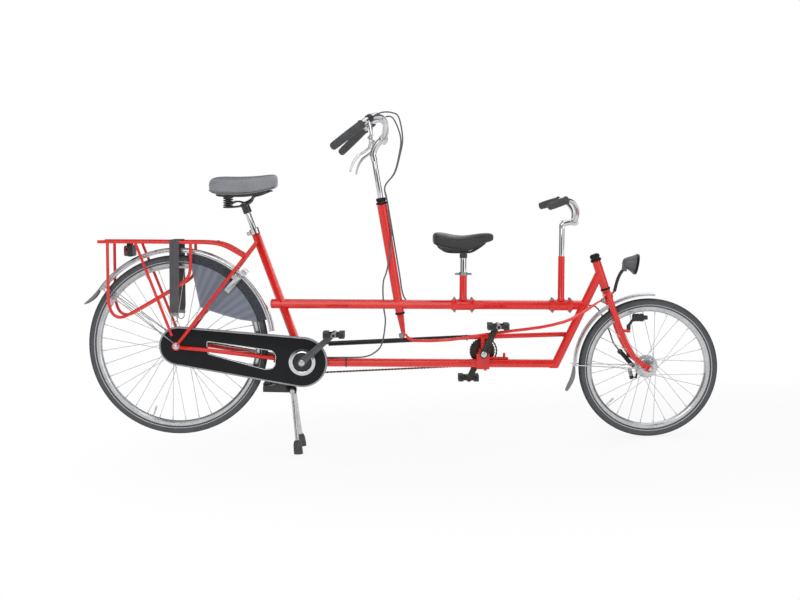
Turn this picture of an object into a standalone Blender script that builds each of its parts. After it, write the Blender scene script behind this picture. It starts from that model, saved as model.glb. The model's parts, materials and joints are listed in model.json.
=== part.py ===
"""A parent-child tandem: a full-size bicycle with a child's saddle, cranks and handlebar in front.

The parent steers from behind, through a column in the middle of the frame and a rod to the fork.
A long timing chain on the left joins the two pairs of cranks. The bicycle is parked on its centre
stand, which lifts the rear wheel, so the whole frame leans forward by a small angle.

Lengths are metres. Each piece is laid out in the bicycle's own frame: the origin is the rear axle,
+X is forward, +Y is the bicycle's left and +Z is up with both wheels on the ground. The empty
named tandem turns that frame onto the stand.
"""

import math

import bmesh
import bpy
from mathutils import Matrix, Vector

# Fits
TOUCH = 0.0003
RUNNING = 0.0012

# Wheels
REAR_RADIUS = 0.351
FRONT_RADIUS = 0.2705
WHEELBASE = 1.8345
TYRE_WIDTH = 0.040
TYRE_HEIGHT = 0.033
RIM_HEIGHT = 0.018
RIM_WIDTH = 0.026
RIM_WALL = 0.005
WHEEL_SEGMENTS = 32
REAR_SPOKES = 36
FRONT_SPOKES = 28
SPOKE_RADIUS = 0.0012
SPOKE_CROSS = 3
FLANGE_RADIUS = 0.031
FLANGE_THICKNESS = 0.004
FLANGE_OFFSET = 0.026
HUB_BARREL_RADIUS = 0.020
HUB_SIDES = 12
AXLE_RADIUS = 0.005
REAR_HUB_HALF_WIDTH = 0.058
FRONT_HUB_HALF_WIDTH = 0.048
FRONT_DRUM_RADIUS = 0.045

# Frame tubes
TUBE_SIDES = 12
TUBE_WALL = 0.002
SEAT_TUBE_DIAMETER = 0.034
SEAT_TUBE_LENGTH = 0.544
SEAT_TUBE_LEAN = math.radians(20.35)
PARENT_HEAD_FOOT_DIAMETER = 0.034
PARENT_HEAD_TOP_DIAMETER = 0.039
TOP_TUBE_SIDE_WALL = 0.0012
TOP_TUBE_HEIGHT = 0.162
TOP_TUBE_TAIL = 0.0445
LOWER_TUBE_DIAMETER = 0.033
LOWER_TUBE_HEIGHT = -0.0675
DOWN_TUBE_DIAMETER = 0.0335
DOWN_TUBE_FOOT = 1.475
DOWN_TUBE_RISE = math.radians(65.0)
HEAD_TUBE_DIAMETER = 0.034
HEAD_TUBE_LOW = 0.349
HEAD_TUBE_LENGTH = 0.110
STAY_RADIUS = 0.007
CHAIN_STAY_RADIUS = 0.008
DROPOUT_THICKNESS = 0.005
DROPOUT_RADIUS = 0.017

# Parent's bottom bracket and cranks
PARENT_BB_FORWARD = 0.4872
PARENT_BB_HEIGHT = -0.0606
BB_SHELL_RADIUS = 0.020
BB_SHELL_WIDTH = 0.068
SPINDLE_RADIUS = 0.0085
PARENT_CRANK_LENGTH = 0.172
PARENT_CRANK_ANGLE = math.radians(42.3)
PARENT_CRANK_INNER = 0.069
CRANK_THICKNESS = 0.011
CRANK_WIDTH = 0.024
CHAIN_PITCH = 0.0127
DRIVE_TEETH = 38
SPROCKET_TEETH = 16
TIMING_TEETH = 28
DRIVE_LINE = -0.045
TIMING_LINE = 0.050
RING_THICKNESS = 0.003
CHAIN_HEIGHT = 0.0085
CHAIN_WIDTH = 0.0078

# Child's bottom bracket and cranks
CHILD_BB_FORWARD = 1.190
CHILD_BB_HEIGHT = -0.025
CHILD_CRANK_LENGTH = 0.125
CHILD_CRANK_ANGLE = math.radians(66.0)
CHILD_CRANK_INNER = 0.060
PEDAL_LENGTH = 0.088
PEDAL_WIDTH = 0.082
PEDAL_HEIGHT = 0.026
PEDAL_PIN_RADIUS = 0.005

# Steering
STEER_LEAN = math.radians(18.9)
FORK_OFFSET = 0.062
STEERER_RADIUS = 0.0125
COLUMN_LEAN = math.radians(9.7)
COLUMN_FORWARD = 0.8595
COLUMN_UP = 0.3925
COLUMN_DOWN = 0.031
COLUMN_ARM_LENGTH = 0.086
ARM_SIDE = 0.046
COLUMN_ARM_BACK = 0.0073
FORK_ARM_BACK = 0.0256
ROD_RADIUS = 0.0065
ROD_EYE_RADIUS = 0.009
ROD_EYE_HEIGHT = 0.008
LINK_PIN_RADIUS = 0.003
OPEN_PIVOT_PLAY = 0.0026
OPEN_PIVOT_SHIFT = 0.0018
CROWN_LOW = 0.300
CROWN_HEIGHT = 0.032
BLADE_SPREAD = 0.039
BLADE_TOP_RADIUS = 0.0125
BLADE_TIP_RADIUS = 0.009

# Mudguards, chaincase and guards
GUARD_WALL = 0.0015
REAR_GUARD_GAP = 0.0275
REAR_GUARD_SIDE = 0.018
REAR_GUARD_STATIONS = 18
REAR_GUARD_BACK = math.radians(144.6)
REAR_GUARD_FRONT = math.radians(8.7)
FRONT_GUARD_GAP = 0.021
FRONT_GUARD_SIDE = 0.012
FRONT_GUARD_BACK = math.radians(179.0)
FRONT_GUARD_FRONT = math.radians(86.0)
GUARD_HALF_WIDTH = 0.024
CASE_REAR_RADIUS = 0.076
CASE_FRONT_RADIUS = 0.098
CASE_WALL = 0.0015
CASE_OUTER_FACE = -0.057
CASE_INNER_FACE = -0.037
CASE_HOLE_RADIUS = 0.037
CASE_RIM = 0.016
CHAIN_TUBE_RADIUS = 0.0095

# Saddles and posts
SEAT_POST_DIAMETER = 0.025
SEAT_POST_OUT = 0.092
SEAT_POST_IN = 0.130
SADDLE_HEIGHT = 0.577
CHILD_POST_FORWARD = 1.111
CHILD_POST_DIAMETER = 0.025
CHILD_SLEEVE_TOP = 0.289
CHILD_SADDLE_HEIGHT = 0.366
BAR_POST_FORWARD = 1.492
BAR_POST_DIAMETER = 0.0215
BAR_SLEEVE_TOP = 0.353
BAR_POST_TOP = 0.478
CARRIER_LENGTH = 0.092
CARRIER_WALL = 0.004
COIL_POINTS = 8
SPRING_TURNS = 3
SPRING_RADIUS = 0.0115
SPRING_WIRE = 0.0048

# Parent's stem and handlebar
QUILL_RADIUS = 0.011
QUILL_TOP = 0.605
BAR_RADIUS = 0.0125
GRIP_RADIUS = 0.016
LEVER_PIN_RADIUS = 0.0028
LEVER_BOSS_HEIGHT = 0.010
PARENT_BAR_HALF_WIDTH = 0.290

# Stand and carrier
STAND_PIVOT_X = 0.448
STAND_PIVOT_Z = -0.178
STAND_FOOT_X = 0.475
STAND_FOOT_Z = -0.4138
STAND_TOP_SPREAD = 0.036
STAND_FOOT_SPREAD = 0.082
STAND_LEG_RADIUS = 0.008
RACK_HEIGHT = REAR_RADIUS + 0.052
RACK_SPREAD = 0.060
RACK_RADIUS = 0.0065

# Directions and places that follow from the sizes
ACROSS = Vector((0.0, 1.0, 0.0))
UP = Vector((0.0, 0.0, 1.0))
FORWARD = Vector((1.0, 0.0, 0.0))


def point(x, z, y=0.0):
    return Vector((x, y, z))


def leaning(angle):
    """Unit vector up an axis that leans back by this angle."""
    return Vector((-math.sin(angle), 0.0, math.cos(angle)))


def square_to(angle):
    """Unit vector forward, square to an axis that leans back by this angle."""
    return Vector((math.cos(angle), 0.0, math.sin(angle)))


REAR_AXLE = point(0.0, 0.0)
FRONT_AXLE = point(WHEELBASE, FRONT_RADIUS - REAR_RADIUS)
PARENT_BB = point(PARENT_BB_FORWARD, PARENT_BB_HEIGHT)
CHILD_BB = point(CHILD_BB_FORWARD, CHILD_BB_HEIGHT)
SEAT_AXIS = leaning(SEAT_TUBE_LEAN)
SEAT_TOP = PARENT_BB + SEAT_AXIS * SEAT_TUBE_LENGTH
STEER_AXIS = leaning(STEER_LEAN)
STEER_FRONT = square_to(STEER_LEAN)
STEER_FOOT = FRONT_AXLE - STEER_FRONT * FORK_OFFSET
COLUMN_AXIS = leaning(COLUMN_LEAN)
COLUMN_FRONT = square_to(COLUMN_LEAN)
COLUMN_CROSS = point(COLUMN_FORWARD, TOP_TUBE_HEIGHT)
DOWN_AXIS = Vector((math.cos(DOWN_TUBE_RISE), 0.0, math.sin(DOWN_TUBE_RISE)))
DOWN_FOOT = point(DOWN_TUBE_FOOT, LOWER_TUBE_HEIGHT)
STAND_PIVOT = point(STAND_PIVOT_X, STAND_PIVOT_Z)

TOP_TUBE_RADIUS = (
    max(SEAT_TUBE_DIAMETER, PARENT_HEAD_FOOT_DIAMETER) / 2 + TOUCH + TOP_TUBE_SIDE_WALL
)
LOWER_TUBE_RADIUS = LOWER_TUBE_DIAMETER / 2
DOWN_TUBE_RADIUS = DOWN_TUBE_DIAMETER / 2
SEAT_TUBE_RADIUS = SEAT_TUBE_DIAMETER / 2
HEAD_TUBE_RADIUS = HEAD_TUBE_DIAMETER / 2
SEAT_BORE_RADIUS = SEAT_POST_DIAMETER / 2 + TOUCH
COLUMN_TOP_GAP = 0.0005

# The angle by which the parked bicycle leans forward: the stand's feet and the front tyre touch
# one flat floor.
FOOT_TO_AXLE = FRONT_AXLE - point(STAND_FOOT_X, STAND_FOOT_Z)
PARKED_LEAN = math.atan2(FOOT_TO_AXLE.z, FOOT_TO_AXLE.x) - math.asin(
    FRONT_RADIUS / FOOT_TO_AXLE.length
)
FLOOR_WARD = Vector((math.sin(PARKED_LEAN), 0.0, -math.cos(PARKED_LEAN)))


# Materials


def linear(channel):
    return channel / 12.92 if channel <= 0.04045 else ((channel + 0.055) / 1.055) ** 2.4


def material(name, colour, roughness, metallic=0.0):
    """A material from an sRGB hex colour, made once."""
    found = bpy.data.materials.get(name)
    if found:
        return found
    made = bpy.data.materials.new(name)
    made.use_nodes = True
    shader = made.node_tree.nodes["Principled BSDF"]
    channels = [int(colour[at : at + 2], 16) / 255 for at in (1, 3, 5)]
    shader.inputs["Base Color"].default_value = (*[linear(c) for c in channels], 1.0)
    shader.inputs["Roughness"].default_value = roughness
    shader.inputs["Metallic"].default_value = metallic
    made.diffuse_color = shader.inputs["Base Color"].default_value
    return made


def red_enamel():
    return material("red_enamel", "#E2231A", 0.28)


def black_enamel():
    return material("black_enamel", "#151516", 0.25)


def black_plastic():
    return material("black_plastic", "#26272A", 0.5)


def polished_alloy():
    return material("polished_alloy", "#C9CBCD", 0.25, 1.0)


def bright_steel():
    return material("bright_steel", "#B9BBBE", 0.22, 1.0)


def chain_steel():
    return material("chain_steel", "#6B5A4C", 0.4, 1.0)


def tyre_rubber():
    return material("tyre_rubber", "#3B3C3F", 0.8)


def soft_rubber():
    return material("soft_rubber", "#3A3B3E", 0.75)


def saddle_vinyl():
    return material("saddle_vinyl", "#4A4C50", 0.5)


def guard_vinyl():
    return material("guard_vinyl", "#4C5568", 0.6)


def lamp_red():
    return material("lamp_red", "#8E1A1C", 0.3)


# Building tools


def mesh_piece(shape, name="piece"):
    """An object from a bmesh, with faces that point outwards."""
    bmesh.ops.recalc_face_normals(shape, faces=shape.faces)
    mesh = bpy.data.meshes.new(name)
    shape.to_mesh(mesh)
    shape.free()
    made = bpy.data.objects.new(name, mesh)
    bpy.context.scene.collection.objects.link(made)
    return made


def frame_of(axis, across=ACROSS):
    """Two unit vectors square to an axis, the first as near as can be to across."""
    axis = axis.normalized()
    if abs(axis.dot(across)) > 0.99:
        across = FORWARD
    first = (across - axis * axis.dot(across)).normalized()
    return first, axis.cross(first)


def turned(profile, origin, axis, sides=16, start=None):
    """A closed profile of (distance along, radius) points, spun once about an axis."""
    axis = axis.normalized()
    first, _ = frame_of(axis)
    if start is not None:
        first = start.normalized()
    shape = bmesh.new()
    points = [shape.verts.new(origin + axis * a + first * r) for a, r in profile]
    on_axis = [index for index, (_, r) in enumerate(profile) if r == 0.0]
    edges = [shape.edges.new(pair) for pair in zip(points, points[1:])]
    if not on_axis:
        edges.append(shape.edges.new((points[-1], points[0])))
    bmesh.ops.spin(
        shape,
        geom=points + edges,
        cent=origin,
        axis=axis,
        angle=math.tau,
        steps=sides,
        use_merge=True,
    )
    bmesh.ops.remove_doubles(shape, verts=shape.verts, dist=1e-6)
    return mesh_piece(shape)


def rod(start, end, radius, end_radius=None, sides=12):
    """A solid round bar between two points."""
    length = (end - start).length
    tip = radius if end_radius is None else end_radius
    profile = [(0.0, 0.0), (0.0, radius), (length, tip), (length, 0.0)]
    return turned(profile, start, end - start, sides)


def pipe(start, end, radius, bore, sides=TUBE_SIDES, end_radius=None):
    """A round tube with open ends between two points."""
    length = (end - start).length
    tip = radius if end_radius is None else end_radius
    wall = radius - bore
    profile = [(0.0, bore), (0.0, radius), (length, tip), (length, tip - wall)]
    return turned(profile, start, end - start, sides)


def block(centre, size, forward=FORWARD, up=UP):
    """A box of size (along forward, across, along up)."""
    across = up.cross(forward)
    basis = Matrix((forward, across, up)).transposed().to_4x4()
    shape = bmesh.new()
    scale = Matrix.Diagonal((*size, 1.0))
    bmesh.ops.create_cube(shape, size=1.0, matrix=Matrix.Translation(centre) @ basis @ scale)
    return mesh_piece(shape)


def plate(outline, low, high, forward=FORWARD, up=UP, origin=REAR_AXLE):
    """A flat outline of (forward, up) points, pushed from low to high across the bicycle."""
    across = up.cross(forward)
    shape = bmesh.new()
    points = [
        shape.verts.new(origin + forward * u + up * v + across * low) for u, v in outline
    ]
    face = shape.faces.new(points)
    grown = bmesh.ops.extrude_face_region(shape, geom=[face])
    moved = [item for item in grown["geom"] if isinstance(item, bmesh.types.BMVert)]
    bmesh.ops.translate(shape, verts=moved, vec=across * (high - low))
    return mesh_piece(shape)


def smooth_route(points, steps):
    """Points on a smooth curve through the given points, each stretch cut into steps."""
    ends = [points[0] * 2 - points[1], *points, points[-1] * 2 - points[-2]]
    found = []
    for index in range(1, len(ends) - 2):
        before, here, there, after = ends[index - 1 : index + 3]
        for step in range(steps):
            t = step / steps
            found.append(
                0.5
                * (
                    2 * here
                    + (there - before) * t
                    + (2 * before - 5 * here + 4 * there - after) * t**2
                    + (3 * here - before - 3 * there + after) * t**3
                )
            )
    found.append(points[-1].copy())
    return found


def bent(points, radius, resolution=2, radii=None, closed=False):
    """A round bar along a line of points, made from a curve with a bevel and filled caps."""
    curve = bpy.data.curves.new("route", "CURVE")
    curve.dimensions = "3D"
    curve.bevel_depth = radius
    curve.bevel_resolution = resolution
    curve.use_fill_caps = not closed
    line = curve.splines.new("POLY")
    line.points.add(len(points) - 1)
    line.use_cyclic_u = closed
    for index, place in enumerate(points):
        line.points[index].co = (*place, 1.0)
        line.points[index].radius = radii[index] / radius if radii else 1.0
    guide = bpy.data.objects.new("route", curve)
    bpy.context.scene.collection.objects.link(guide)
    bpy.context.view_layer.update()
    evaluated = guide.evaluated_get(bpy.context.evaluated_depsgraph_get())
    shape = bmesh.new()
    shape.from_mesh(evaluated.to_mesh())
    evaluated.to_mesh_clear()
    bpy.data.objects.remove(guide)
    bmesh.ops.remove_doubles(shape, verts=shape.verts, dist=1e-6)
    return mesh_piece(shape)


def swept(stations, closed=False):
    """A bar through a list of rings of points, each ring with as many points."""
    shape = bmesh.new()
    rings = [[shape.verts.new(place) for place in ring] for ring in stations]
    pairs = list(zip(rings, rings[1:]))
    if closed:
        pairs.append((rings[-1], rings[0]))
    for one, other in pairs:
        for at in range(len(one)):
            after = (at + 1) % len(one)
            shape.faces.new((one[at], one[after], other[after], other[at]))
    if not closed:
        shape.faces.new(rings[0])
        shape.faces.new(rings[-1])
    return mesh_piece(shape)


def combined(target, others, operation):
    """Joins others to the target, or cuts them from it, and removes them."""
    for other in others:
        step = target.modifiers.new(operation, "BOOLEAN")
        step.operation = operation
        step.solver = "EXACT"
        step.object = other
    bpy.context.view_layer.update()
    evaluated = target.evaluated_get(bpy.context.evaluated_depsgraph_get())
    mesh = bpy.data.meshes.new_from_object(evaluated)
    target.modifiers.clear()
    target.data = mesh
    welded(target)
    for other in others:
        bpy.data.objects.remove(other)
    return target


def welded(target):
    """Closes the hairline steps that a Boolean leaves, and joins its faces that lie in one plane."""
    shape = bmesh.new()
    shape.from_mesh(target.data)
    bmesh.ops.remove_doubles(shape, verts=shape.verts, dist=2e-5)
    bmesh.ops.dissolve_degenerate(shape, edges=shape.edges, dist=1e-5)
    shape.to_mesh(target.data)
    bmesh.ops.dissolve_limit(
        shape, angle_limit=math.radians(0.5), verts=shape.verts, edges=shape.edges
    )
    if all(len(edge.link_faces) == 2 for edge in shape.edges):
        shape.to_mesh(target.data)
    shape.free()


def joined(target, *others):
    return combined(target, others, "UNION")


def cut(target, *others):
    return combined(target, others, "DIFFERENCE")


def mirrored(source):
    """A copy on the bicycle's other side."""
    shape = bmesh.new()
    shape.from_mesh(source.data)
    bmesh.ops.scale(shape, verts=shape.verts, vec=(1.0, -1.0, 1.0))
    return mesh_piece(shape)


def node(piece, name, body, finish, sharp=35.0):
    """Names a piece, gives it its material and hangs it on its body's empty."""
    piece.name = name
    piece.data.name = name
    piece.data.materials.clear()
    piece.data.materials.append(finish)
    piece.data.transform(Matrix.Translation(-BODY_PLACES[body]))
    piece.data.shade_smooth()
    piece.data.set_sharp_from_angle(angle=math.radians(sharp))
    piece.parent = bpy.data.objects[body + "_body"]
    return piece


# Places of joints


def on_circle(centre, angle, radius, y=0.0):
    """Centre moved forward and up by an angle, at a lateral place."""
    return centre + point(math.cos(angle) * radius, math.sin(angle) * radius, y)


def column_place(along, back=0.0, side=0.0):
    return COLUMN_CROSS + COLUMN_AXIS * along - COLUMN_FRONT * back + ACROSS * side


def fork_place(along, back=0.0, side=0.0):
    return STEER_FOOT + STEER_AXIS * along - STEER_FRONT * back + ACROSS * side


def pedal_place(centre, angle, length, inner, side):
    """The middle of the inner end of a pedal, on the right for side -1 and the left for side 1."""
    turn = angle if side < 0 else angle + math.pi
    return on_circle(centre, turn, length, side * (inner + CRANK_THICKNESS + TOUCH))


COLUMN_ARM_END = column_place(-COLUMN_DOWN - COLUMN_ARM_LENGTH, COLUMN_ARM_BACK, -ARM_SIDE)
FORK_EYE = fork_place(CROWN_LOW + 0.011, FORK_ARM_BACK, -ARM_SIDE)
LEVER_PIVOT = point(0.752, 0.800, -0.160)
LEVER_TIP = point(0.683, 0.672, -0.260)
GRIP_INNER = point(0.718, 0.847, -0.180)
GRIP_OUTER = point(0.619, 0.760, -PARENT_BAR_HALF_WIDTH)
LAMP_PIVOT = FRONT_AXLE + point(-0.1015, 0.3835)
DYNAMO_PIVOT = FRONT_AXLE + point(-0.0855, 0.1595, -0.047)

BODIES = {
    "frame": ("tandem", REAR_AXLE),
    "rear_wheel": ("frame_body", REAR_AXLE),
    "parent_seat": ("frame_body", SEAT_TOP),
    "parent_steering": ("frame_body", COLUMN_CROSS),
    "right_lever": ("parent_steering_body", LEVER_PIVOT),
    "left_lever": ("parent_steering_body", LEVER_PIVOT * Vector((1.0, -1.0, 1.0))),
    "linkage": ("parent_steering_body", COLUMN_ARM_END),
    "front_fork": ("frame_body", STEER_FOOT),
    "lamp": ("front_fork_body", LAMP_PIVOT),
    "generator": ("front_fork_body", DYNAMO_PIVOT),
    "front_wheel": ("front_fork_body", FRONT_AXLE),
    "parent_cranks": ("frame_body", PARENT_BB),
    "parent_pedal_r": (
        "parent_cranks_body",
        pedal_place(PARENT_BB, PARENT_CRANK_ANGLE, PARENT_CRANK_LENGTH, PARENT_CRANK_INNER, -1),
    ),
    "parent_pedal_l": (
        "parent_cranks_body",
        pedal_place(PARENT_BB, PARENT_CRANK_ANGLE, PARENT_CRANK_LENGTH, PARENT_CRANK_INNER, 1),
    ),
    "child_cranks": ("frame_body", CHILD_BB),
    "child_pedal_r": (
        "child_cranks_body",
        pedal_place(CHILD_BB, CHILD_CRANK_ANGLE, CHILD_CRANK_LENGTH, CHILD_CRANK_INNER, -1),
    ),
    "child_pedal_l": (
        "child_cranks_body",
        pedal_place(CHILD_BB, CHILD_CRANK_ANGLE, CHILD_CRANK_LENGTH, CHILD_CRANK_INNER, 1),
    ),
    "child_seat": ("frame_body", point(CHILD_POST_FORWARD, CHILD_SLEEVE_TOP)),
    "child_bars": ("frame_body", point(BAR_POST_FORWARD, BAR_SLEEVE_TOP)),
    "stand": ("frame_body", STAND_PIVOT),
}
BODY_PLACES = {name: place for name, (_, place) in BODIES.items()}


def make_empties():
    """The tandem's empty leans onto the stand; each body's empty lies on its joint's axis."""
    tandem = bpy.data.objects.new("tandem", None)
    bpy.context.scene.collection.objects.link(tandem)
    tandem.rotation_euler = (0.0, PARKED_LEAN, 0.0)
    for name, (parent, place) in BODIES.items():
        empty = bpy.data.objects.new(name + "_body", None)
        bpy.context.scene.collection.objects.link(empty)
        empty.parent = bpy.data.objects[parent]
        above = BODY_PLACES.get(parent.removesuffix("_body"), REAR_AXLE)
        empty.location = place - above
    return tandem


# Frame


def running_bore(radius, sides):
    """The corner radius of a flat-sided bore in which a bar of this radius turns freely."""
    return (radius + TOUCH) / math.cos(math.pi / sides)


def down_axis_at(height):
    """The place on the down tube's axis at a height."""
    return DOWN_FOOT + DOWN_AXIS * ((height - DOWN_FOOT.z) / DOWN_AXIS.z)


def seat_axis_at(height):
    return PARENT_BB + SEAT_AXIS * ((height - PARENT_BB.z) / SEAT_AXIS.z)


def make_top_tube():
    rear = seat_axis_at(TOP_TUBE_HEIGHT) - FORWARD * TOP_TUBE_TAIL
    length = down_axis_at(TOP_TUBE_HEIGHT).x - rear.x
    radius = TOP_TUBE_RADIUS
    bore = radius - TUBE_WALL
    cap = 0.006
    profile = [
        (0.0, 0.0),
        (0.0, radius - cap),
        (cap * 0.3, radius - cap * 0.3),
        (cap, radius),
        (length, radius),
        (length, bore),
        (cap, bore),
        (TUBE_WALL, bore - cap),
        (TUBE_WALL, 0.0),
    ]
    tube = turned(profile, rear, FORWARD, TUBE_SIDES)
    seat = rod(
        seat_axis_at(TOP_TUBE_HEIGHT - 0.06),
        seat_axis_at(TOP_TUBE_HEIGHT + 0.06),
        SEAT_TUBE_RADIUS + TOUCH,
        sides=TUBE_SIDES,
    )
    head = rod(
        column_place(-0.06),
        column_place(0.06),
        PARENT_HEAD_FOOT_DIAMETER / 2 + TOUCH,
        sides=TUBE_SIDES,
    )
    return cut(tube, seat, head, down_tube_cutter())


def down_tube_cutter():
    """The down tube's outside, with the gap that a touching tube keeps."""
    return rod(
        DOWN_FOOT - DOWN_AXIS * 0.06,
        DOWN_FOOT + DOWN_AXIS * 0.45,
        DOWN_TUBE_RADIUS + TOUCH,
        sides=TUBE_SIDES,
    )


def make_lower_tube():
    tube = pipe(
        point(PARENT_BB.x, LOWER_TUBE_HEIGHT),
        DOWN_FOOT,
        LOWER_TUBE_RADIUS,
        LOWER_TUBE_RADIUS - TUBE_WALL,
    )
    shell = rod(
        PARENT_BB - ACROSS * BB_SHELL_WIDTH,
        PARENT_BB + ACROSS * BB_SHELL_WIDTH,
        BB_SHELL_RADIUS + TOUCH,
        sides=20,
    )
    seat = rod(PARENT_BB, seat_axis_at(0.05), SEAT_TUBE_RADIUS + TOUCH, sides=TUBE_SIDES)
    return cut(tube, shell, seat, down_tube_cutter())


def make_down_tube():
    """The down tube with the front head tube on its top, and a lug for the mid stay."""
    top = down_axis_at(fork_place(HEAD_TUBE_LOW + HEAD_TUBE_LENGTH * 0.6).z)
    low = DOWN_FOOT - DOWN_AXIS * 0.05
    tube = rod(low, top, DOWN_TUBE_RADIUS, sides=TUBE_SIDES)
    head = rod(
        fork_place(HEAD_TUBE_LOW),
        fork_place(HEAD_TUBE_LOW + HEAD_TUBE_LENGTH),
        HEAD_TUBE_RADIUS,
        sides=TUBE_SIDES,
    )
    lug_half = (MID_STAY_SIDE - MID_STAY_RADIUS - TOUCH) / 2
    lug = block(
        down_axis_at(MID_STAY_FRONT.z) + ACROSS * lug_half - FORWARD * 0.012,
        (0.026, lug_half * 2, 0.018),
    )
    tube = joined(tube, head, lug)
    bore = rod(
        low - DOWN_AXIS * 0.01,
        top - DOWN_AXIS * 0.055,
        DOWN_TUBE_RADIUS - TUBE_WALL,
        sides=TUBE_SIDES,
    )
    steerer = rod(
        fork_place(HEAD_TUBE_LOW - 0.02),
        fork_place(HEAD_TUBE_LOW + HEAD_TUBE_LENGTH + 0.02),
        running_bore(STEERER_RADIUS, TUBE_SIDES),
        sides=TUBE_SIDES,
    )
    floor = LOWER_TUBE_HEIGHT - LOWER_TUBE_RADIUS
    below = block(point(DOWN_TUBE_FOOT, floor - 0.1), (0.4, 0.2, 0.2))
    return cut(tube, bore, steerer, below)


def make_seat_tube():
    """The seat tube, wider inside below its clamped top, on the parent's bottom bracket shell."""
    outer = rod(PARENT_BB, SEAT_TOP, SEAT_TUBE_RADIUS, sides=TUBE_SIDES)
    half = BB_SHELL_WIDTH / 2
    shell = rod(PARENT_BB - ACROSS * half, PARENT_BB + ACROSS * half, BB_SHELL_RADIUS, sides=20)
    tube = joined(outer, shell)
    length = SEAT_TUBE_LENGTH
    wide = SEAT_TUBE_RADIUS - TUBE_WALL
    hollow = turned(
        [
            (BB_SHELL_RADIUS + 0.006, 0.0),
            (BB_SHELL_RADIUS + 0.006, wide),
            (length - 0.075, wide),
            (length - 0.070, SEAT_BORE_RADIUS),
            (length + 0.01, SEAT_BORE_RADIUS),
            (length + 0.01, 0.0),
        ],
        PARENT_BB,
        SEAT_AXIS,
        TUBE_SIDES,
    )
    bore = rod(
        PARENT_BB - ACROSS * BB_SHELL_WIDTH,
        PARENT_BB + ACROSS * BB_SHELL_WIDTH,
        running_bore(SPINDLE_RADIUS, 12),
        sides=12,
    )
    return cut(tube, hollow, bore)


def make_parent_head_tube():
    """The parent's steering head tube: it narrows to pass through the top tube."""
    bore = running_bore(STEERER_RADIUS, TUBE_SIDES)
    foot = PARENT_HEAD_FOOT_DIAMETER / 2
    top = PARENT_HEAD_TOP_DIAMETER / 2
    profile = [
        (-COLUMN_DOWN, bore),
        (-COLUMN_DOWN, foot),
        (TOP_TUBE_RADIUS + 0.012, foot),
        (COLUMN_UP - 0.05, top),
        (COLUMN_UP, top),
        (COLUMN_UP, bore),
        (COLUMN_UP - 0.03, bore),
        (COLUMN_UP - 0.034, foot - TUBE_WALL),
        (0.0, foot - TUBE_WALL),
        (-0.004, bore),
    ]
    return turned(profile, COLUMN_CROSS, COLUMN_AXIS, TUBE_SIDES)


def make_child_bottom_bracket():
    """The child's bottom bracket shell on a clamp round the lower tube, with a chain tightener."""
    half = TIMING_LINE - 0.016
    shell = rod(CHILD_BB - ACROSS * half, CHILD_BB + ACROSS * half, 0.0185, sides=18)
    wall = 0.005
    clamp_top = CHILD_BB.z - 0.004
    clamp_low = LOWER_TUBE_HEIGHT - LOWER_TUBE_RADIUS - wall
    clamp = block(
        point(CHILD_BB.x, (clamp_top + clamp_low) / 2),
        (0.050, 2 * (LOWER_TUBE_RADIUS + wall), clamp_top - clamp_low),
    )
    shelf_low = LOWER_TUBE_HEIGHT + LOWER_TUBE_RADIUS + TOUCH
    tongue = block(point(CHILD_BB.x + 0.058, shelf_low + 0.004), (0.082, 0.018, 0.008))
    screw = rod(
        point(CHILD_BB.x + 0.083, shelf_low + 0.004),
        point(CHILD_BB.x + 0.083, shelf_low + 0.024),
        0.0055,
        sides=6,
    )
    foot = rod(point(CHILD_BB.x + 0.01, clamp_low + 0.002), point(CHILD_BB.x + 0.01, clamp_low - 0.007), 0.006, sides=6)
    post_side = MID_STAY_SIDE - 0.006
    post = block(
        point(CHILD_BB.x, CHILD_BB.z + 0.030, post_side - 0.004),
        (0.014, 0.012, 0.060),
    )
    made = joined(clamp, shell, tongue, screw, foot, post)
    tube = rod(
        point(CHILD_BB.x - 0.06, LOWER_TUBE_HEIGHT),
        point(CHILD_BB.x + 0.14, LOWER_TUBE_HEIGHT),
        LOWER_TUBE_RADIUS + TOUCH,
        sides=TUBE_SIDES,
    )
    spindle = rod(
        CHILD_BB - ACROSS * 0.06, CHILD_BB + ACROSS * 0.06, running_bore(SPINDLE_RADIUS, 12), sides=12
    )
    stay = rod(
        MID_STAY_REAR + (MID_STAY_REAR - MID_STAY_FRONT) * 0.1,
        MID_STAY_FRONT,
        MID_STAY_RADIUS + TOUCH,
        sides=TUBE_SIDES,
    )
    return cut(made, tube, spindle, stay)


MID_STAY_RADIUS = 0.0095
MID_STAY_SIDE = 0.033
MID_STAY_REAR = point(1.131, 0.031, MID_STAY_SIDE)
MID_STAY_FRONT = point(1.520, 0.045, MID_STAY_SIDE)
STAY_END_SIDE = 0.0665


def axle_cutter(radius):
    return rod(REAR_AXLE - ACROSS * 0.12, REAR_AXLE + ACROSS * 0.12, radius, sides=16)


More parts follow.
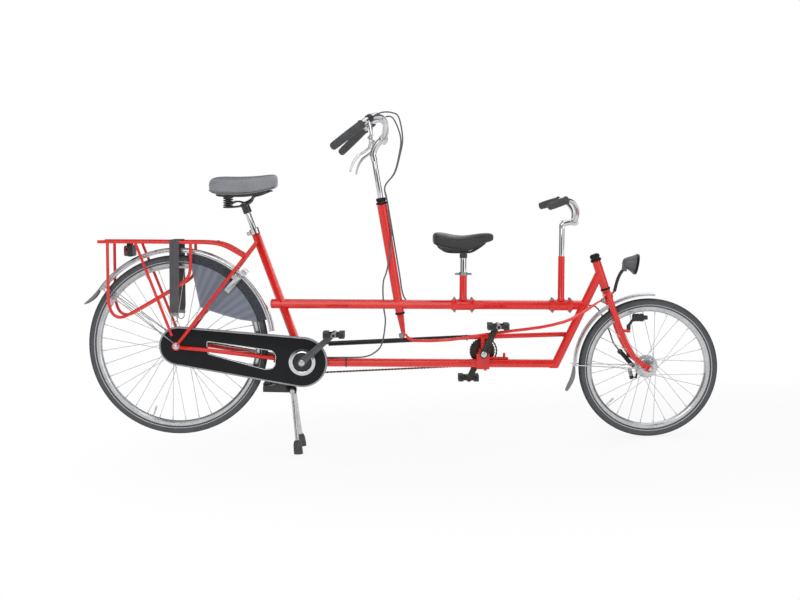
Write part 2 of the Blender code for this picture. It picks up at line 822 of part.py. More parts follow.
def make_chain_stay(side):
    """A chain stay with its dropout, bent inwards past the tyre to the bottom bracket shell."""
    route = smooth_route(
        [
            point(0.012, -0.004, side * STAY_END_SIDE),
            point(0.075, -0.009, side * STAY_END_SIDE),
            point(0.135, -0.015, side * STAY_END_SIDE),
            point(0.376, -0.049, side * 0.0285),
            point(PARENT_BB.x - 0.008, PARENT_BB.z, side * 0.017),
        ],
        3,
    )
    stay = bent(route, CHAIN_STAY_RADIUS, 2)
    inner = REAR_HUB_HALF_WIDTH + TOUCH
    ear = rod(
        REAR_AXLE + ACROSS * side * inner,
        REAR_AXLE + ACROSS * side * (inner + DROPOUT_THICKNESS),
        DROPOUT_RADIUS,
        sides=18,
    )
    made = joined(stay, ear)
    shell = rod(
        PARENT_BB - ACROSS * BB_SHELL_WIDTH,
        PARENT_BB + ACROSS * BB_SHELL_WIDTH,
        BB_SHELL_RADIUS + TOUCH,
        sides=20,
    )
    nut_room = rod(
        REAR_AXLE + ACROSS * side * (inner + DROPOUT_THICKNESS),
        REAR_AXLE + ACROSS * side * 0.12,
        DROPOUT_RADIUS + 0.001,
        sides=18,
    )
    hub_room = rod(REAR_AXLE, REAR_AXLE + ACROSS * side * inner, DROPOUT_RADIUS + 0.001, sides=18)
    return cut(made, shell, nut_room, hub_room, axle_cutter(AXLE_RADIUS + TOUCH))


def seat_stay_route(side):
    """The line of a seat stay: it clears the chaincase, then runs in beside the seat tube."""
    top = seat_axis_at(0.405)
    beside = SEAT_TUBE_RADIUS + STAY_RADIUS + TOUCH
    return smooth_route(
        [
            point(0.008, 0.011, side * STAY_END_SIDE),
            point(0.067, 0.086, side * (STAY_END_SIDE - 0.001)),
            point(0.200, 0.262, side * 0.0475),
            point(top.x - 0.004, top.z, side * beside),
        ],
        3,
    )


def make_seat_stay(side):
    stay = bent(seat_stay_route(side), STAY_RADIUS, 3)
    return cut(stay, axle_cutter(DROPOUT_RADIUS + TOUCH))


def make_right_seat_stay():
    """The right seat stay carries the bridge over the rear mudguard."""
    stay = make_seat_stay(-1)
    reach = REAR_RADIUS + REAR_GUARD_GAP + GUARD_WALL + 0.006 + TOUCH
    route = seat_stay_route(-1)
    outside = next(index for index, place in enumerate(route) if place.xz.length > reach)
    before, after = route[outside - 1], route[outside]
    share = (reach - before.xz.length) / (after.xz.length - before.xz.length)
    start = before.lerp(after, share)
    end = point(start.x, start.z, 0.0270)
    return joined(stay, rod(start, end, 0.006, sides=8))


def make_mid_stay():
    return pipe(MID_STAY_REAR, MID_STAY_FRONT, MID_STAY_RADIUS, MID_STAY_RADIUS - TUBE_WALL)


def make_rear_axle():
    """The rear axle with a washer and a domed nut outside each dropout."""
    face = REAR_HUB_HALF_WIDTH + 2 * TOUCH + DROPOUT_THICKNESS
    end = face + 0.017
    profile = [
        (-end, 0.0),
        (-end, 0.004),
        (-face - 0.013, 0.009),
        (-face - 0.002, 0.009),
        (-face - 0.002, 0.012),
        (-face, 0.012),
        (-face, AXLE_RADIUS),
        (face, AXLE_RADIUS),
        (face, 0.012),
        (face + 0.002, 0.012),
        (face + 0.002, 0.009),
        (face + 0.013, 0.009),
        (end, 0.004),
        (end, 0.0),
    ]
    return turned(profile, REAR_AXLE, ACROSS, 12)


# Mudguards


def guard_ring(centre, radius, side, angle):
    """One station of a mudguard: its outer wall, then its inner wall."""
    half = GUARD_HALF_WIDTH
    outer = [
        (-side, -half),
        (-0.007, -half + 0.0005),
        (0.0, -0.013),
        (0.0, 0.013),
        (-0.007, half - 0.0005),
        (-side, half),
    ]
    wall = GUARD_WALL
    inner = [
        (-side, half - wall),
        (-0.008, half - wall - 0.0005),
        (-wall, 0.0125),
        (-wall, -0.0125),
        (-0.008, -half + wall + 0.0005),
        (-side, -half + wall),
    ]
    return [on_circle(centre, angle, radius + r, y) for r, y in outer + inner]


def mudguard(centre, radius, side, back, front, stations):
    rings = [
        guard_ring(centre, radius, side, front + (back - front) * step / stations)
        for step in range(stations + 1)
    ]
    return swept(rings)


def make_rear_mudguard():
    return mudguard(
        REAR_AXLE,
        REAR_RADIUS + REAR_GUARD_GAP + GUARD_WALL,
        REAR_GUARD_SIDE,
        REAR_GUARD_BACK,
        REAR_GUARD_FRONT,
        REAR_GUARD_STATIONS,
    )


def flap(centre, radius, angle, length, splay):
    """A rubber flap that carries on from a mudguard's lower end."""
    out = Vector((math.cos(angle), 0.0, math.sin(angle)))
    on = Vector((-math.sin(angle), 0.0, math.cos(angle)))
    start = centre + out * (radius - 0.003) + on * TOUCH
    rings = []
    for step, width, lift in ((0.0, 0.018, 0.0), (0.45, 0.024, 0.1), (0.8, 0.027, 0.3), (1.0, 0.020, 0.42)):
        middle = start + on * length * step + out * splay * lift
        rings.append(
            [
                middle + ACROSS * width + out * 0.0015,
                middle - ACROSS * width + out * 0.0015,
                middle - ACROSS * width - out * 0.0015,
                middle + ACROSS * width - out * 0.0015,
            ]
        )
    return swept(rings)


def make_coat_guard(side):
    """A thin sector between the mudguard's edge and the spokes."""
    edge = REAR_RADIUS + REAR_GUARD_GAP + GUARD_WALL - REAR_GUARD_SIDE - TOUCH
    step = (REAR_GUARD_BACK - REAR_GUARD_FRONT) / REAR_GUARD_STATIONS
    outline = []
    for station in range(10, 0, -1):
        place = on_circle(REAR_AXLE, REAR_GUARD_FRONT + step * station, edge)
        outline.append((place.x, place.z))
    outline += [(0.303, 0.093), (0.244, 0.101), (0.184, 0.117), (0.134, 0.133), (0.088, 0.149), (0.056, 0.300)]
    outer = GUARD_HALF_WIDTH
    low, high = sorted((side * (outer - GUARD_WALL), side * outer))
    return plate(outline, low, high)


# Chaincase


def tangent_sides(first, first_radius, second, second_radius):
    """Outward directions of the two straight sides that join two circles: upper, then lower."""
    along = second - first
    length = along.length
    along = along / length
    above = ACROSS.cross(along) * -1.0
    lean = (first_radius - second_radius) / length
    rise = math.sqrt(1.0 - lean * lean)
    return along * lean + above * rise, along * lean - above * rise


def angle_of(direction):
    return math.atan2(direction.z, direction.x)


def case_outline(inset, steps=7):
    """The chaincase's outline: two round ends joined by straight sides, drawn in by inset."""
    rear = point(0.008, 0.0)
    upper, lower = tangent_sides(rear, CASE_REAR_RADIUS, PARENT_BB, CASE_FRONT_RADIUS)
    above, below = angle_of(upper), angle_of(lower)
    outline = []
    for step in range(steps + 1):
        angle = below + (above - below) * step / steps
        place = on_circle(PARENT_BB, angle, CASE_FRONT_RADIUS - inset)
        outline.append((place.x, place.z))
    for step in range(steps + 1):
        angle = above + (below + math.tau - above) * step / steps
        place = on_circle(rear, angle, CASE_REAR_RADIUS - inset)
        outline.append((place.x, place.z))
    return outline


def window_outline(grow=0.0):
    """The window through the case, where the chain stay passes from outside to inside it."""
    front = 0.104 - grow
    outline = [(0.118 - grow, 0.020 + grow), (0.122 - grow, -0.030 - grow * 1.4)]
    outline += [(0.345, -0.090 - grow), (0.372 + grow * 0.5, -0.086 - grow * 0.6)]
    for degrees in (186.0, 176.0, 166.0):
        place = on_circle(PARENT_BB, math.radians(degrees), front)
        outline.append((place.x, place.z))
    outline += [(0.373 + grow * 0.5, -0.016 + grow)]
    return outline


def case_shell(face, seam, rim_inset):
    """Half of the case: a face, a rounded rim and a wall round the window."""
    inward = 1.0 if seam > face else -1.0
    depth = abs(seam - face)
    rings = []
    for inset, at in ((rim_inset, 0.0), (rim_inset * 0.3, 0.0022), (0.0, 0.008), (0.0, depth)):
        rings.append([point(x, z, face + inward * at) for x, z in case_outline(inset)])
    shell = swept(rings)
    low, high = sorted((face + inward * CASE_WALL, seam + inward * 0.01))
    cavity = plate(case_outline(CASE_WALL + 0.0045), low, high)
    cavity = cut(cavity, plate(window_outline(CASE_WALL), low - 0.01, high + 0.01))
    return cut(shell, cavity, plate(window_outline(), -0.1, 0.0))


def make_chaincase_outer():
    """The outer half, with the ring round its crank hole."""
    seam = (CASE_OUTER_FACE + CASE_INNER_FACE) / 2 - TOUCH / 2
    shell = case_shell(CASE_OUTER_FACE, seam, 0.006)
    ring = pipe(
        PARENT_BB + ACROSS * (CASE_OUTER_FACE - 0.0012),
        PARENT_BB + ACROSS * (CASE_OUTER_FACE + 0.001),
        CASE_HOLE_RADIUS + 0.014,
        CASE_HOLE_RADIUS,
        sides=24,
    )
    hole = rod(PARENT_BB - ACROSS * 0.08, PARENT_BB - ACROSS * 0.05, CASE_HOLE_RADIUS, sides=24)
    axle = rod(REAR_AXLE - ACROSS * 0.08, REAR_AXLE - ACROSS * 0.05, 0.013, sides=14)
    return cut(joined(shell, ring), hole, axle)


def make_chaincase_inner():
    seam = (CASE_OUTER_FACE + CASE_INNER_FACE) / 2 + TOUCH / 2
    shell = case_shell(CASE_INNER_FACE, seam, 0.006)
    hole = rod(PARENT_BB - ACROSS * 0.06, PARENT_BB - ACROSS * 0.03, 0.014, sides=14)
    axle = rod(REAR_AXLE - ACROSS * 0.06, REAR_AXLE - ACROSS * 0.03, HUB_BARREL_RADIUS + 0.003, sides=16)
    return cut(shell, hole, axle)


# Chains and toothed rings


def belt_stations(first, first_radius, second, second_radius, arc_steps):
    """Places and outward directions round two wheels: upper run, second arc, lower run, first arc."""
    upper, lower = tangent_sides(first, first_radius, second, second_radius)
    above, below = angle_of(upper), angle_of(lower)
    stations = [(first + upper * first_radius, upper)]
    for step in range(arc_steps + 1):
        angle = above + (below - above) * step / arc_steps
        out = Vector((math.cos(angle), 0.0, math.sin(angle)))
        stations.append((second + out * second_radius, out))
    for step in range(arc_steps):
        angle = below - (math.tau - (above - below)) * step / arc_steps
        out = Vector((math.cos(angle), 0.0, math.sin(angle)))
        stations.append((first + out * first_radius, out))
    return stations


def chain_ring(place, out, height, width, side):
    place = place + ACROSS * side
    return [
        place + out * height / 2 - ACROSS * width / 2,
        place + out * height / 2 + ACROSS * width / 2,
        place - out * height / 2 + ACROSS * width / 2,
        place - out * height / 2 - ACROSS * width / 2,
    ]


def pitch_radius(teeth):
    return CHAIN_PITCH / 2 / math.sin(math.pi / teeth)


def make_drive_chain():
    stations = belt_stations(
        REAR_AXLE, pitch_radius(SPROCKET_TEETH), PARENT_BB, pitch_radius(DRIVE_TEETH), 12
    )
    rings = [chain_ring(p, o, CHAIN_HEIGHT, CHAIN_WIDTH, DRIVE_LINE) for p, o in stations]
    return swept(rings, closed=True)


def make_timing_chain():
    """The timing chain: full height at each pin and a waist in each link, but plain in its tube."""
    radius = pitch_radius(TIMING_TEETH)
    path = belt_stations(PARENT_BB, radius, CHILD_BB, radius, 28)
    stretches = list(zip(path, path[1:] + path[:1]))
    length = sum((end[0] - start[0]).length for start, end in stretches)
    links = 2 * round(length / CHAIN_PITCH / 2)
    pitch = length / links
    rings = []
    gone = 0.0
    for (start, out), (end, next_out) in stretches:
        stretch = (end - start).length
        while gone < stretch and len(rings) < links:
            share = gone / stretch
            rings.append((start.lerp(end, share), out.lerp(next_out, share).normalized()))
            gone += pitch
        gone -= stretch
    hidden_from = CHAIN_TUBE_REAR_X + 0.015
    hidden_to = CHAIN_TUBE_FRONT_X - 0.015
    stations = []
    for index, (place, facing) in enumerate(rings):
        pin = index % 2 == 0
        hidden = hidden_from < place.x < hidden_to and facing.z > 0.9
        if hidden and index % 6:
            continue
        height = CHAIN_HEIGHT if pin else CHAIN_HEIGHT * 0.7
        width = CHAIN_WIDTH if pin else CHAIN_WIDTH * 0.62
        stations.append(chain_ring(place, facing, height, width, TIMING_LINE))
    return swept(stations, closed=True)


CHAIN_TUBE_REAR_X = 0.583
CHAIN_TUBE_FRONT_X = 1.1277


def timing_run(x, rise=0.0):
    """A place on the timing chain's upper run."""
    radius = pitch_radius(TIMING_TEETH)
    upper, _ = tangent_sides(PARENT_BB, radius, CHILD_BB, radius)
    start = PARENT_BB + upper * radius
    along = (CHILD_BB - PARENT_BB).normalized()
    return start + along * ((x - start.x) / along.x) + upper * rise + ACROSS * TIMING_LINE


def make_chain_tube():
    """The tube round the upper run, with the plate that bolts to the mid stay's rear end."""
    rear, front = timing_run(CHAIN_TUBE_REAR_X), timing_run(CHAIN_TUBE_FRONT_X)
    tube = rod(rear, front, CHAIN_TUBE_RADIUS, sides=12)
    plate_back = MID_STAY_REAR.x - TOUCH - 0.0018
    middle = timing_run(plate_back) - ACROSS * 0.0085
    tab = block(middle, (0.0035, 0.036, 0.021))
    bore = rod(
        rear - FORWARD * 0.02,
        timing_run(CHAIN_TUBE_FRONT_X + 0.02),
        CHAIN_TUBE_RADIUS - 0.0015,
        sides=12,
    )
    return cut(joined(tube, tab), bore)


def toothed_disc(centre, teeth, low, high, tooth_shape=((0.0, 0.0), (0.5, 1.0))):
    """A disc whose teeth stop just inside its chain."""
    tip = pitch_radius(teeth) - CHAIN_HEIGHT / 2 - 2 * TOUCH
    root = tip - 0.0042
    outline = []
    for tooth in range(teeth):
        for share, height in tooth_shape:
            radius = root + (tip - root) * height
            angle = math.tau * (tooth + share) / teeth
            outline.append((centre.x + radius * math.cos(angle), centre.z + radius * math.sin(angle)))
    return plate(outline, low, high)


def crank_arm(centre, angle, length, inner, side):
    """A flat tapered arm with a round end at the spindle and another at the pedal."""
    boss, end = CRANK_WIDTH / 2 + 0.004, CRANK_WIDTH / 2 - 0.001
    out = Vector((math.cos(angle), 0.0, math.sin(angle)))
    outline = []
    for middle, radius, from_angle, narrow in ((0.0, boss, 90.0, 0.70), (length, end, -90.0, 0.75)):
        flip = 1.0 if middle == 0.0 else -1.0
        for step in range(6):
            around = math.radians(from_angle + 180.0 * step / 5)
            outline.append((middle + radius * math.cos(around), radius * math.sin(around)))
        outline.append((middle + flip * 0.028, -flip * boss * narrow))
    low, high = sorted((side * inner, side * (inner + CRANK_THICKNESS)))
    ups = Vector((-out.z, 0.0, out.x))
    arm = plate(outline, low, high, forward=out, up=ups, origin=centre)
    pin_start = pedal_place(centre, angle, length, inner - CRANK_THICKNESS * 0.8, side)
    if side > 0:
        pin_start = on_circle(centre, angle, length, side * (inner + CRANK_THICKNESS * 0.2))
    pin_length = CRANK_THICKNESS * 0.8 + TOUCH + PEDAL_LENGTH - 0.004
    pin = rod(pin_start, pin_start + ACROSS * side * pin_length, PEDAL_PIN_RADIUS, sides=8)
    return joined(arm, pin)


def crankset(centre, angle, length, inner, discs):
    """Two opposite arms on a spindle that carries toothed discs."""
    spindle = rod(
        centre - ACROSS * (inner + CRANK_THICKNESS + 0.002),
        centre + ACROSS * (inner + CRANK_THICKNESS + 0.002),
        SPINDLE_RADIUS,
        sides=12,
    )
    right = crank_arm(centre, angle, length, inner, -1)
    left = crank_arm(centre, angle + math.pi, length, inner, 1)
    return joined(spindle, right, left, *discs)


def make_parent_crankset():
    drive = toothed_disc(
        PARENT_BB,
        DRIVE_TEETH,
        DRIVE_LINE - RING_THICKNESS / 2,
        DRIVE_LINE + RING_THICKNESS / 2,
        tooth_shape=((0.0, 0.5),),
    )
    right_boss = rod(
        PARENT_BB + ACROSS * (DRIVE_LINE + 0.004),
        PARENT_BB - ACROSS * (PARENT_CRANK_INNER + 0.002),
        0.015,
        sides=12,
    )
    timing = timing_ring(PARENT_BB)
    left_boss = rod(
        PARENT_BB + ACROSS * (TIMING_LINE - 0.004),
        PARENT_BB + ACROSS * (PARENT_CRANK_INNER + 0.002),
        0.015,
        sides=12,
    )
    return crankset(
        PARENT_BB,
        PARENT_CRANK_ANGLE,
        PARENT_CRANK_LENGTH,
        PARENT_CRANK_INNER,
        (drive, right_boss, timing, left_boss),
    )


def timing_ring(centre):
    """A timing ring with five windows in its web."""
    half = RING_THICKNESS / 2
    ring = toothed_disc(centre, TIMING_TEETH, TIMING_LINE - half, TIMING_LINE + half)
    windows = []
    for index in range(5):
        angle = math.tau * (index + 0.25) / 5
        middle = on_circle(centre, angle, 0.031)
        windows.append(rod(middle, middle + ACROSS * 0.1, 0.0105, sides=6))
    return cut(ring, *windows)


def make_child_crankset():
    boss = rod(
        CHILD_BB + ACROSS * (TIMING_LINE - 0.004),
        CHILD_BB + ACROSS * (CHILD_CRANK_INNER + 0.002),
        0.015,
        sides=12,
    )
    return crankset(
        CHILD_BB,
        CHILD_CRANK_ANGLE,
        CHILD_CRANK_LENGTH,
        CHILD_CRANK_INNER,
        (timing_ring(CHILD_BB), boss),
    )


def make_pedal(place, side, tilt):
    """A block pedal: two rubber treads on a barrel, between two end plates."""
    along = ACROSS * side
    forward = Vector((math.cos(tilt), 0.0, math.sin(tilt)))
    up = Vector((-forward.z, 0.0, forward.x))
    barrel = rod(place, place + along * PEDAL_LENGTH, 0.0105, sides=8)
    parts = []
    for flip in (-1.0, 1.0):
        tread = block(
            place + along * PEDAL_LENGTH / 2 + forward * flip * (PEDAL_WIDTH / 2 - 0.011),
            (0.022, PEDAL_LENGTH - 0.006, PEDAL_HEIGHT),
            forward,
            up,
        )
        parts.append(tread)
    for at in (0.006, PEDAL_LENGTH - 0.006):
        parts.append(
            block(place + along * at, (PEDAL_WIDTH - 0.006, 0.004, PEDAL_HEIGHT - 0.010), forward, up)
        )
    made = joined(barrel, *parts)
    bore = rod(
        place - along * 0.01,
        place + along * (PEDAL_LENGTH - 0.003),
        running_bore(PEDAL_PIN_RADIUS, 8),
        sides=8,
    )
    return cut(made, bore)


# Carrier, lock, strap, lamp


def rack_side(side):
    """One side of the carrier: its rail, its hanging loop and its stay to the dropout."""
    y = side * RACK_SPREAD
    stay_side = side * 0.0500
    z = RACK_HEIGHT
    rail = smooth_route(
        [
            point(-0.299, z, y),
            point(-0.150, z, y),
            point(0.120, z - 0.001, y),
            point(0.182, z - 0.008, y * 0.97),
            point(0.262, z - 0.055, stay_side),
        ],
        1,
    )
    loop = smooth_route(
        [
            point(-0.261, z - 0.002, y),
            point(-0.261, 0.165, y),
            point(-0.244, 0.119, y),
            point(-0.208, 0.107, y),
            point(-0.081, 0.181, y),
            point(0.000, 0.229, y),
            point(0.051, 0.264, y),
            point(0.059, 0.310, y),
            point(0.059, z - 0.002, y),
        ],
        1,
    )
    low = point(-0.004, 0.013, side * 0.0675)
    stay = bent([point(-0.154, z - 0.003, y), point(-0.018, 0.050, side * 0.0675), low], RACK_RADIUS, 1)
    stay = cut(stay, axle_cutter(DROPOUT_RADIUS + 3 * TOUCH))
    return [bent(rail, RACK_RADIUS, 1), bent(loop, RACK_RADIUS, 1), stay]


RACK_BARS = (-0.275, -0.187, -0.100, 0.059, 0.150)


def make_rear_rack():
    parts = rack_side(-1) + rack_side(1)
    for x in RACK_BARS:
        start = point(x, RACK_HEIGHT, -RACK_SPREAD)
        parts.append(rod(start, start + ACROSS * 2 * RACK_SPREAD, 0.0045, sides=6))
    return joined(parts[0], *parts[1:])


def make_rack_strap():
    """An elastic strap over the deck and down both sides."""
    top = RACK_HEIGHT + RACK_RADIUS + TOUCH
    out = RACK_SPREAD + RACK_RADIUS + TOUCH
    thick = 0.0028
    corner = (RACK_RADIUS + TOUCH) / math.cos(math.pi / 8) * math.sqrt(0.5)
    half = [(0.0, top), (RACK_SPREAD, top), (RACK_SPREAD + corner, RACK_HEIGHT + corner)]
    half += [(out, RACK_HEIGHT), (out + 0.002, 0.25), (out + 0.006, 0.125)]
    side = [(-y, z) for y, z in reversed(half)] + half[1:]
    middles = [Vector((-0.003, y, z)) for y, z in side]
    rings = []
    for index, middle in enumerate(middles):
        before = middles[max(index - 1, 0)]
        after = middles[min(index + 1, len(middles) - 1)]
        along = (after - before).normalized()
        out_way = along.cross(FORWARD) * -1.0
        width = 0.0185 if 0 < index < len(middles) - 1 else 0.0150
        rings.append(
            [
                middle + FORWARD * width,
                middle - FORWARD * width,
                middle - FORWARD * width + out_way * thick,
                middle + FORWARD * width + out_way * thick,
            ]
        )
    return swept(rings)


def make_rear_lamp():
    """The rear lamp, hung under a bar of the carrier."""
    bar = RACK_BARS[1]
    top = RACK_HEIGHT - 0.0045 - TOUCH
    shape = bmesh.new()
    bmesh.ops.create_cube(
        shape,
        size=1.0,
        matrix=Matrix.Translation(point(bar, top - 0.031)) @ Matrix.Diagonal((0.034, 0.084, 0.044, 1.0)),
    )
    bmesh.ops.bevel(
        shape, geom=shape.edges, offset=0.007, segments=2, affect="EDGES", profile=0.5, material=-1
    )
    lamp = mesh_piece(shape)
    hanger = block(point(bar, top - 0.006), (0.020, 0.030, 0.012))
    return joined(lamp, hanger)


def make_ring_lock():
    """A frame lock: a bow over the mudguard and rim, with ears that reach the seat stays."""
    reach = REAR_RADIUS + REAR_GUARD_GAP + GUARD_WALL
    angle = math.radians(47.8)
    out = Vector((math.cos(angle), 0.0, math.sin(angle)))
    on = Vector((-math.sin(angle), 0.0, math.cos(angle)))
    inner, outer = GUARD_HALF_WIDTH + 0.0025, GUARD_HALF_WIDTH + 0.0145
    profile = [
        (0.285, -outer + 0.003),
        (reach - 0.010, -outer),
        (reach + 0.010, -outer + 0.006),
        (reach + 0.016, -0.016),
        (reach + 0.016, 0.016),
        (reach + 0.010, outer - 0.006),
        (reach - 0.010, outer),
        (0.285, outer - 0.003),
        (0.285, inner),
        (reach - 0.006, inner),
        (reach + TOUCH, 0.016),
        (reach + TOUCH, -0.016),
        (reach - 0.006, -inner),
        (0.285, -inner),
    ]
    shape = bmesh.new()
    thick = 0.022
    points = [shape.verts.new(out * r + ACROSS * y - on * thick / 2) for r, y in profile]
    face = shape.faces.new(points)
    grown = bmesh.ops.extrude_face_region(shape, geom=[face])
    moved = [item for item in grown["geom"] if isinstance(item, bmesh.types.BMVert)]
    bmesh.ops.translate(shape, verts=moved, vec=on * thick)
    bow = mesh_piece(shape)
    ears = []
    for side in (-1, 1):
        ears.append(
            block(out * (reach - 0.030) + on * 0.018 + ACROSS * side * (outer - 0.004), (0.030, 0.007, 0.022), forward=on, up=out)
        )
    bow = joined(bow, *ears)
    return cut(bow, *[seat_stay_cutter(side) for side in (-1, 1)])


def seat_stay_cutter(side):
    """The straight upper run of a seat stay, with the touching gap."""
    top = seat_axis_at(0.405)
    beside = SEAT_TUBE_RADIUS + STAY_RADIUS + TOUCH
    low = point(0.067, 0.086, side * (STAY_END_SIDE - 0.001))
    middle = point(0.200, 0.262, side * 0.0475)
    high = point(top.x - 0.004, top.z, side * beside)
    route = smooth_route([point(0.008, 0.011, side * STAY_END_SIDE), low, middle, high], 3)
    return bent(route, STAY_RADIUS + TOUCH, 3)


def make_seat_clamp():
    """The collar on the seat tube, with its bolt at the back."""
    low = SEAT_TOP - SEAT_AXIS * 0.016
    outer = SEAT_TUBE_RADIUS + 0.004
    collar = turned(
        [
            (0.0, SEAT_TUBE_RADIUS + TOUCH),
            (0.0, outer),
            (0.020, outer),
            (0.022, outer - 0.002),
            (0.022, SEAT_BORE_RADIUS),
            (0.016 + TOUCH, SEAT_BORE_RADIUS),
            (0.016 + TOUCH, SEAT_TUBE_RADIUS + TOUCH),
        ],
        low,
        SEAT_AXIS,
        18,
    )
    back = square_to(SEAT_TUBE_LEAN) * -1.0
    lug = block(low + SEAT_AXIS * 0.009 + back * (outer + 0.004), (0.014, 0.020, 0.015), back * -1.0, SEAT_AXIS)
    bolt_middle = low + SEAT_AXIS * 0.009 + back * (outer + 0.005)
    bolt = rod(bolt_middle - ACROSS * 0.017, bolt_middle + ACROSS * 0.017, 0.004, sides=8)
    return joined(collar, lug, bolt)


# Child's carriers


def make_carrier(middle_x, post_diameter, sleeve_top, knob):
    """A clamp round the top tube with a sleeve for a sliding post."""
    outer = TOP_TUBE_RADIUS + CARRIER_WALL
    half = CARRIER_LENGTH / 2
    low, high = -TOP_TUBE_RADIUS - 0.010, TOP_TUBE_RADIUS + 0.010
    profile = [
        (-half, low + 0.010),
        (-half + 0.006, low),
        (half - 0.006, low),
        (half, low + 0.010),
        (half, high - 0.010),
        (half - 0.006, high),
        (-half + 0.006, high),
        (-half, high - 0.010),
    ]
    clamp = plate(profile, -outer, outer, origin=point(middle_x, TOP_TUBE_HEIGHT))
    sleeve_radius = post_diameter / 2 + TOUCH + 0.0018
    sleeve = rod(
        point(middle_x, TOP_TUBE_HEIGHT + high - 0.004), point(middle_x, sleeve_top), sleeve_radius, sides=12
    )
    parts = [sleeve]
    for flip in (-1, 1):
        for y in (-outer + 0.004, outer - 0.004):
            start = point(middle_x + flip * (half - 0.012), TOP_TUBE_HEIGHT + low - 0.004, y)
            parts.append(rod(start, start + UP * (high - low + 0.008), 0.0035, sides=6))
    if knob:
        collar = rod(
            point(middle_x, sleeve_top - 0.014), point(middle_x, sleeve_top), sleeve_radius + 0.003, sides=12
        )
        wing = rod(
            point(middle_x - 0.032, sleeve_top - 0.007),
            point(middle_x + 0.032, sleeve_top - 0.007),
            0.004,
            sides=8,
        )
        parts += [collar, wing]
    clamp = joined(clamp, *parts)
    tube = rod(
        point(middle_x - half - 0.01, TOP_TUBE_HEIGHT),
        point(middle_x + half + 0.01, TOP_TUBE_HEIGHT),
        TOP_TUBE_RADIUS + TOUCH,
        sides=TUBE_SIDES,
    )
    bore = rod(
        point(middle_x, TOP_TUBE_HEIGHT + TOP_TUBE_RADIUS + 0.006),
        point(middle_x, sleeve_top + 0.01),
        post_diameter / 2 + TOUCH,
        sides=12,
    )
    return cut(clamp, tube, bore)


# Stand


def make_stand_bracket():
    """The stand's bracket, hung from a plate under the chain stays, with a stop at the rear."""
    along_stay = Vector((0.994, 0.0, -0.110)).normalized()
    square = along_stay.cross(ACROSS)
    under = point(0.405, -0.0525) - square * (CHAIN_STAY_RADIUS + 0.0012)
    deck = block(under - square * 0.003, (0.060, 0.066, 0.006), along_stay, square)
    top = under.z - 0.002
    web = plate(
        [
            (0.382, top - 0.004),
            (0.430, top - 0.004),
            (0.462, STAND_PIVOT_Z + 0.006),
            (0.452, STAND_PIVOT_Z - 0.008),
            (0.330, STAND_PIVOT_Z - 0.006),
            (0.330, STAND_PIVOT_Z + 0.014),
            (0.392, STAND_PIVOT_Z + 0.024),
        ],
        -0.012,
        0.012,
    )
    barrel = rod(STAND_PIVOT - ACROSS * 0.022, STAND_PIVOT + ACROSS * 0.022, 0.0145, sides=16)
    made = joined(web, deck, barrel)
    bore = rod(STAND_PIVOT - ACROSS * 0.03, STAND_PIVOT + ACROSS * 0.03, 0.009 + TOUCH, sides=14)
    return cut(made, bore)


def make_centre_stand():
    """Two legs on a cross tube, with rubber feet whose soles lie on the floor."""
    spread = STAND_TOP_SPREAD
    made = rod(
        STAND_PIVOT - ACROSS * (spread + 0.008), STAND_PIVOT + ACROSS * (spread + 0.008), 0.009, sides=14
    )
    parts = []
    for side in (-1, 1):
        top = STAND_PIVOT + ACROSS * side * spread
        foot = point(STAND_FOOT_X, STAND_FOOT_Z, side * STAND_FOOT_SPREAD)
        knee = top.lerp(foot, 0.45) + ACROSS * side * -0.004
        parts.append(bent([top, knee, foot - (foot - knee) * 0.1], STAND_LEG_RADIUS, 2))
        along = (foot - knee).normalized()
        parts.append(
            turned(
                [(-0.048, 0.0), (-0.048, 0.011), (-0.040, 0.0155), (0.0, 0.017), (0.02, 0.017), (0.02, 0.0)],
                foot,
                along,
                12,
            )
        )
    made = joined(made, *parts)
    floor_up = FLOOR_WARD * -1.0
    floor_front = ACROSS.cross(floor_up)
    sole = point(STAND_FOOT_X, STAND_FOOT_Z)
    below = block(sole + FLOOR_WARD * 0.05, (0.3, 0.4, 0.1), floor_front, floor_up)
    return cut(made, below)


# Wheels


def make_tyre(centre, radius):
    """A tyre with a rounded tread; one of its stations points straight at the floor."""
    half = TYRE_WIDTH / 2
    seat = radius - TYRE_HEIGHT
    profile = [
        (-RIM_WIDTH / 2, seat),
        (-half, seat + TYRE_HEIGHT * 0.45),
        (-half * 0.75, radius - 0.006),
        (-half * 0.22, radius),
        (half * 0.22, radius),
        (half * 0.75, radius - 0.006),
        (half, seat + TYRE_HEIGHT * 0.45),
        (RIM_WIDTH / 2, seat),
    ]
    return turned(profile, centre, ACROSS, WHEEL_SEGMENTS, start=FLOOR_WARD)


def make_rim(centre, radius):
    """A box rim whose outer face carries the tyre."""
    outer = radius - TYRE_HEIGHT - TOUCH
    inner = outer - RIM_HEIGHT
    half = RIM_WIDTH / 2
    profile = [
        (-half, outer),
        (half, outer),
        (half, outer - RIM_HEIGHT * 0.55),
        (half * 0.35, inner),
        (-half * 0.35, inner),
        (-half, outer - RIM_HEIGHT * 0.55),
    ]
    return turned(profile, centre, ACROSS, WHEEL_SEGMENTS, start=FLOOR_WARD)


def spoke_ends(centre, radius, index, spokes):
    """The inner and outer end of one spoke; neighbours lean opposite ways and change flange."""
    side = -1 if index % 2 else 1
    lean = 1 if index % 4 < 2 else -1
    rim_angle = math.tau * (index + 0.5) / spokes
    hub_angle = rim_angle + lean * math.tau * SPOKE_CROSS * 1.9 / spokes
    outward = FLANGE_THICKNESS / 2 - SPOKE_RADIUS * 0.25
    flange = side * (FLANGE_OFFSET + lean * outward)
    start = on_circle(centre, hub_angle, FLANGE_RADIUS - 0.004, flange)
    end = on_circle(centre, rim_angle, radius, side * 0.0035)
    return start, end


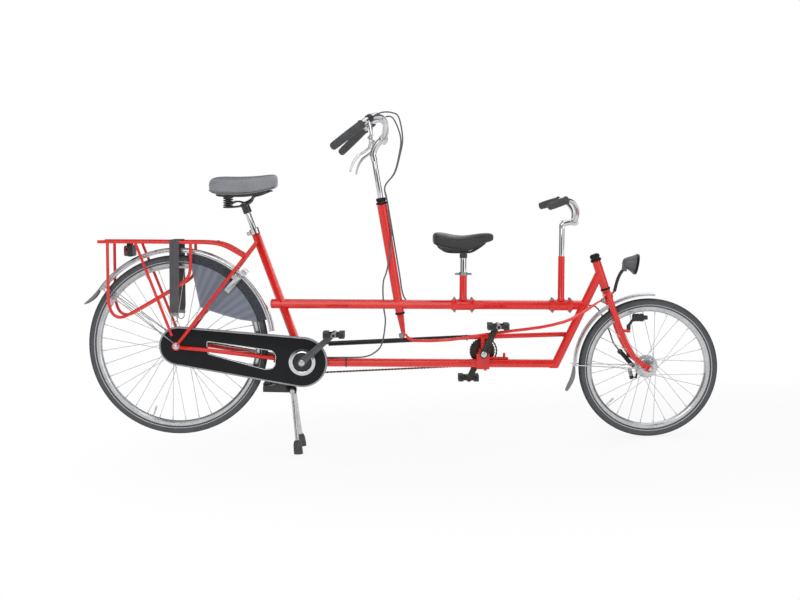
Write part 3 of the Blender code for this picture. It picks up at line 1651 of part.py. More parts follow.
def hub_with_spokes(profile, centre, rim_inner, spokes, extra):
    """A turned hub with crossed spokes that end just inside the rim."""
    hub = turned(profile, centre, ACROSS, HUB_SIDES)
    reach = rim_inner * math.cos(math.pi / WHEEL_SEGMENTS) - TOUCH * 2
    wires = [
        rod(*spoke_ends(centre, reach, index, spokes), SPOKE_RADIUS, sides=3)
        for index in range(spokes)
    ]
    return joined(hub, *extra, *wires)


def make_rear_hub():
    """The rear hub: sprocket on the right, drum on the left, and a bore for the axle."""
    bore = AXLE_RADIUS + TOUCH
    end = REAR_HUB_HALF_WIDTH
    offset, half = FLANGE_OFFSET, FLANGE_THICKNESS / 2
    barrel = HUB_BARREL_RADIUS
    profile = [
        (-end, bore),
        (-end, 0.009),
        (DRIVE_LINE - 0.004, 0.011),
        (DRIVE_LINE, barrel - 0.002),
        (-offset - half, barrel - 0.002),
        (-offset - half, FLANGE_RADIUS),
        (-offset + half, FLANGE_RADIUS),
        (-offset + half, barrel - 0.003),
        (offset - half, barrel - 0.003),
        (offset - half, FLANGE_RADIUS),
        (offset + half, FLANGE_RADIUS),
        (offset + half, 0.028),
        (end - 0.010, 0.026),
        (end - 0.008, 0.009),
        (end, 0.009),
        (end, bore),
    ]
    sprocket = cut(
        toothed_disc(
            REAR_AXLE, SPROCKET_TEETH, DRIVE_LINE - RING_THICKNESS / 2, DRIVE_LINE + RING_THICKNESS / 2
        ),
        axle_cutter(0.012),
    )
    rim_inner = REAR_RADIUS - TYRE_HEIGHT - TOUCH - RIM_HEIGHT
    return hub_with_spokes(profile, REAR_AXLE, rim_inner, REAR_SPOKES, [sprocket])


def make_front_hub():
    """The front hub, its drum on the left, with the axle and its nuts outside the dropouts."""
    end = FRONT_HUB_HALF_WIDTH
    offset, half = FLANGE_OFFSET, FLANGE_THICKNESS / 2
    nut = end + 2 * TOUCH + DROPOUT_THICKNESS
    profile = [
        (-nut - 0.014, 0.0),
        (-nut - 0.014, 0.006),
        (-nut, 0.010),
        (-nut, AXLE_RADIUS),
        (-end, AXLE_RADIUS),
        (-end, 0.010),
        (-offset - half, 0.015),
        (-offset - half, FLANGE_RADIUS),
        (-offset + half, FLANGE_RADIUS),
        (-offset + half, 0.015),
        (offset - half, 0.015),
        (offset - half, FLANGE_RADIUS),
        (offset + half, FLANGE_RADIUS),
        (offset + half, FRONT_DRUM_RADIUS),
        (end - 0.004, FRONT_DRUM_RADIUS),
        (end - 0.002, 0.010),
        (end, 0.010),
        (end, AXLE_RADIUS),
        (nut, AXLE_RADIUS),
        (nut, 0.010),
        (nut + 0.014, 0.006),
        (nut + 0.014, 0.0),
    ]
    rim_inner = FRONT_RADIUS - TYRE_HEIGHT - TOUCH - RIM_HEIGHT
    return hub_with_spokes(profile, FRONT_AXLE, rim_inner, FRONT_SPOKES, [])


# Saddles and their posts


def saddle_ring(x, half, low, high, crown):
    """One station of a saddle: a crowned top, full shoulders and sides drawn in below them."""
    rise = high - low
    right = [
        (0.0, high),
        (half * 0.35, high - crown * 0.12),
        (half * 0.66, high - crown * 0.45),
        (half * 0.90, high - crown),
        (half, high - crown - rise * 0.16),
        (half * 0.97, high - crown - rise * 0.34),
        (half * 0.86, low + rise * 0.10),
        (half * 0.74, low),
        (half * 0.30, low + rise * 0.12),
    ]
    left = [(-y, z) for y, z in reversed(right) if y > 0.0]
    return [point(x, z, y) for y, z in right + left]


def make_parent_saddle():
    """A wide sprung city saddle: broad at the back and narrow at the nose."""
    stations = [
        (0.1310, 0.052, 0.606, 0.630, 0.006),
        (0.1370, 0.078, 0.594, 0.646, 0.010),
        (0.1550, 0.098, 0.5850, 0.6535, 0.014),
        (0.1850, 0.107, 0.5825, 0.6555, 0.016),
        (0.2200, 0.104, 0.5825, 0.6550, 0.017),
        (0.2550, 0.088, 0.5830, 0.6555, 0.017),
        (0.2900, 0.066, 0.5870, 0.6570, 0.015),
        (0.3250, 0.048, 0.5940, 0.6600, 0.013),
        (0.3550, 0.040, 0.6010, 0.6640, 0.012),
        (0.3780, 0.034, 0.6090, 0.6650, 0.012),
        (0.3880, 0.024, 0.6220, 0.6560, 0.009),
    ]
    rings = [saddle_ring(*station) for station in stations]
    return swept(rings)


def make_child_saddle():
    """A slim saddle with a raised tail, a dipped middle and a long nose."""
    stations = [
        (0.9915, 0.040, 0.408, 0.428, 0.005),
        (0.9970, 0.058, 0.398, 0.440, 0.008),
        (1.0150, 0.070, 0.388, 0.4445, 0.012),
        (1.0400, 0.073, 0.380, 0.4410, 0.013),
        (1.0680, 0.066, 0.3765, 0.4350, 0.013),
        (1.0980, 0.050, 0.3745, 0.4310, 0.012),
        (1.1300, 0.034, 0.3765, 0.4330, 0.010),
        (1.1650, 0.024, 0.3900, 0.4390, 0.008),
        (1.2000, 0.019, 0.4040, 0.4420, 0.007),
        (1.2180, 0.016, 0.4100, 0.4400, 0.006),
        (1.2260, 0.010, 0.4160, 0.4320, 0.005),
    ]
    rings = [saddle_ring(*station) for station in stations]
    return swept(rings)


def make_seat_post():
    return rod(
        SEAT_TOP - SEAT_AXIS * SEAT_POST_IN,
        SEAT_TOP + SEAT_AXIS * SEAT_POST_OUT,
        SEAT_POST_DIAMETER / 2,
        sides=TUBE_SIDES,
    )


def spring_route(foot, top, radius, turns):
    """A coil from foot to top, with its ends drawn in to the middle."""
    steps = int(turns * COIL_POINTS)
    route = [foot - UP * 0.001]
    for step in range(steps + 1):
        angle = math.tau * turns * step / steps
        rise = 0.004 + (top.z - foot.z - 0.008) * step / steps
        route.append(foot + Vector((radius * math.cos(angle), radius * math.sin(angle), rise)))
    route.append(top + UP * 0.001)
    return route


def least_gap(route, radius):
    """The least air that a wound tube has between its turns, from point to point."""
    least = math.inf
    for index, here in enumerate(route):
        for there in route[index + COIL_POINTS // 2:]:
            least = min(least, (here - there).length - 2 * radius)
    return least


def make_saddle_frame():
    """The clamp on the post, two rails to the nose and two coil springs under the tail."""
    post_top = SEAT_TOP + SEAT_AXIS * SEAT_POST_OUT
    hub = post_top + SEAT_AXIS * 0.010
    socket = rod(
        post_top - SEAT_AXIS * 0.022, post_top + SEAT_AXIS * 0.020, SEAT_POST_DIAMETER / 2 + 0.0045, sides=TUBE_SIDES
    )
    bolt = rod(hub - ACROSS * 0.034, hub + ACROSS * 0.034, 0.012, sides=10)
    parts = [bolt]
    deck = SADDLE_HEIGHT + 0.0025
    for side in (-1, 1):
        spring_foot = point(0.197, 0.538, side * 0.046)
        spring_top = point(0.197, deck - 0.002, side * 0.046)
        rail = smooth_route(
            [
                spring_foot,
                point(0.225, 0.540, side * 0.040),
                point(hub.x, hub.z, side * 0.026),
                point(0.330, 0.573, side * 0.018),
                point(0.362, 0.5925, side * 0.012),
            ],
            1,
        )
        parts.append(bent(rail, 0.0038, 1))
        parts.append(rod(spring_foot - UP * 0.004, spring_foot + UP * 0.003, 0.013, sides=8))
        coil = spring_route(spring_foot, spring_top, SPRING_RADIUS, SPRING_TURNS)
        parts.append(bent(coil, SPRING_WIRE / 2, 1))
        parts.append(rod(spring_top - UP * 0.003, spring_top + UP * 0.002, 0.014, sides=8))
    nose = block(point(0.364, 0.5950), (0.012, 0.034, 0.008))
    cross = rod(point(0.197, deck - 0.001, -0.050), point(0.197, deck - 0.001, 0.050), 0.003, sides=6)
    made = joined(socket, nose, cross, *parts)
    print(f"saddle spring: least gap to itself {least_gap(coil, SPRING_WIRE / 2) * 1000:.1f} mm")
    post = rod(
        post_top - SEAT_AXIS * 0.05, post_top + SEAT_AXIS * TOUCH, SEAT_POST_DIAMETER / 2 + TOUCH, sides=TUBE_SIDES
    )
    return cut(made, post)


def make_child_post():
    """The child's seat post with the small clamp under the saddle."""
    top = CHILD_SADDLE_HEIGHT
    post = rod(
        point(CHILD_POST_FORWARD, TOP_TUBE_HEIGHT + TOP_TUBE_RADIUS + 0.022),
        point(CHILD_POST_FORWARD, top - 0.006),
        CHILD_POST_DIAMETER / 2,
        sides=12,
    )
    head = rod(
        point(CHILD_POST_FORWARD, top - 0.006, -0.019), point(CHILD_POST_FORWARD, top - 0.006, 0.019), 0.0125, sides=12
    )
    return joined(post, head)


def make_child_handlebar():
    """The child's fixed handlebar: post, forward stem, bar clamp, swept bar and two grips."""
    post = rod(
        point(BAR_POST_FORWARD, TOP_TUBE_HEIGHT + TOP_TUBE_RADIUS + 0.035),
        point(BAR_POST_FORWARD, BAR_POST_TOP),
        BAR_POST_DIAMETER / 2,
        sides=12,
    )
    clamp_middle = point(BAR_POST_FORWARD + 0.047, BAR_POST_TOP + 0.008)
    stem = bent(
        smooth_route(
            [
                point(BAR_POST_FORWARD, BAR_POST_TOP - 0.012),
                point(BAR_POST_FORWARD + 0.006, BAR_POST_TOP),
                clamp_middle,
            ],
            2,
        ),
        0.0115,
        2,
    )
    clamp = rod(clamp_middle - ACROSS * 0.018, clamp_middle + ACROSS * 0.018, 0.0155, sides=14)
    half = [
        (clamp_middle, 0.0105),
        (clamp_middle + ACROSS * 0.024 + UP * 0.003, 0.0105),
        (point(1.5440, 0.5180, 0.045), 0.0105),
        (point(1.5360, 0.5430, 0.072), 0.0105),
        (point(1.5170, 0.5640, 0.100), 0.0105),
        (point(1.4930, 0.5690, 0.122), 0.0105),
        (point(1.4920, 0.5688, 0.1225), 0.0145),
        (point(1.4600, 0.5580, 0.146), 0.0142),
        (point(1.4230, 0.5450, 0.170), 0.0145),
    ]
    whole = [(Vector((p.x, -p.y, p.z)), r) for p, r in reversed(half)] + half[1:]
    bar = bent([p for p, _ in whole], 0.0105, 2, radii=[r for _, r in whole])
    return joined(post, stem, clamp, bar)


# Parent's steering


def make_steering_column():
    """The long steerer in its head tube, with the locknuts on top and the lever arm below."""
    shaft = STEERER_RADIUS
    top = COLUMN_UP + COLUMN_TOP_GAP
    low = -COLUMN_DOWN - COLUMN_TOP_GAP
    bore = QUILL_RADIUS + TOUCH
    profile = [
        (low - COLUMN_ARM_LENGTH - 0.008, 0.0),
        (low - COLUMN_ARM_LENGTH - 0.008, 0.0075),
        (low - 0.008, 0.0145),
        (low - 0.007, 0.0180),
        (low, 0.0180),
        (low, shaft),
        (top, shaft),
        (top, 0.0205),
        (top + 0.010, 0.0205),
        (top + 0.011, 0.0165),
        (top + 0.014, 0.0165),
        (top + 0.015, 0.0190),
        (top + 0.026, 0.0175),
        (top + 0.026, bore),
        (QUILL_LOW_ALONG - 0.01, bore),
        (QUILL_LOW_ALONG - 0.01, 0.0),
    ]
    column = turned(profile, COLUMN_CROSS, COLUMN_AXIS, TUBE_SIDES)
    eye = COLUMN_ARM_END
    below = eye - COLUMN_AXIS * (ROD_EYE_HEIGHT / 2 + TOUCH + 0.0045)
    root = column_place(-COLUMN_DOWN - COLUMN_ARM_LENGTH - ROD_EYE_HEIGHT / 2 - TOUCH - 0.0045)
    arm = rod(root, below, 0.006, 0.0045, sides=10)
    pin = headed_pin(eye, COLUMN_AXIS, LINK_PIN_RADIUS, ROD_EYE_HEIGHT / 2 + TOUCH, 0.0070)
    return joined(column, arm, pin)


QUILL_LOW_ALONG = COLUMN_UP - 0.085


def make_steering_rod():
    """The rod from the column's arm to the fork: its rear eye fits, its front eye has play."""
    rear, front = COLUMN_ARM_END, FORK_EYE + STEER_FRONT * OPEN_PIVOT_SHIFT
    y = -ARM_SIDE
    route = smooth_route(
        [
            rear + COLUMN_FRONT * 0.005,
            rear + COLUMN_FRONT * 0.018,
            point(0.918, 0.025, y),
            point(1.059, 0.029, y),
            point(1.175, 0.047, y),
            point(1.300, 0.065, y),
            point(1.407, 0.079, y),
            point(1.500, 0.101, y),
            point(1.560, 0.130, y),
            front - STEER_FRONT * 0.024,
            front - STEER_FRONT * 0.004,
        ],
        2,
    )
    neck = [0.0040] * 3
    radii = neck + [ROD_RADIUS] * (len(route) - 6) + neck
    bar = bent(route, ROD_RADIUS, 1, radii=radii)
    half = ROD_EYE_HEIGHT / 2
    rear_eye = rod(rear - COLUMN_AXIS * half, rear + COLUMN_AXIS * half, ROD_EYE_RADIUS, sides=12)
    front_eye = rod(front - STEER_AXIS * half, front + STEER_AXIS * half, ROD_EYE_RADIUS, sides=12)
    made = joined(bar, rear_eye, front_eye)
    rear_bore = rod(
        rear - COLUMN_AXIS * 0.02, rear + COLUMN_AXIS * 0.02, LINK_PIN_RADIUS + TOUCH, sides=10
    )
    front_bore = rod(
        front - STEER_AXIS * 0.02, front + STEER_AXIS * 0.02, LINK_PIN_RADIUS + OPEN_PIVOT_PLAY, sides=12
    )
    return cut(made, rear_bore, front_bore)


def headed_pin(place, axis, radius, half, head_radius):
    """A pin with a head beyond each end of the stretch that its eye turns on."""
    head = 0.0035
    profile = [
        (-half - head, 0.0),
        (-half - head, head_radius * 0.85),
        (-half, head_radius * 0.85),
        (-half, radius),
        (half, radius),
        (half, head_radius),
        (half + head, head_radius),
        (half + head, 0.0),
    ]
    return turned(profile, place, axis, 8)


def lever_axis(side):
    """The axis that a brake lever turns about: its tip moves towards the grip."""
    blade = LEVER_TIP - LEVER_PIVOT
    grip = GRIP_OUTER - GRIP_INNER
    axis = blade.cross(grip).normalized()
    return axis if side < 0 else Vector((-axis.x, axis.y, -axis.z))


def on_side(place, side):
    return Vector((place.x, -side * place.y, place.z))


def make_parent_handlebar():
    """Quill, stem, swept bar and grips, with the two brake lever brackets."""
    quill = rod(
        column_place(QUILL_LOW_ALONG), column_place(QUILL_TOP), QUILL_RADIUS, sides=TUBE_SIDES
    )
    head = column_place(QUILL_TOP - 0.012)
    clamp_middle = point(0.799, 0.801)
    stem = bent(
        smooth_route([head - COLUMN_AXIS * 0.03, head, point(0.776, 0.783), clamp_middle], 2), 0.0135, 2
    )
    clamp = rod(clamp_middle - ACROSS * 0.022, clamp_middle + ACROSS * 0.022, 0.0185, sides=16)
    bolt = rod(column_place(QUILL_TOP - 0.02), column_place(QUILL_TOP + 0.012), 0.0075, sides=6)
    half = [
        (clamp_middle, BAR_RADIUS),
        (clamp_middle + Vector((0.001, -0.030, 0.002)), BAR_RADIUS),
        (point(0.8080, 0.8300, -0.058), BAR_RADIUS),
        (point(0.8070, 0.8600, -0.078), BAR_RADIUS),
        (point(0.7900, 0.8820, -0.102), BAR_RADIUS),
        (point(0.7620, 0.8800, -0.135), BAR_RADIUS),
        (point(0.7340, 0.8610, -0.164), BAR_RADIUS),
        (GRIP_INNER, BAR_RADIUS),
        (GRIP_INNER.lerp(GRIP_OUTER, 0.012), GRIP_RADIUS * 1.12),
        (GRIP_INNER.lerp(GRIP_OUTER, 0.06), GRIP_RADIUS * 0.98),
        (GRIP_INNER.lerp(GRIP_OUTER, 0.5), GRIP_RADIUS * 1.04),
        (GRIP_INNER.lerp(GRIP_OUTER, 0.95), GRIP_RADIUS * 0.98),
        (GRIP_OUTER, GRIP_RADIUS * 0.9),
    ]
    whole = [(Vector((p.x, -p.y, p.z)), r) for p, r in reversed(half)] + half[1:]
    bar = bent([p for p, _ in whole], BAR_RADIUS, 2, radii=[r for _, r in whole])
    parts = [stem, clamp, bolt, bar]
    for side in (-1, 1):
        axis = lever_axis(side)
        pivot = on_side(LEVER_PIVOT, side)
        on_bar = on_side(point(0.7480, 0.8710, -0.150), side)
        anchor = pivot + axis * side * (LEVER_BOSS_HEIGHT / 2 + 0.0068)
        parts.append(rod(on_bar, anchor, 0.0075, 0.0055, sides=8))
        ring_way = (GRIP_INNER - point(0.762, 0.880, -0.135)).normalized()
        ring_way = on_side(ring_way, side)
        parts.append(rod(on_bar - ring_way * 0.008, on_bar + ring_way * 0.008, 0.0165, sides=12))
        parts.append(headed_pin(pivot, axis, LEVER_PIN_RADIUS, LEVER_BOSS_HEIGHT / 2 + TOUCH, 0.0070))
    return joined(quill, *parts)


def make_brake_lever(side):
    """A curved lever blade with a boss on its pivot, which it leaves square to the pin."""
    axis = lever_axis(side)
    pivot = on_side(LEVER_PIVOT, side)
    first = on_side(point(0.742, 0.757, -0.168), side)
    first -= axis * (first - pivot).dot(axis)
    route = smooth_route(
        [
            pivot,
            first,
            on_side(point(0.712, 0.733, -0.200), side),
            on_side(point(0.691, 0.702, -0.232), side),
            on_side(LEVER_TIP, side),
        ],
        2,
    )
    count = len(route) - 1
    radii = [0.0040 + 0.0016 * math.sin(math.pi * at / count) for at in range(count + 1)]
    blade = bent(route, 0.0045, 1, radii=radii)
    half = LEVER_BOSS_HEIGHT / 2
    boss = rod(pivot - axis * half, pivot + axis * half, 0.0085, sides=12)
    bore = rod(pivot - axis * 0.03, pivot + axis * 0.03, LEVER_PIN_RADIUS + TOUCH, sides=8)
    return cut(joined(blade, boss), bore)


# Fork and what it carries


def make_fork():
    """Steerer, crown, curved tapered blades with dropouts, link arm, lamp arm and dynamo lug."""
    low, high = CROWN_LOW, CROWN_LOW + CROWN_HEIGHT
    top = HEAD_TUBE_LOW + HEAD_TUBE_LENGTH
    gap = COLUMN_TOP_GAP
    profile = [
        (low, 0.0),
        (low, 0.016),
        (HEAD_TUBE_LOW - gap - 0.008, 0.016),
        (HEAD_TUBE_LOW - gap - 0.008, 0.019),
        (HEAD_TUBE_LOW - gap, 0.019),
        (HEAD_TUBE_LOW - gap, STEERER_RADIUS),
        (top + gap, STEERER_RADIUS),
        (top + gap, 0.0185),
        (top + gap + 0.009, 0.0185),
        (top + gap + 0.009, 0.0150),
        (top + gap + 0.013, 0.0150),
        (top + gap + 0.013, 0.0175),
        (top + gap + 0.026, 0.0160),
        (top + gap + 0.026, 0.0),
    ]
    steerer = turned(profile, STEER_FOOT, STEER_AXIS, TUBE_SIDES)
    crown = rod(
        fork_place((low + high) / 2, 0.0, -BLADE_SPREAD),
        fork_place((low + high) / 2, 0.0, BLADE_SPREAD),
        CROWN_HEIGHT / 2,
        sides=12,
    )
    parts = [crown]
    drop_side = FRONT_HUB_HALF_WIDTH + TOUCH
    for side in (-1, 1):
        route = smooth_route(
            [
                fork_place(high, 0.0, side * BLADE_SPREAD),
                fork_place(low - 0.03, 0.0, side * BLADE_SPREAD),
                fork_place(low - 0.12, -0.001, side * (BLADE_SPREAD + 0.006)),
                FRONT_AXLE + point(-0.0925, 0.0955, side * (BLADE_SPREAD + 0.009)),
                FRONT_AXLE + point(-0.0615, 0.0455, side * (BLADE_SPREAD + 0.011)),
                FRONT_AXLE + point(-0.0225, 0.0125, side * (drop_side + DROPOUT_THICKNESS / 2)),
            ],
            2,
        )
        count = len(route) - 1
        radii = [BLADE_TOP_RADIUS + (BLADE_TIP_RADIUS - BLADE_TOP_RADIUS) * at / count for at in range(count + 1)]
        parts.append(bent(route, BLADE_TOP_RADIUS, 2, radii=radii))
        low_y, high_y = sorted((side * drop_side, side * (drop_side + DROPOUT_THICKNESS)))
        outline = [(-0.030, 0.004), (-0.016, 0.020), (0.004, 0.014), (0.013, 0.002), (0.009, -0.011), (-0.006, -0.013), (-0.026, -0.004)]
        parts.append(plate(outline, low_y, high_y, origin=FRONT_AXLE))
    parts += link_arm() + lamp_arm() + dynamo_lug()
    made = joined(steerer, *parts)
    bore = rod(FRONT_AXLE - ACROSS * 0.1, FRONT_AXLE + ACROSS * 0.1, AXLE_RADIUS + TOUCH, sides=10)
    room = 2 * (FRONT_DRUM_RADIUS + RUNNING * 2)
    hub_room = block(FRONT_AXLE, (room, 2 * drop_side, room))
    rooms = [
        rod(
            FRONT_AXLE + ACROSS * side * (drop_side + DROPOUT_THICKNESS),
            FRONT_AXLE + ACROSS * side * (drop_side + 0.04),
            0.012,
            sides=14,
        )
        for side in (-1, 1)
    ]
    return cut(made, bore, hub_room, *rooms)


def link_arm():
    """The ear beside the crown with the pin of the steering rod's front eye."""
    half = ROD_EYE_HEIGHT / 2
    play = 0.0016
    drop = half + play + 0.0063
    under = FORK_EYE - STEER_AXIS * drop
    root = fork_place(CROWN_LOW + 0.011 - drop, 0.0, -BLADE_SPREAD)
    ear = rod(root, under, 0.0055, 0.0045, sides=8)
    return [ear, headed_pin(FORK_EYE, STEER_AXIS, LINK_PIN_RADIUS, half + play, 0.0080)]


def lamp_arm():
    """The lamp's stalk, bent up from the crown, with the pin that the lamp tilts on."""
    route = smooth_route(
        [
            fork_place(CROWN_LOW + 0.014, 0.0),
            point(1.7000, 0.2180),
            point(1.7080, 0.2520),
            point(1.7180, 0.2800),
            LAMP_PIVOT,
        ],
        2,
    )
    stalk = bent(route, 0.0048, 1)
    pin = rod(LAMP_PIVOT - ACROSS * 0.013, LAMP_PIVOT + ACROSS * 0.013, 0.0035, sides=10)
    return [stalk, pin]


def dynamo_lug():
    blade = fork_place(CROWN_LOW - 0.12, -0.001, -(BLADE_SPREAD + 0.006))
    foot = DYNAMO_PIVOT - UP * 0.014
    arm = rod(blade, foot, 0.0055, sides=10)
    step = rod(foot - UP * 0.004, DYNAMO_PIVOT - UP * (0.006 + TOUCH), 0.0075, sides=12)
    pin = rod(foot, DYNAMO_PIVOT + UP * 0.009, 0.0035, sides=10)
    return [arm, step, pin]


def make_headlamp():
    """A round lamp with a conical back, its lens and rim in front and ears on the pin."""
    facing = Vector((math.cos(math.radians(-9.1)), 0.0, math.sin(math.radians(-9.1))))
    back = LAMP_PIVOT + point(-0.0030, 0.0280)
    profile = [
        (0.0, 0.0),
        (0.0, 0.010),
        (0.006, 0.017),
        (0.030, 0.029),
        (0.050, 0.0405),
        (0.057, 0.0405),
        (0.0555, 0.037),
        (0.060, 0.020),
        (0.0615, 0.0),
    ]
    shell = turned(profile, back, facing, 16)
    ears = []
    for side in (-1, 1):
        ears.append(
            block(LAMP_PIVOT + UP * 0.009 + FORWARD * 0.004 + ACROSS * side * 0.0085, (0.016, 0.0055, 0.034))
        )
    neck = block(LAMP_PIVOT + UP * 0.019 + FORWARD * 0.006, (0.012, 0.022, 0.010))
    made = joined(shell, neck, *ears)
    bore = rod(LAMP_PIVOT - ACROSS * 0.03, LAMP_PIVOT + ACROSS * 0.03, 0.0035 + TOUCH, sides=10)
    return cut(made, bore)


def make_dynamo():
    """A ribbed bottle dynamo with its roller, on a sleeve that turns on the fork's lug."""
    start = DYNAMO_PIVOT + Vector((0.014, 0.0, 0.040))
    profile = [(0.0, 0.0), (0.0, 0.0120), (0.004, 0.0155)]
    for rib in range(2):
        at = 0.014 + 0.011 * rib
        profile += [(at, 0.0155), (at + 0.001, 0.0138), (at + 0.003, 0.0138), (at + 0.004, 0.0155)]
    profile += [(0.041, 0.0155), (0.045, 0.0110), (0.047, 0.0085), (0.058, 0.0085), (0.058, 0.0)]
    bottle = turned(profile, start, FORWARD, 12)
    sleeve = rod(DYNAMO_PIVOT - UP * 0.006, DYNAMO_PIVOT + UP * 0.012, 0.0080, sides=12)
    arm = bent([DYNAMO_PIVOT + UP * 0.008, DYNAMO_PIVOT + Vector((0.012, 0.0, 0.026)), start + FORWARD * 0.014], 0.0055, 2)
    made = joined(bottle, sleeve, arm)
    bore = rod(DYNAMO_PIVOT - UP * 0.02, DYNAMO_PIVOT + UP * 0.0095, 0.0035 + TOUCH, sides=10)
    return cut(made, bore)


def make_front_mudguard():
    """The front mudguard with its flat nose and the wire stays to the axle."""
    radius = FRONT_RADIUS + FRONT_GUARD_GAP + GUARD_WALL
    guard = mudguard(
        FRONT_AXLE, radius, FRONT_GUARD_SIDE, FRONT_GUARD_BACK, FRONT_GUARD_FRONT, 12
    )
    parts = []
    drop_side = FRONT_HUB_HALF_WIDTH + TOUCH
    side_out = drop_side + DROPOUT_THICKNESS + 0.0022
    for side in (-1, 1):
        anchor = on_circle(FRONT_AXLE, math.radians(178.0), radius - 0.006, side * (GUARD_HALF_WIDTH - 0.0005))
        hub_end = FRONT_AXLE + point(-0.020, 0.001, side * (side_out + 0.004))
        parts.append(bent([anchor, anchor + ACROSS * side * 0.006 + FORWARD * 0.010, hub_end], 0.0020, 1))
    return joined(guard, *parts)


def make_front_mud_flap():
    radius = FRONT_RADIUS + FRONT_GUARD_GAP + GUARD_WALL
    return flap(FRONT_AXLE, radius, FRONT_GUARD_BACK, 0.098, 0.065)


def make_rear_mud_flap():
    radius = REAR_RADIUS + REAR_GUARD_GAP + GUARD_WALL
    return flap(REAR_AXLE, radius, REAR_GUARD_BACK, 0.082, 0.030)


# Cables


def beside_column(along, turn):
    """A place beside the steering column: turn is from its front towards the right."""
    angle = math.radians(turn)
    out = COLUMN_FRONT * math.cos(angle) - ACROSS * math.sin(angle)
    return COLUMN_CROSS + COLUMN_AXIS * along + out * CABLE_REACH


def make_rear_brake_cable():
    """From the right lever down the column, under the top tube and back along the left stay."""
    beside_top = TOP_TUBE_RADIUS + CABLE_RADIUS + 0.002
    over_lower = LOWER_TUBE_HEIGHT + LOWER_TUBE_RADIUS + CABLE_RADIUS + 0.0008
    over_stay = CHAIN_STAY_RADIUS + CABLE_RADIUS + 0.0010
    route = [
        point(0.7680, 0.8840, -0.150),
        point(0.8000, 0.8960, -0.138),
        point(0.8330, 0.8960, -0.112),
        point(0.8580, 0.8810, -0.082),
        point(0.8730, 0.8050, -0.033),
        point(0.8620, 0.7370, -0.017),
        point(0.8420, 0.6700, -0.010),
        beside_column(0.460, 20.0),
        beside_column(0.400, 20.0),
        beside_column(0.330, 30.0),
        beside_column(0.250, 55.0),
        point(0.8150, 0.3000, -0.0225),
        point(0.8010, 0.2560, -0.002),
        point(0.7980, 0.2180, 0.016),
        point(0.7990, TOP_TUBE_HEIGHT + 0.022, beside_top),
        point(0.8020, TOP_TUBE_HEIGHT - 0.022, beside_top),
        point(0.8080, 0.0900, 0.015),
        point(0.7940, 0.0040, 0.001),
        point(0.7620, -0.0310, 0.0),
        point(0.7280, over_lower + 0.0035, 0.0),
        point(0.6900, over_lower + 0.0006, 0.0),
        point(0.6300, over_lower, 0.0),
        point(0.5750, over_lower, 0.0),
        point(0.5380, -0.0440, 0.008),
        point(0.5120, -0.0390, 0.0185),
        point(0.4900, -0.0370, 0.0225),
        point(0.4350, -0.0550 + over_stay, 0.0245),
        point(0.3760, -0.0490 + over_stay, 0.0285),
        point(0.2150, -0.0262 + over_stay, 0.0550),
        point(0.1350, -0.0150 + over_stay, 0.0665),
        point(0.0700, -0.0085 + over_stay, 0.0668),
    ]
    return bent(smooth_route(route, 2), CABLE_RADIUS, 2)


def make_front_brake_cable():
    """From the left lever down the column, along the top tube's left side and down to the fork."""
    beside_top = TOP_TUBE_RADIUS + CARRIER_WALL + CABLE_RADIUS + 0.001
    route = [
        point(0.7680, 0.8840, 0.150),
        point(0.8000, 0.8950, 0.136),
        point(0.8340, 0.8890, 0.104),
        point(0.8650, 0.8100, 0.040),
        point(0.8580, 0.7370, 0.019),
        point(0.8400, 0.6700, 0.010),
        beside_column(0.460, -20.0),
        beside_column(0.400, -20.0),
        beside_column(0.200, -20.0),
        beside_column(0.110, -20.0),
        beside_column(0.050, -26.0),
        point(0.8870, TOP_TUBE_HEIGHT + 0.018, 0.0215),
        point(0.9200, TOP_TUBE_HEIGHT + 0.002, beside_top),
        point(1.1600, TOP_TUBE_HEIGHT, beside_top),
        point(1.3000, TOP_TUBE_HEIGHT, beside_top),
        point(1.4400, TOP_TUBE_HEIGHT, beside_top),
        point(1.5400, TOP_TUBE_HEIGHT, beside_top),
        point(1.6000, 0.1600, 0.029),
        point(1.6420, 0.1450, 0.037),
        point(1.6880, 0.0600, 0.046),
        point(1.7070, 0.0100, 0.050),
        point(1.7360, -0.0260, 0.054),
    ]
    return bent(smooth_route(route, 2), CABLE_RADIUS, 2)


CABLE_RADIUS = 0.0025
CABLE_REACH = 0.0245


# The tandem


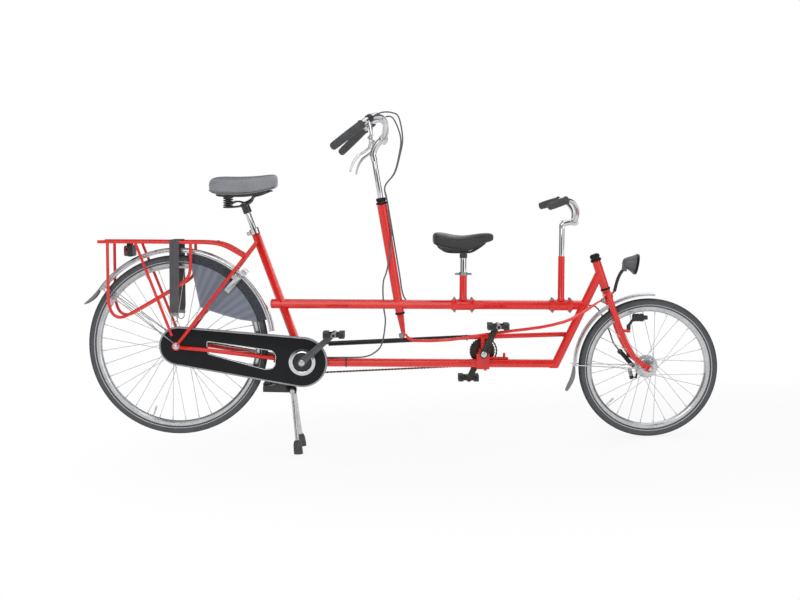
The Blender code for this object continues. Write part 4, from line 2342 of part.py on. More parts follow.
def build():
    for held in list(bpy.data.objects):
        bpy.data.objects.remove(held)
    tandem = make_empties()
    red, black, plastic = red_enamel(), black_enamel(), black_plastic()
    alloy, steel, rubber = polished_alloy(), bright_steel(), soft_rubber()

    node(make_top_tube(), "top_tube", "frame", red)
    node(make_parent_head_tube(), "parent_head_tube", "frame", red)
    node(make_lower_tube(), "lower_tube", "frame", red)
    node(make_down_tube(), "down_tube", "frame", red)
    node(make_seat_tube(), "seat_tube", "frame", red)
    node(make_chain_stay(-1), "right_chain_stay", "frame", red)
    node(make_chain_stay(1), "left_chain_stay", "frame", red)
    node(make_right_seat_stay(), "right_seat_stay", "frame", red)
    node(make_seat_stay(1), "left_seat_stay", "frame", red)
    node(make_mid_stay(), "mid_stay", "frame", red)
    node(make_child_bottom_bracket(), "child_bottom_bracket", "frame", red)
    node(make_rear_axle(), "rear_axle", "frame", steel)
    node(make_rear_mudguard(), "rear_mudguard", "frame", alloy)
    node(make_rear_mud_flap(), "rear_mud_flap", "frame", rubber)
    node(make_coat_guard(-1), "right_coat_guard", "frame", guard_vinyl())
    node(make_coat_guard(1), "left_coat_guard", "frame", guard_vinyl())
    node(make_chaincase_outer(), "chaincase_outer", "frame", plastic)
    node(make_chaincase_inner(), "chaincase_inner", "frame", plastic)
    node(make_rear_rack(), "rear_rack", "frame", red)
    node(make_rack_strap(), "rack_strap", "frame", rubber)
    node(make_rear_lamp(), "rear_lamp", "frame", lamp_red())
    node(make_ring_lock(), "ring_lock", "frame", alloy)
    node(make_seat_clamp(), "seat_clamp", "frame", steel)
    node(
        make_carrier(CHILD_POST_FORWARD, CHILD_POST_DIAMETER, CHILD_SLEEVE_TOP, True),
        "child_seat_carrier",
        "frame",
        red,
    )
    node(
        make_carrier(BAR_POST_FORWARD, BAR_POST_DIAMETER, BAR_SLEEVE_TOP, False),
        "child_bar_carrier",
        "frame",
        red,
    )
    node(make_chain_tube(), "chain_tube", "frame", plastic)
    node(make_drive_chain(), "drive_chain", "frame", chain_steel())
    node(make_timing_chain(), "timing_chain", "frame", chain_steel())
    node(make_front_brake_cable(), "front_brake_cable", "frame", plastic)
    node(make_rear_brake_cable(), "rear_brake_cable", "frame", plastic)
    node(make_stand_bracket(), "stand_bracket", "frame", black)

    node(make_centre_stand(), "centre_stand", "stand", alloy)

    node(make_tyre(REAR_AXLE, REAR_RADIUS), "rear_tyre", "rear_wheel", tyre_rubber())
    node(make_rim(REAR_AXLE, REAR_RADIUS), "rear_rim", "rear_wheel", alloy)
    node(make_rear_hub(), "rear_hub", "rear_wheel", steel)

    node(make_seat_post(), "parent_seat_post", "parent_seat", steel)
    node(make_saddle_frame(), "parent_saddle_frame", "parent_seat", black)
    node(make_parent_saddle(), "parent_saddle", "parent_seat", saddle_vinyl())

    node(make_steering_column(), "steering_column", "parent_steering", red)
    node(make_parent_handlebar(), "parent_handlebar", "parent_steering", alloy)
    node(make_brake_lever(-1), "right_brake_lever", "right_lever", alloy)
    node(make_brake_lever(1), "left_brake_lever", "left_lever", alloy)
    node(make_steering_rod(), "steering_rod", "linkage", red)

    node(make_fork(), "fork", "front_fork", red)
    node(make_front_mudguard(), "front_mudguard", "front_fork", alloy)
    node(make_front_mud_flap(), "front_mud_flap", "front_fork", rubber)
    node(make_headlamp(), "headlamp", "lamp", plastic)
    node(make_dynamo(), "dynamo", "generator", plastic)
    node(make_tyre(FRONT_AXLE, FRONT_RADIUS), "front_tyre", "front_wheel", tyre_rubber())
    node(make_rim(FRONT_AXLE, FRONT_RADIUS), "front_rim", "front_wheel", alloy)
    node(make_front_hub(), "front_hub", "front_wheel", steel)

    node(make_parent_crankset(), "parent_crankset", "parent_cranks", alloy)
    for side, tag, tilt in ((-1, "right", 0.0), (1, "left", 0.0)):
        place = BODY_PLACES["parent_pedal_" + tag[0]]
        node(make_pedal(place, side, tilt), "parent_" + tag + "_pedal", "parent_pedal_" + tag[0], rubber)
    node(make_child_crankset(), "child_crankset", "child_cranks", black)
    for side, tag, tilt in ((-1, "right", 0.0), (1, "left", 0.0)):
        place = BODY_PLACES["child_pedal_" + tag[0]]
        node(make_pedal(place, side, tilt), "child_" + tag + "_pedal", "child_pedal_" + tag[0], rubber)

    node(make_child_post(), "child_seat_post", "child_seat", steel)
    node(make_child_saddle(), "child_saddle", "child_seat", saddle_vinyl())
    node(make_child_handlebar(), "child_handlebar", "child_bars", steel)

    set_down(tandem)


def set_down(tandem):
    """Moves the whole tandem so that the middle of its footprint lies on the floor at the origin."""
    bpy.context.view_layer.update()
    corners = [
        piece.matrix_world @ vertex.co
        for piece in bpy.data.objects
        if piece.type == "MESH"
        for vertex in piece.data.vertices
    ]
    low = [min(corner[axis] for corner in corners) for axis in range(3)]
    high = [max(corner[axis] for corner in corners) for axis in range(3)]
    tandem.location = (-(low[0] + high[0]) / 2, -(low[1] + high[1]) / 2, -low[2])
    bpy.context.view_layer.update()


build()
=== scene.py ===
"""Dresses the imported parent-child tandem: painted frame, wheels, saddles, bars, chains and cables.

The script is laid out as an add-on. The frame of solids is loaded first, and every piece is placed
from its joints. Lengths are metres. Places are given as (forward, up, left) of the rear axle, in
the bicycle's own frame, and at() turns them onto the stand, where the bicycle leans forward.
"""

import json
import math
from functools import partial

import bmesh
import bpy
from mathutils import Matrix, Vector

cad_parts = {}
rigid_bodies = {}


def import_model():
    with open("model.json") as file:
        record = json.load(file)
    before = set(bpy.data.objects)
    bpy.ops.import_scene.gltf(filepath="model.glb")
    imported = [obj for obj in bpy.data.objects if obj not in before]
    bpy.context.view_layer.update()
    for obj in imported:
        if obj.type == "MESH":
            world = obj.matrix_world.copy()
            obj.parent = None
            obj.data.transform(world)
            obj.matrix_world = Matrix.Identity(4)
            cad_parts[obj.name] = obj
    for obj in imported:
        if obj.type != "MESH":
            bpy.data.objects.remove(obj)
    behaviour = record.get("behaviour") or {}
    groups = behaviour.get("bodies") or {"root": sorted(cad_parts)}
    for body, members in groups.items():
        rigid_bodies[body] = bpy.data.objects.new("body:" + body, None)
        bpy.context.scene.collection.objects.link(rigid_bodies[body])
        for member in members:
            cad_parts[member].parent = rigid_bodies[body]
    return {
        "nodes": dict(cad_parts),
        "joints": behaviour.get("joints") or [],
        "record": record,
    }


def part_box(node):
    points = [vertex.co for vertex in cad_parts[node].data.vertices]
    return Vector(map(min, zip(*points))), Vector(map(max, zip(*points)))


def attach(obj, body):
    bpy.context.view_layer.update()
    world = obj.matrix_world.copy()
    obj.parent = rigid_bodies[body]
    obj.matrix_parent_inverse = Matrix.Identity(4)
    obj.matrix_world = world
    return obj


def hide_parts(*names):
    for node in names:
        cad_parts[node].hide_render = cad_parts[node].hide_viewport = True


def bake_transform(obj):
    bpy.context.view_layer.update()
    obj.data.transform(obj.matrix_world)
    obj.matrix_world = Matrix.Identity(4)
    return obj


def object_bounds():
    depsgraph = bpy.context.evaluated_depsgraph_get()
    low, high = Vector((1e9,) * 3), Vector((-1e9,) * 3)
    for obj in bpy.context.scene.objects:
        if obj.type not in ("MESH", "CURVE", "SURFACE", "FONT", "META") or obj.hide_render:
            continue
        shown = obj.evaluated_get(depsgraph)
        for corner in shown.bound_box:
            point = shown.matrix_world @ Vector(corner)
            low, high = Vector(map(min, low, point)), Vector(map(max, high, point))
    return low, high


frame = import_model()
CAD_BOX = [list(corner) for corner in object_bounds()]

bl_info = {
    "name": "Parent-child tandem",
    "version": (1, 0, 0),
    "blender": (4, 5, 0),
    "location": "View3D > Sidebar > Tandem",
    "description": "Builds the finish and the fine parts of a parent-child tandem",
    "category": "Add Mesh",
}

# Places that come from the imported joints
PLACES = {joint["name"]: Vector(joint["pos_m"]) for joint in frame["joints"] if "pos_m" in joint}
BODY_OF = {
    node: body for body, nodes in frame["record"]["behaviour"]["bodies"].items() for node in nodes
}
REAR_AXLE = PLACES["rear_wheel_spin"]
FRONT_AXLE = PLACES["front_wheel_spin"]

# The bicycle's own measures
REAR_RADIUS = 0.351
FRONT_RADIUS = 0.2705
WHEELBASE = 1.8345
AXLE_DROP = REAR_RADIUS - FRONT_RADIUS
SPAN = FRONT_AXLE - REAR_AXLE
LEAN = math.atan2(-AXLE_DROP, WHEELBASE) - math.atan2(SPAN.z, SPAN.x)
ONTO_STAND = Matrix.Rotation(LEAN, 3, "Y")

TYRE_HEIGHT = 0.033
RIM_HEIGHT = 0.018
FLANGE_RADIUS = 0.031
FLANGE_OFFSET = 0.026
SPOKE_CROSS = 5.7
GUARD_WALL = 0.0015
GUARD_HEM = 0.325
PARENT_BB = (0.4872, -0.0606)
CHILD_BB = (1.190, -0.025)
CHAIN_PITCH = 0.0127
TIMING_TEETH = 28
TIMING_LINE = 0.050
COLUMN_LEAN = math.radians(9.7)
STEER_LEAN = math.radians(18.9)
SEAT_LEAN = math.radians(20.35)
COLUMN_CROSS = (0.8595, 0.162)
SEAT_TOP = (0.29803, 0.44945)
CHILD_SEAT = 1.111
CHILD_BAR_POST = 1.492
TOP_TUBE_HEIGHT = COLUMN_CROSS[1]
TOP_TUBE_RADIUS = 0.0185
POST_RADIUS = 0.0125
FORK_RAKE = 0.062
STEER_FOOT = (
    WHEELBASE - FORK_RAKE * math.cos(STEER_LEAN),
    -AXLE_DROP - FORK_RAKE * math.sin(STEER_LEAN),
)
REAR = (0.0, 0.0)
FRONT = (WHEELBASE, -AXLE_DROP)


def linear(channel):
    """One sRGB channel, 0 to 1, as linear light."""
    return channel / 12.92 if channel <= 0.04045 else ((channel + 0.055) / 1.055) ** 2.4


def paint(hex_colour):
    """An sRGB hex colour as linear red, green, blue and alpha."""
    return (*[linear(int(hex_colour[i:i + 2], 16) / 255) for i in (1, 3, 5)], 1.0)


def at(forward, up, left=0.0):
    """A place in the bicycle's own frame as a place in the model."""
    return REAR_AXLE + ONTO_STAND @ Vector((forward, left, up))


def way(forward, up, left=0.0):
    """A direction in the bicycle's own frame as a unit direction in the model."""
    return (ONTO_STAND @ Vector((forward, left, up))).normalized()


ACROSS = Vector((0.0, 1.0, 0.0))
AHEAD = way(1.0, 0.0)
UPWARD = way(0.0, 1.0)


def round_axle(centre, degrees, radius, left=0.0):
    """A place on a circle about a crosswise axle; the angle runs from ahead, over the top."""
    angle = math.radians(degrees)
    return at(centre[0] + radius * math.cos(angle), centre[1] + radius * math.sin(angle), left)


def by_axis(foot, lean, along, ahead=0.0, left=0.0):
    """A place by an axis that leans back from its foot: along it, ahead of it and to the left."""
    return at(
        foot[0] - along * math.sin(lean) + ahead * math.cos(lean),
        foot[1] + along * math.cos(lean) + ahead * math.sin(lean),
        left,
    )


# By the parent's column from the top tube, the fork's steerer from its foot, and the parent's
# seat post from the top of the seat tube
on_column = partial(by_axis, COLUMN_CROSS, COLUMN_LEAN)
on_fork = partial(by_axis, STEER_FOOT, STEER_LEAN)
on_seat = partial(by_axis, SEAT_TOP, SEAT_LEAN)


# What a user may change


class TandemColours(bpy.types.PropertyGroup):
    """The colours of the paints, mouldings and coverings."""

    enamel: bpy.props.FloatVectorProperty(
        name="Frame enamel", description="Colour of the painted tubes", subtype="COLOR",
        size=4, min=0.0, max=1.0, default=paint("#E61E14"),
    )
    black: bpy.props.FloatVectorProperty(
        name="Black parts", description="Colour of the black mouldings and castings",
        subtype="COLOR", size=4, min=0.0, max=1.0, default=paint("#17181A"),
    )
    rubber: bpy.props.FloatVectorProperty(
        name="Tyres", description="Colour of the tyre rubber", subtype="COLOR",
        size=4, min=0.0, max=1.0, default=paint("#434548"),
    )
    cover: bpy.props.FloatVectorProperty(
        name="Saddle covers", description="Colour of the saddles' vinyl", subtype="COLOR",
        size=4, min=0.0, max=1.0, default=paint("#888B90"),
    )
    guard: bpy.props.FloatVectorProperty(
        name="Coat guards", description="Colour of the coat guards' sheet", subtype="COLOR",
        size=4, min=0.0, max=1.0, default=paint("#828998"),
    )


class TandemSizes(bpy.types.PropertyGroup):
    """The sizes and counts that don't change the outline."""

    spoke_radius: bpy.props.FloatProperty(
        name="Spoke radius", description="Half the thickness of a spoke", unit="LENGTH",
        default=0.0013, min=0.0005, max=0.002, precision=4,
    )
    rear_spokes: bpy.props.IntProperty(
        name="Rear spokes", description="Number of spokes in the rear wheel",
        default=36, min=20, max=48,
    )
    front_spokes: bpy.props.IntProperty(
        name="Front spokes", description="Number of spokes in the front wheel",
        default=28, min=20, max=48,
    )
    wheel_steps: bpy.props.IntProperty(
        name="Wheel steps", description="Steps round a tyre and a rim",
        default=144, min=48, max=240,
    )
    cable_radius: bpy.props.FloatProperty(
        name="Cable radius", description="Half the thickness of a brake cable's sheath",
        unit="LENGTH", default=0.0030, min=0.002, max=0.0035, precision=4,
    )


def sizes():
    """The sizes that the panel shows."""
    return bpy.context.scene.tandem_sizes


def colours():
    """The colours that the panel shows."""
    return bpy.context.scene.tandem_colours


# Making materials


def add(tree, kind, inputs=None, **settings):
    """Adds a node: settings are its own, and inputs are values or sockets to link from."""
    made = tree.nodes.new(kind)
    for key, value in settings.items():
        setattr(made, key, value)
    for key, value in (inputs or {}).items():
        if isinstance(value, bpy.types.NodeSocket):
            tree.links.new(value, made.inputs[key])
        else:
            made.inputs[key].default_value = value
    return made


def begin(name, **values):
    """A new material with its shader's constants set, and the object's own coordinates."""
    made = bpy.data.materials.new(name)
    made.use_nodes = True
    tree = made.node_tree
    shader = tree.nodes["Principled BSDF"]
    for key, value in values.items():
        shader.inputs[key.replace("_", " ")].default_value = value
    coordinates = add(tree, "ShaderNodeTexCoord").outputs["Object"]
    return made, tree, shader, coordinates


def mottle(tree, coordinates, size, low, high, detail=3.0):
    """A value that drifts between low and high over spots of this size, in metres."""
    noise = add(
        tree, "ShaderNodeTexNoise",
        {"Vector": coordinates, "Scale": 1.0 / size, "Detail": detail, "Roughness": 0.55},
    )
    ranged = add(
        tree, "ShaderNodeMapRange",
        {
            "Value": noise.outputs["Fac"], "From Min": 0.32, "From Max": 0.68,
            "To Min": low, "To Max": high,
        },
    )
    return ranged.outputs["Result"]


def shade(colour, share):
    """A colour made darker, below 1, or lighter, above it."""
    return (*[min(1.0, channel * share) for channel in colour[:3]], 1.0)


def surface(tree, shader, tones, share, roughness, relief, depth, strength=0.5):
    """Wires a shader: two tones mixed by a share, a roughness, and relief this deep in metres."""
    colour = add(tree, "ShaderNodeMix", {0: share, 6: tones[0], 7: tones[1]}, data_type="RGBA")
    bump = add(
        tree, "ShaderNodeBump", {"Height": relief, "Distance": depth, "Strength": strength}
    )
    tree.links.new(colour.outputs[2], shader.inputs["Base Color"])
    tree.links.new(roughness, shader.inputs["Roughness"])
    tree.links.new(bump.outputs["Normal"], shader.inputs["Normal"])


def gloss_enamel(name, colour):
    """Stove enamel under clear coat: deep gloss, a faint orange peel and slow colour drift."""
    made, tree, shader, place = begin(name, Coat_Weight=0.5, Coat_Roughness=0.08, IOR=1.45)
    # Orange peel on stove enamel is about 1 mm from crest to crest; 2.5 mm shows in the render.
    peel = mottle(tree, place, 0.0025, 0.0, 1.0, 1.0)
    surface(
        tree, shader, (colour, shade(colour, 0.84)), mottle(tree, place, 0.11, 0.0, 1.0),
        mottle(tree, place, 0.012, 0.24, 0.36), peel, 0.00008, 0.35,
    )
    return made


def moulded_plastic(name, colour, low=0.38, high=0.55, gloss=0.5):
    """Injection-moulded plastic with a fine spark-eroded grain that breaks up the shine."""
    made, tree, shader, place = begin(name, IOR=1.45, Specular_IOR_Level=gloss)
    surface(
        tree, shader, (colour, shade(colour, 1.5)), mottle(tree, place, 0.05, 0.0, 0.6),
        mottle(tree, place, 0.02, low, high), mottle(tree, place, 0.0012, 0.0, 1.0, 2.0),
        0.00012, 0.4,
    )
    return made


def bright_metal(name, colour, low, high, scratch=0.05, lines=(1.0, 1.0, 1.0)):
    """Polished or plated metal: small smears in the shine, and fine lines where it was brushed."""
    made, tree, shader, place = begin(name, Metallic=1.0)
    stretched = add(tree, "ShaderNodeMapping", {"Vector": place, "Scale": lines}).outputs["Vector"]
    surface(
        tree, shader, (colour, shade(colour, 0.78)), mottle(tree, place, 0.03, 0.0, 0.8),
        mottle(tree, place, 0.006, low, high), mottle(tree, stretched, 0.002, 0.0, 1.0, 2.0),
        0.00005, scratch,
    )
    return made


def oiled_steel(name, colour):
    """Chain steel under a brown film of oil and dust, darker where it gathers."""
    made, tree, shader, place = begin(name, Metallic=0.85)
    grime = mottle(tree, place, 0.006, 0.0, 1.0, 4.0)
    surface(
        tree, shader, (colour, shade(colour, 0.35)), grime, mottle(tree, place, 0.004, 0.3, 0.6),
        grime, 0.0002, 0.4,
    )
    return made


def vulcanised_rubber(name, colour, bloom=1.5):
    """Black rubber with a dusty bloom and a soft, even surface."""
    made, tree, shader, place = begin(name, IOR=1.45, Sheen_Weight=0.05, Sheen_Roughness=0.5)
    surface(
        tree, shader, (colour, shade(colour, bloom)), mottle(tree, place, 0.035, 0.0, 0.9, 5.0),
        mottle(tree, place, 0.01, 0.55, 0.78), mottle(tree, place, 0.0015, 0.0, 1.0, 3.0), 0.0002,
    )
    return made


def wheel_distance(tree, place, axle):
    """A point's place seen along an axle that lies across the bicycle, and how far out it is."""
    flat = add(
        tree, "ShaderNodeMapping",
        {"Vector": place, "Location": (-axle.x, 0.0, -axle.z), "Scale": (1.0, 0.0, 1.0)},
    )
    length = add(tree, "ShaderNodeVectorMath", {0: flat.outputs["Vector"]}, operation="LENGTH")
    return flat.outputs["Vector"], length.outputs["Value"]


def tyre_rubber(name, colour, axle, radius):
    """Tyre rubber with a pale reflective line moulded round each sidewall, and fine ribs."""
    made, tree, shader, place = begin(name, IOR=1.45)
    _, distance = wheel_distance(tree, place, axle)
    line = add(
        tree, "ShaderNodeMath",
        {0: distance, 1: radius - TYRE_HEIGHT + 0.0085, 2: 0.0014}, operation="COMPARE",
    )
    tread = add(
        tree, "ShaderNodeMapRange",
        {"Value": distance, "From Min": radius - 0.012, "From Max": radius - 0.004},
    )
    dusty = add(
        tree, "ShaderNodeMix",
        {
            0: mottle(tree, place, 0.03, 0.0, 1.0, 5.0),
            6: shade(colour, 1.5), 7: shade(colour, 1.15),
        },
        data_type="RGBA",
    )
    worn = add(
        tree, "ShaderNodeMix",
        {0: tread.outputs["Result"], 6: dusty.outputs[2], 7: shade(colour, 0.9)}, data_type="RGBA",
    )
    turns = add(tree, "ShaderNodeMath", {0: distance, 1: 3600.0}, operation="MULTIPLY")
    ribs = add(tree, "ShaderNodeMath", {0: turns.outputs["Value"]}, operation="SINE")
    surface(
        tree, shader, (worn.outputs[2], paint("#B4B6B8")), line.outputs["Value"],
        mottle(tree, place, 0.01, 0.6, 0.8), ribs.outputs["Value"], 0.0001, 0.25,
    )
    return made


def grained_vinyl(name, colour, share=1.0):
    """Saddle vinyl: pressed leather grain about 2 mm across, with a satin shine on the crown."""
    colour = shade(colour, share)
    made, tree, shader, place = begin(name, IOR=1.45, Coat_Weight=0.35, Coat_Roughness=0.3)
    grain = add(
        tree, "ShaderNodeTexVoronoi", {"Vector": place, "Scale": 480.0, "Randomness": 1.0},
        feature="DISTANCE_TO_EDGE",
    )
    creases = add(
        tree, "ShaderNodeMapRange",
        {"Value": grain.outputs["Distance"], "From Max": 0.22},
    )
    drift = add(
        tree, "ShaderNodeMix",
        {0: mottle(tree, place, 0.06, 0.0, 1.0), 6: colour, 7: shade(colour, 1.3)},
        data_type="RGBA",
    )
    surface(
        tree, shader, (shade(colour, 0.6), drift.outputs[2]), creases.outputs["Result"],
        mottle(tree, place, 0.02, 0.34, 0.5), creases.outputs["Result"], 0.0003, 0.5,
    )
    return made


def guard_sheet(name, colour, axle):
    """Coated sheet, half see-through, with welded folds fanning from the axle, in painted light and
    shade.
    """
    made, tree, shader, place = begin(name, IOR=1.45, Alpha=0.80)
    flat, distance = wheel_distance(tree, place, axle)
    turned = add(
        tree, "ShaderNodeMapping", {"Vector": flat, "Rotation": (math.radians(90.0), 0.0, 0.0)}
    )
    sweep = add(
        tree, "ShaderNodeTexGradient", {"Vector": turned.outputs["Vector"]}, gradient_type="RADIAL"
    )
    # One fold for every 6 degrees of the fan.
    phase = add(
        tree, "ShaderNodeMath", {0: sweep.outputs["Fac"], 1: math.tau * 60.0}, operation="MULTIPLY"
    )
    folds = add(tree, "ShaderNodeMath", {0: phase.outputs["Value"]}, operation="SINE")
    lit = add(
        tree, "ShaderNodeMapRange",
        {"Value": folds.outputs["Value"], "From Min": -1.0},
    )
    # Painted light and shade on the folds: lighter where the wave rises, darker where it falls.
    painted_fold_shade = add(
        tree, "ShaderNodeMix",
        {0: lit.outputs["Result"], 6: shade(colour, 0.82), 7: shade(colour, 1.12)},
        data_type="RGBA",
    )
    hem = add(tree, "ShaderNodeMath", {0: distance, 1: GUARD_HEM}, operation="GREATER_THAN")
    sheet = add(
        tree, "ShaderNodeMix",
        {0: hem.outputs["Value"], 6: painted_fold_shade.outputs[2], 7: paint("#232427")}, data_type="RGBA",
    )
    surface(
        tree, shader, (sheet.outputs[2], shade(colour, 0.7)),
        mottle(tree, place, 0.0025, 0.0, 0.35, 1.0), mottle(tree, place, 0.02, 0.42, 0.6),
        lit.outputs["Result"], 0.0006, 0.6,
    )
    return made


def lens_plastic(name, colour, clear):
    """A lamp's lens: clear or red moulded plastic over a bright bowl, with fine prisms."""
    made, tree, shader, place = begin(name, IOR=1.49, Coat_Weight=0.6, Coat_Roughness=0.04)
    shader.inputs["Transmission Weight"].default_value = clear
    prisms = add(
        tree, "ShaderNodeTexWave", {"Vector": place, "Scale": 90.0, "Distortion": 0.0},
        bands_direction="Y",
    )
    surface(
        tree, shader, (colour, shade(colour, 0.6)), prisms.outputs["Fac"],
        mottle(tree, place, 0.01, 0.08, 0.2), prisms.outputs["Fac"], 0.0006, 0.6,
    )
    return made


# Each finish: the record's slot, its maker, its colour (one of the panel's, or a hex value), and
# what else the maker takes
FINISHES = {
    "red_stove_enamel": ("red_enamel", gloss_enamel, "enamel"),
    "black_stove_enamel": ("black_enamel", gloss_enamel, "black"),
    "black_gloss_moulding": ("black_plastic", moulded_plastic, "black", 0.14, 0.24, 0.2),
    "black_moulding": ("black_plastic", moulded_plastic, "#232426"),
    "lamp_moulding": ("black_plastic", moulded_plastic, "#505153", 0.25, 0.4),
    "grey_casting": ("silver_metal", moulded_plastic, "#505154", 0.32, 0.5),
    "dark_steel": ("black_enamel", bright_metal, "#4A4340", 0.28, 0.42, 0.3),
    "polished_aluminium": (
        "silver_metal", bright_metal, "#CFD0D2", 0.16, 0.34, 0.4, (1.0, 1.0, 12.0)
    ),
    "zinc_plate": ("silver_metal", bright_metal, "#9B9DA0", 0.3, 0.45, 0.3),
    "chromed_steel": ("bright_steel", bright_metal, "#D6D7D9", 0.06, 0.14),
    "stainless_spoke": ("bright_steel", bright_metal, "#D9DADC", 0.3, 0.45),
    # The pale strip round the chaincase rim is a painted highlight.
    "case_edge": ("black_plastic", moulded_plastic, "#8A8C8F", 0.16, 0.26),
    "galvanised_wire": ("bright_steel", bright_metal, "#9C9EA1", 0.25, 0.42),
    "oiled_chain_steel": ("chain_steel", oiled_steel, "#7A6656"),
    "rear_tyre_rubber": ("tyre_rubber", tyre_rubber, "rubber", REAR_AXLE, REAR_RADIUS),
    "front_tyre_rubber": ("tyre_rubber", tyre_rubber, "rubber", FRONT_AXLE, FRONT_RADIUS),
    "grip_rubber": ("soft_rubber", vulcanised_rubber, "#3C3D3F"),
    "strap_rubber": ("soft_rubber", vulcanised_rubber, "#4C494C", 1.3),
    "flap_rubber": ("soft_rubber", vulcanised_rubber, "#77797D", 1.25),
    "cable_sheath": ("black_plastic", moulded_plastic, "#5A5B5E", 0.3, 0.42),
    "parent_saddle_vinyl": ("saddle_vinyl", grained_vinyl, "cover"),
    "child_saddle_vinyl": ("saddle_vinyl", grained_vinyl, "cover", 0.065),
    "coat_guard_sheet": ("guard_vinyl", guard_sheet, "guard", REAR_AXLE),
    "red_lens": ("lamp_red", lens_plastic, "#6E1218", 0.0),
    "clear_lens": ("black_plastic", lens_plastic, "#C9CDD1", 0.2),
}


def finish(name):
    """The material of this name, made when it is first asked for."""
    made = bpy.data.materials.get(name)
    if made is None:
        _, maker, colour, *rest = FINISHES[name]
        tone = paint(colour) if colour.startswith("#") else getattr(colours(), colour)
        made = maker(name, tone, *rest)
    return made


# Making pieces


def settle(shape, name, finish_name, like, replaced=(), angle=48.0, rides=True):
    """Makes a bmesh a finished piece, which rides with a node's body."""
    bmesh.ops.remove_doubles(shape, verts=shape.verts, dist=1e-6)
    bmesh.ops.recalc_face_normals(shape, faces=shape.faces)
    return placed(shape, name, finish_name, like, replaced, angle, rides)


def stand_in(shape, name, finish_name, node, angle=48.0, rides=True):
    """As settle, for a piece that replaces the node it rides with."""
    return settle(shape, name, finish_name, node, (node,), angle, rides)


def placed(shape, name, finish_name, like, replaced=(), angle=48.0, rides=True):
    """As settle, for a shape whose faces already point the right way."""
    mesh = bpy.data.meshes.new(name)
    shape.to_mesh(mesh)
    shape.free()
    mesh.materials.append(finish(finish_name))
    mesh.shade_smooth()
    mesh.set_sharp_from_angle(angle=math.radians(angle))
    piece = bpy.data.objects.new(name, mesh)
    bpy.context.scene.collection.objects.link(piece)
    if rides:
        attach(piece, BODY_OF[like])
    if replaced:
        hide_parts(*replaced)
    return piece


def dressed(node, finish_name, name=None, angle=48.0):
    """A merged, smoothly shaded copy of a node, which it replaces."""
    shape = bmesh.new()
    shape.from_mesh(frame["nodes"][node].data)
    bmesh.ops.remove_doubles(shape, verts=shape.verts, dist=1e-5)
    bmesh.ops.dissolve_limit(
        shape, angle_limit=math.radians(0.5), verts=shape.verts, edges=shape.edges
    )
    return placed(shape, name or node + "_finished", finish_name, node, (node,), angle)


def square_to(axis, near=ACROSS):
    """A unit vector square to an axis, as near as can be to another direction."""
    if abs(axis.dot(near)) > 0.95:
        near = AHEAD if abs(axis.dot(AHEAD)) < 0.5 else UPWARD
    return (near - axis * axis.dot(near)).normalized()


def rod(shape, start, end, radius, end_radius=None, sides=24, rounded=0.0):
    """A straight round bar, tapered where it has an end radius, with its end edges rounded."""
    along = end - start
    turn = along.to_track_quat("Z", "Y").to_matrix().to_4x4()
    made = bmesh.ops.create_cone(
        shape,
        cap_ends=True,
        segments=sides,
        radius1=radius,
        radius2=radius if end_radius is None else end_radius,
        depth=along.length,
        matrix=Matrix.Translation((start + end) / 2) @ turn,
    )
    if rounded:
        edges = {edge for vert in made["verts"] for edge in vert.link_edges}
        rims = [edge for edge in edges if edge.calc_face_angle(0.0) > math.radians(60.0)]
        bmesh.ops.bevel(
            shape, geom=rims, offset=rounded, segments=2, affect="EDGES", profile=0.5, material=-1
        )


def peg(shape, place, along, low, high, radius, sides=24, rounded=0.0):
    """A straight bar by a place: it runs from one distance along a direction to another."""
    rod(shape, place + along * low, place + along * high, radius, None, sides, rounded)


def box(shape, centre, size, ahead=AHEAD, up=UPWARD, rounded=0.001):
    """A block with rounded edges; its sizes run ahead, across and up."""
    up = square_to(ahead, up)
    turn = Matrix((ahead, up.cross(ahead), up)).transposed().to_4x4()
    made = bmesh.ops.create_cube(
        shape, size=1.0, matrix=Matrix.Translation(centre) @ turn @ Matrix.Diagonal((*size, 1.0))
    )
    edges = list({edge for vert in made["verts"] for edge in vert.link_edges})
    bmesh.ops.bevel(
        shape, geom=edges, offset=rounded, segments=2, affect="EDGES", profile=0.5, material=-1
    )


def lathe(shape, profile, centre, axis=ACROSS, steps=48, near=UPWARD, closed=True):
    """Spins a profile of (distance along, radius) points once about an axis."""
    axis = axis.normalized()
    out = square_to(axis, near)
    points = [shape.verts.new(centre + axis * along + out * radius) for along, radius in profile]
    edges = [shape.edges.new(pair) for pair in zip(points, points[1:])]
    if closed:
        edges.append(shape.edges.new((points[-1], points[0])))
    bmesh.ops.spin(
        shape, geom=points + edges, cent=centre, axis=axis, angle=math.tau, steps=steps,
        use_merge=True, use_duplicate=False,
    )


def eased(points, steps):
    """A smooth line through places, with this many steps from one to the next."""
    route = []
    last = len(points) - 1
    for index in range(last):
        before = points[max(index - 1, 0)]
        start, end = points[index], points[index + 1]
        after = points[min(index + 2, last)]
        for step in range(steps):
            t = step / steps
            route.append(
                start
                + (end - before) * (0.5 * t)
                + (before * 2.0 - start * 5.0 + end * 4.0 - after) * (0.5 * t * t)
                + (start * 3.0 - before - end * 3.0 + after) * (0.5 * t * t * t)
            )
    route.append(points[-1])
    return route


def rounded(points, reach, steps=8, closed=False):
    """A line through corners, each one rounded from this far before it to this far after it."""
    if closed:
        corners = list(zip(points[-1:] + points[:-1], points, points[1:] + points[:1]))
    else:
        corners = list(zip(points, points[1:], points[2:]))
    route = [] if closed else [points[0]]
    for before, corner, after in corners:
        first, last = (
            corner + (end - corner).normalized() * min(reach, (end - corner).length * 0.48)
            for end in (before, after)
        )
        for step in range(steps + 1):
            t = step / steps
            route.append(first * (1.0 - t) ** 2 + corner * (2.0 * t * (1.0 - t)) + last * t * t)
    return route if closed else route + [points[-1]]


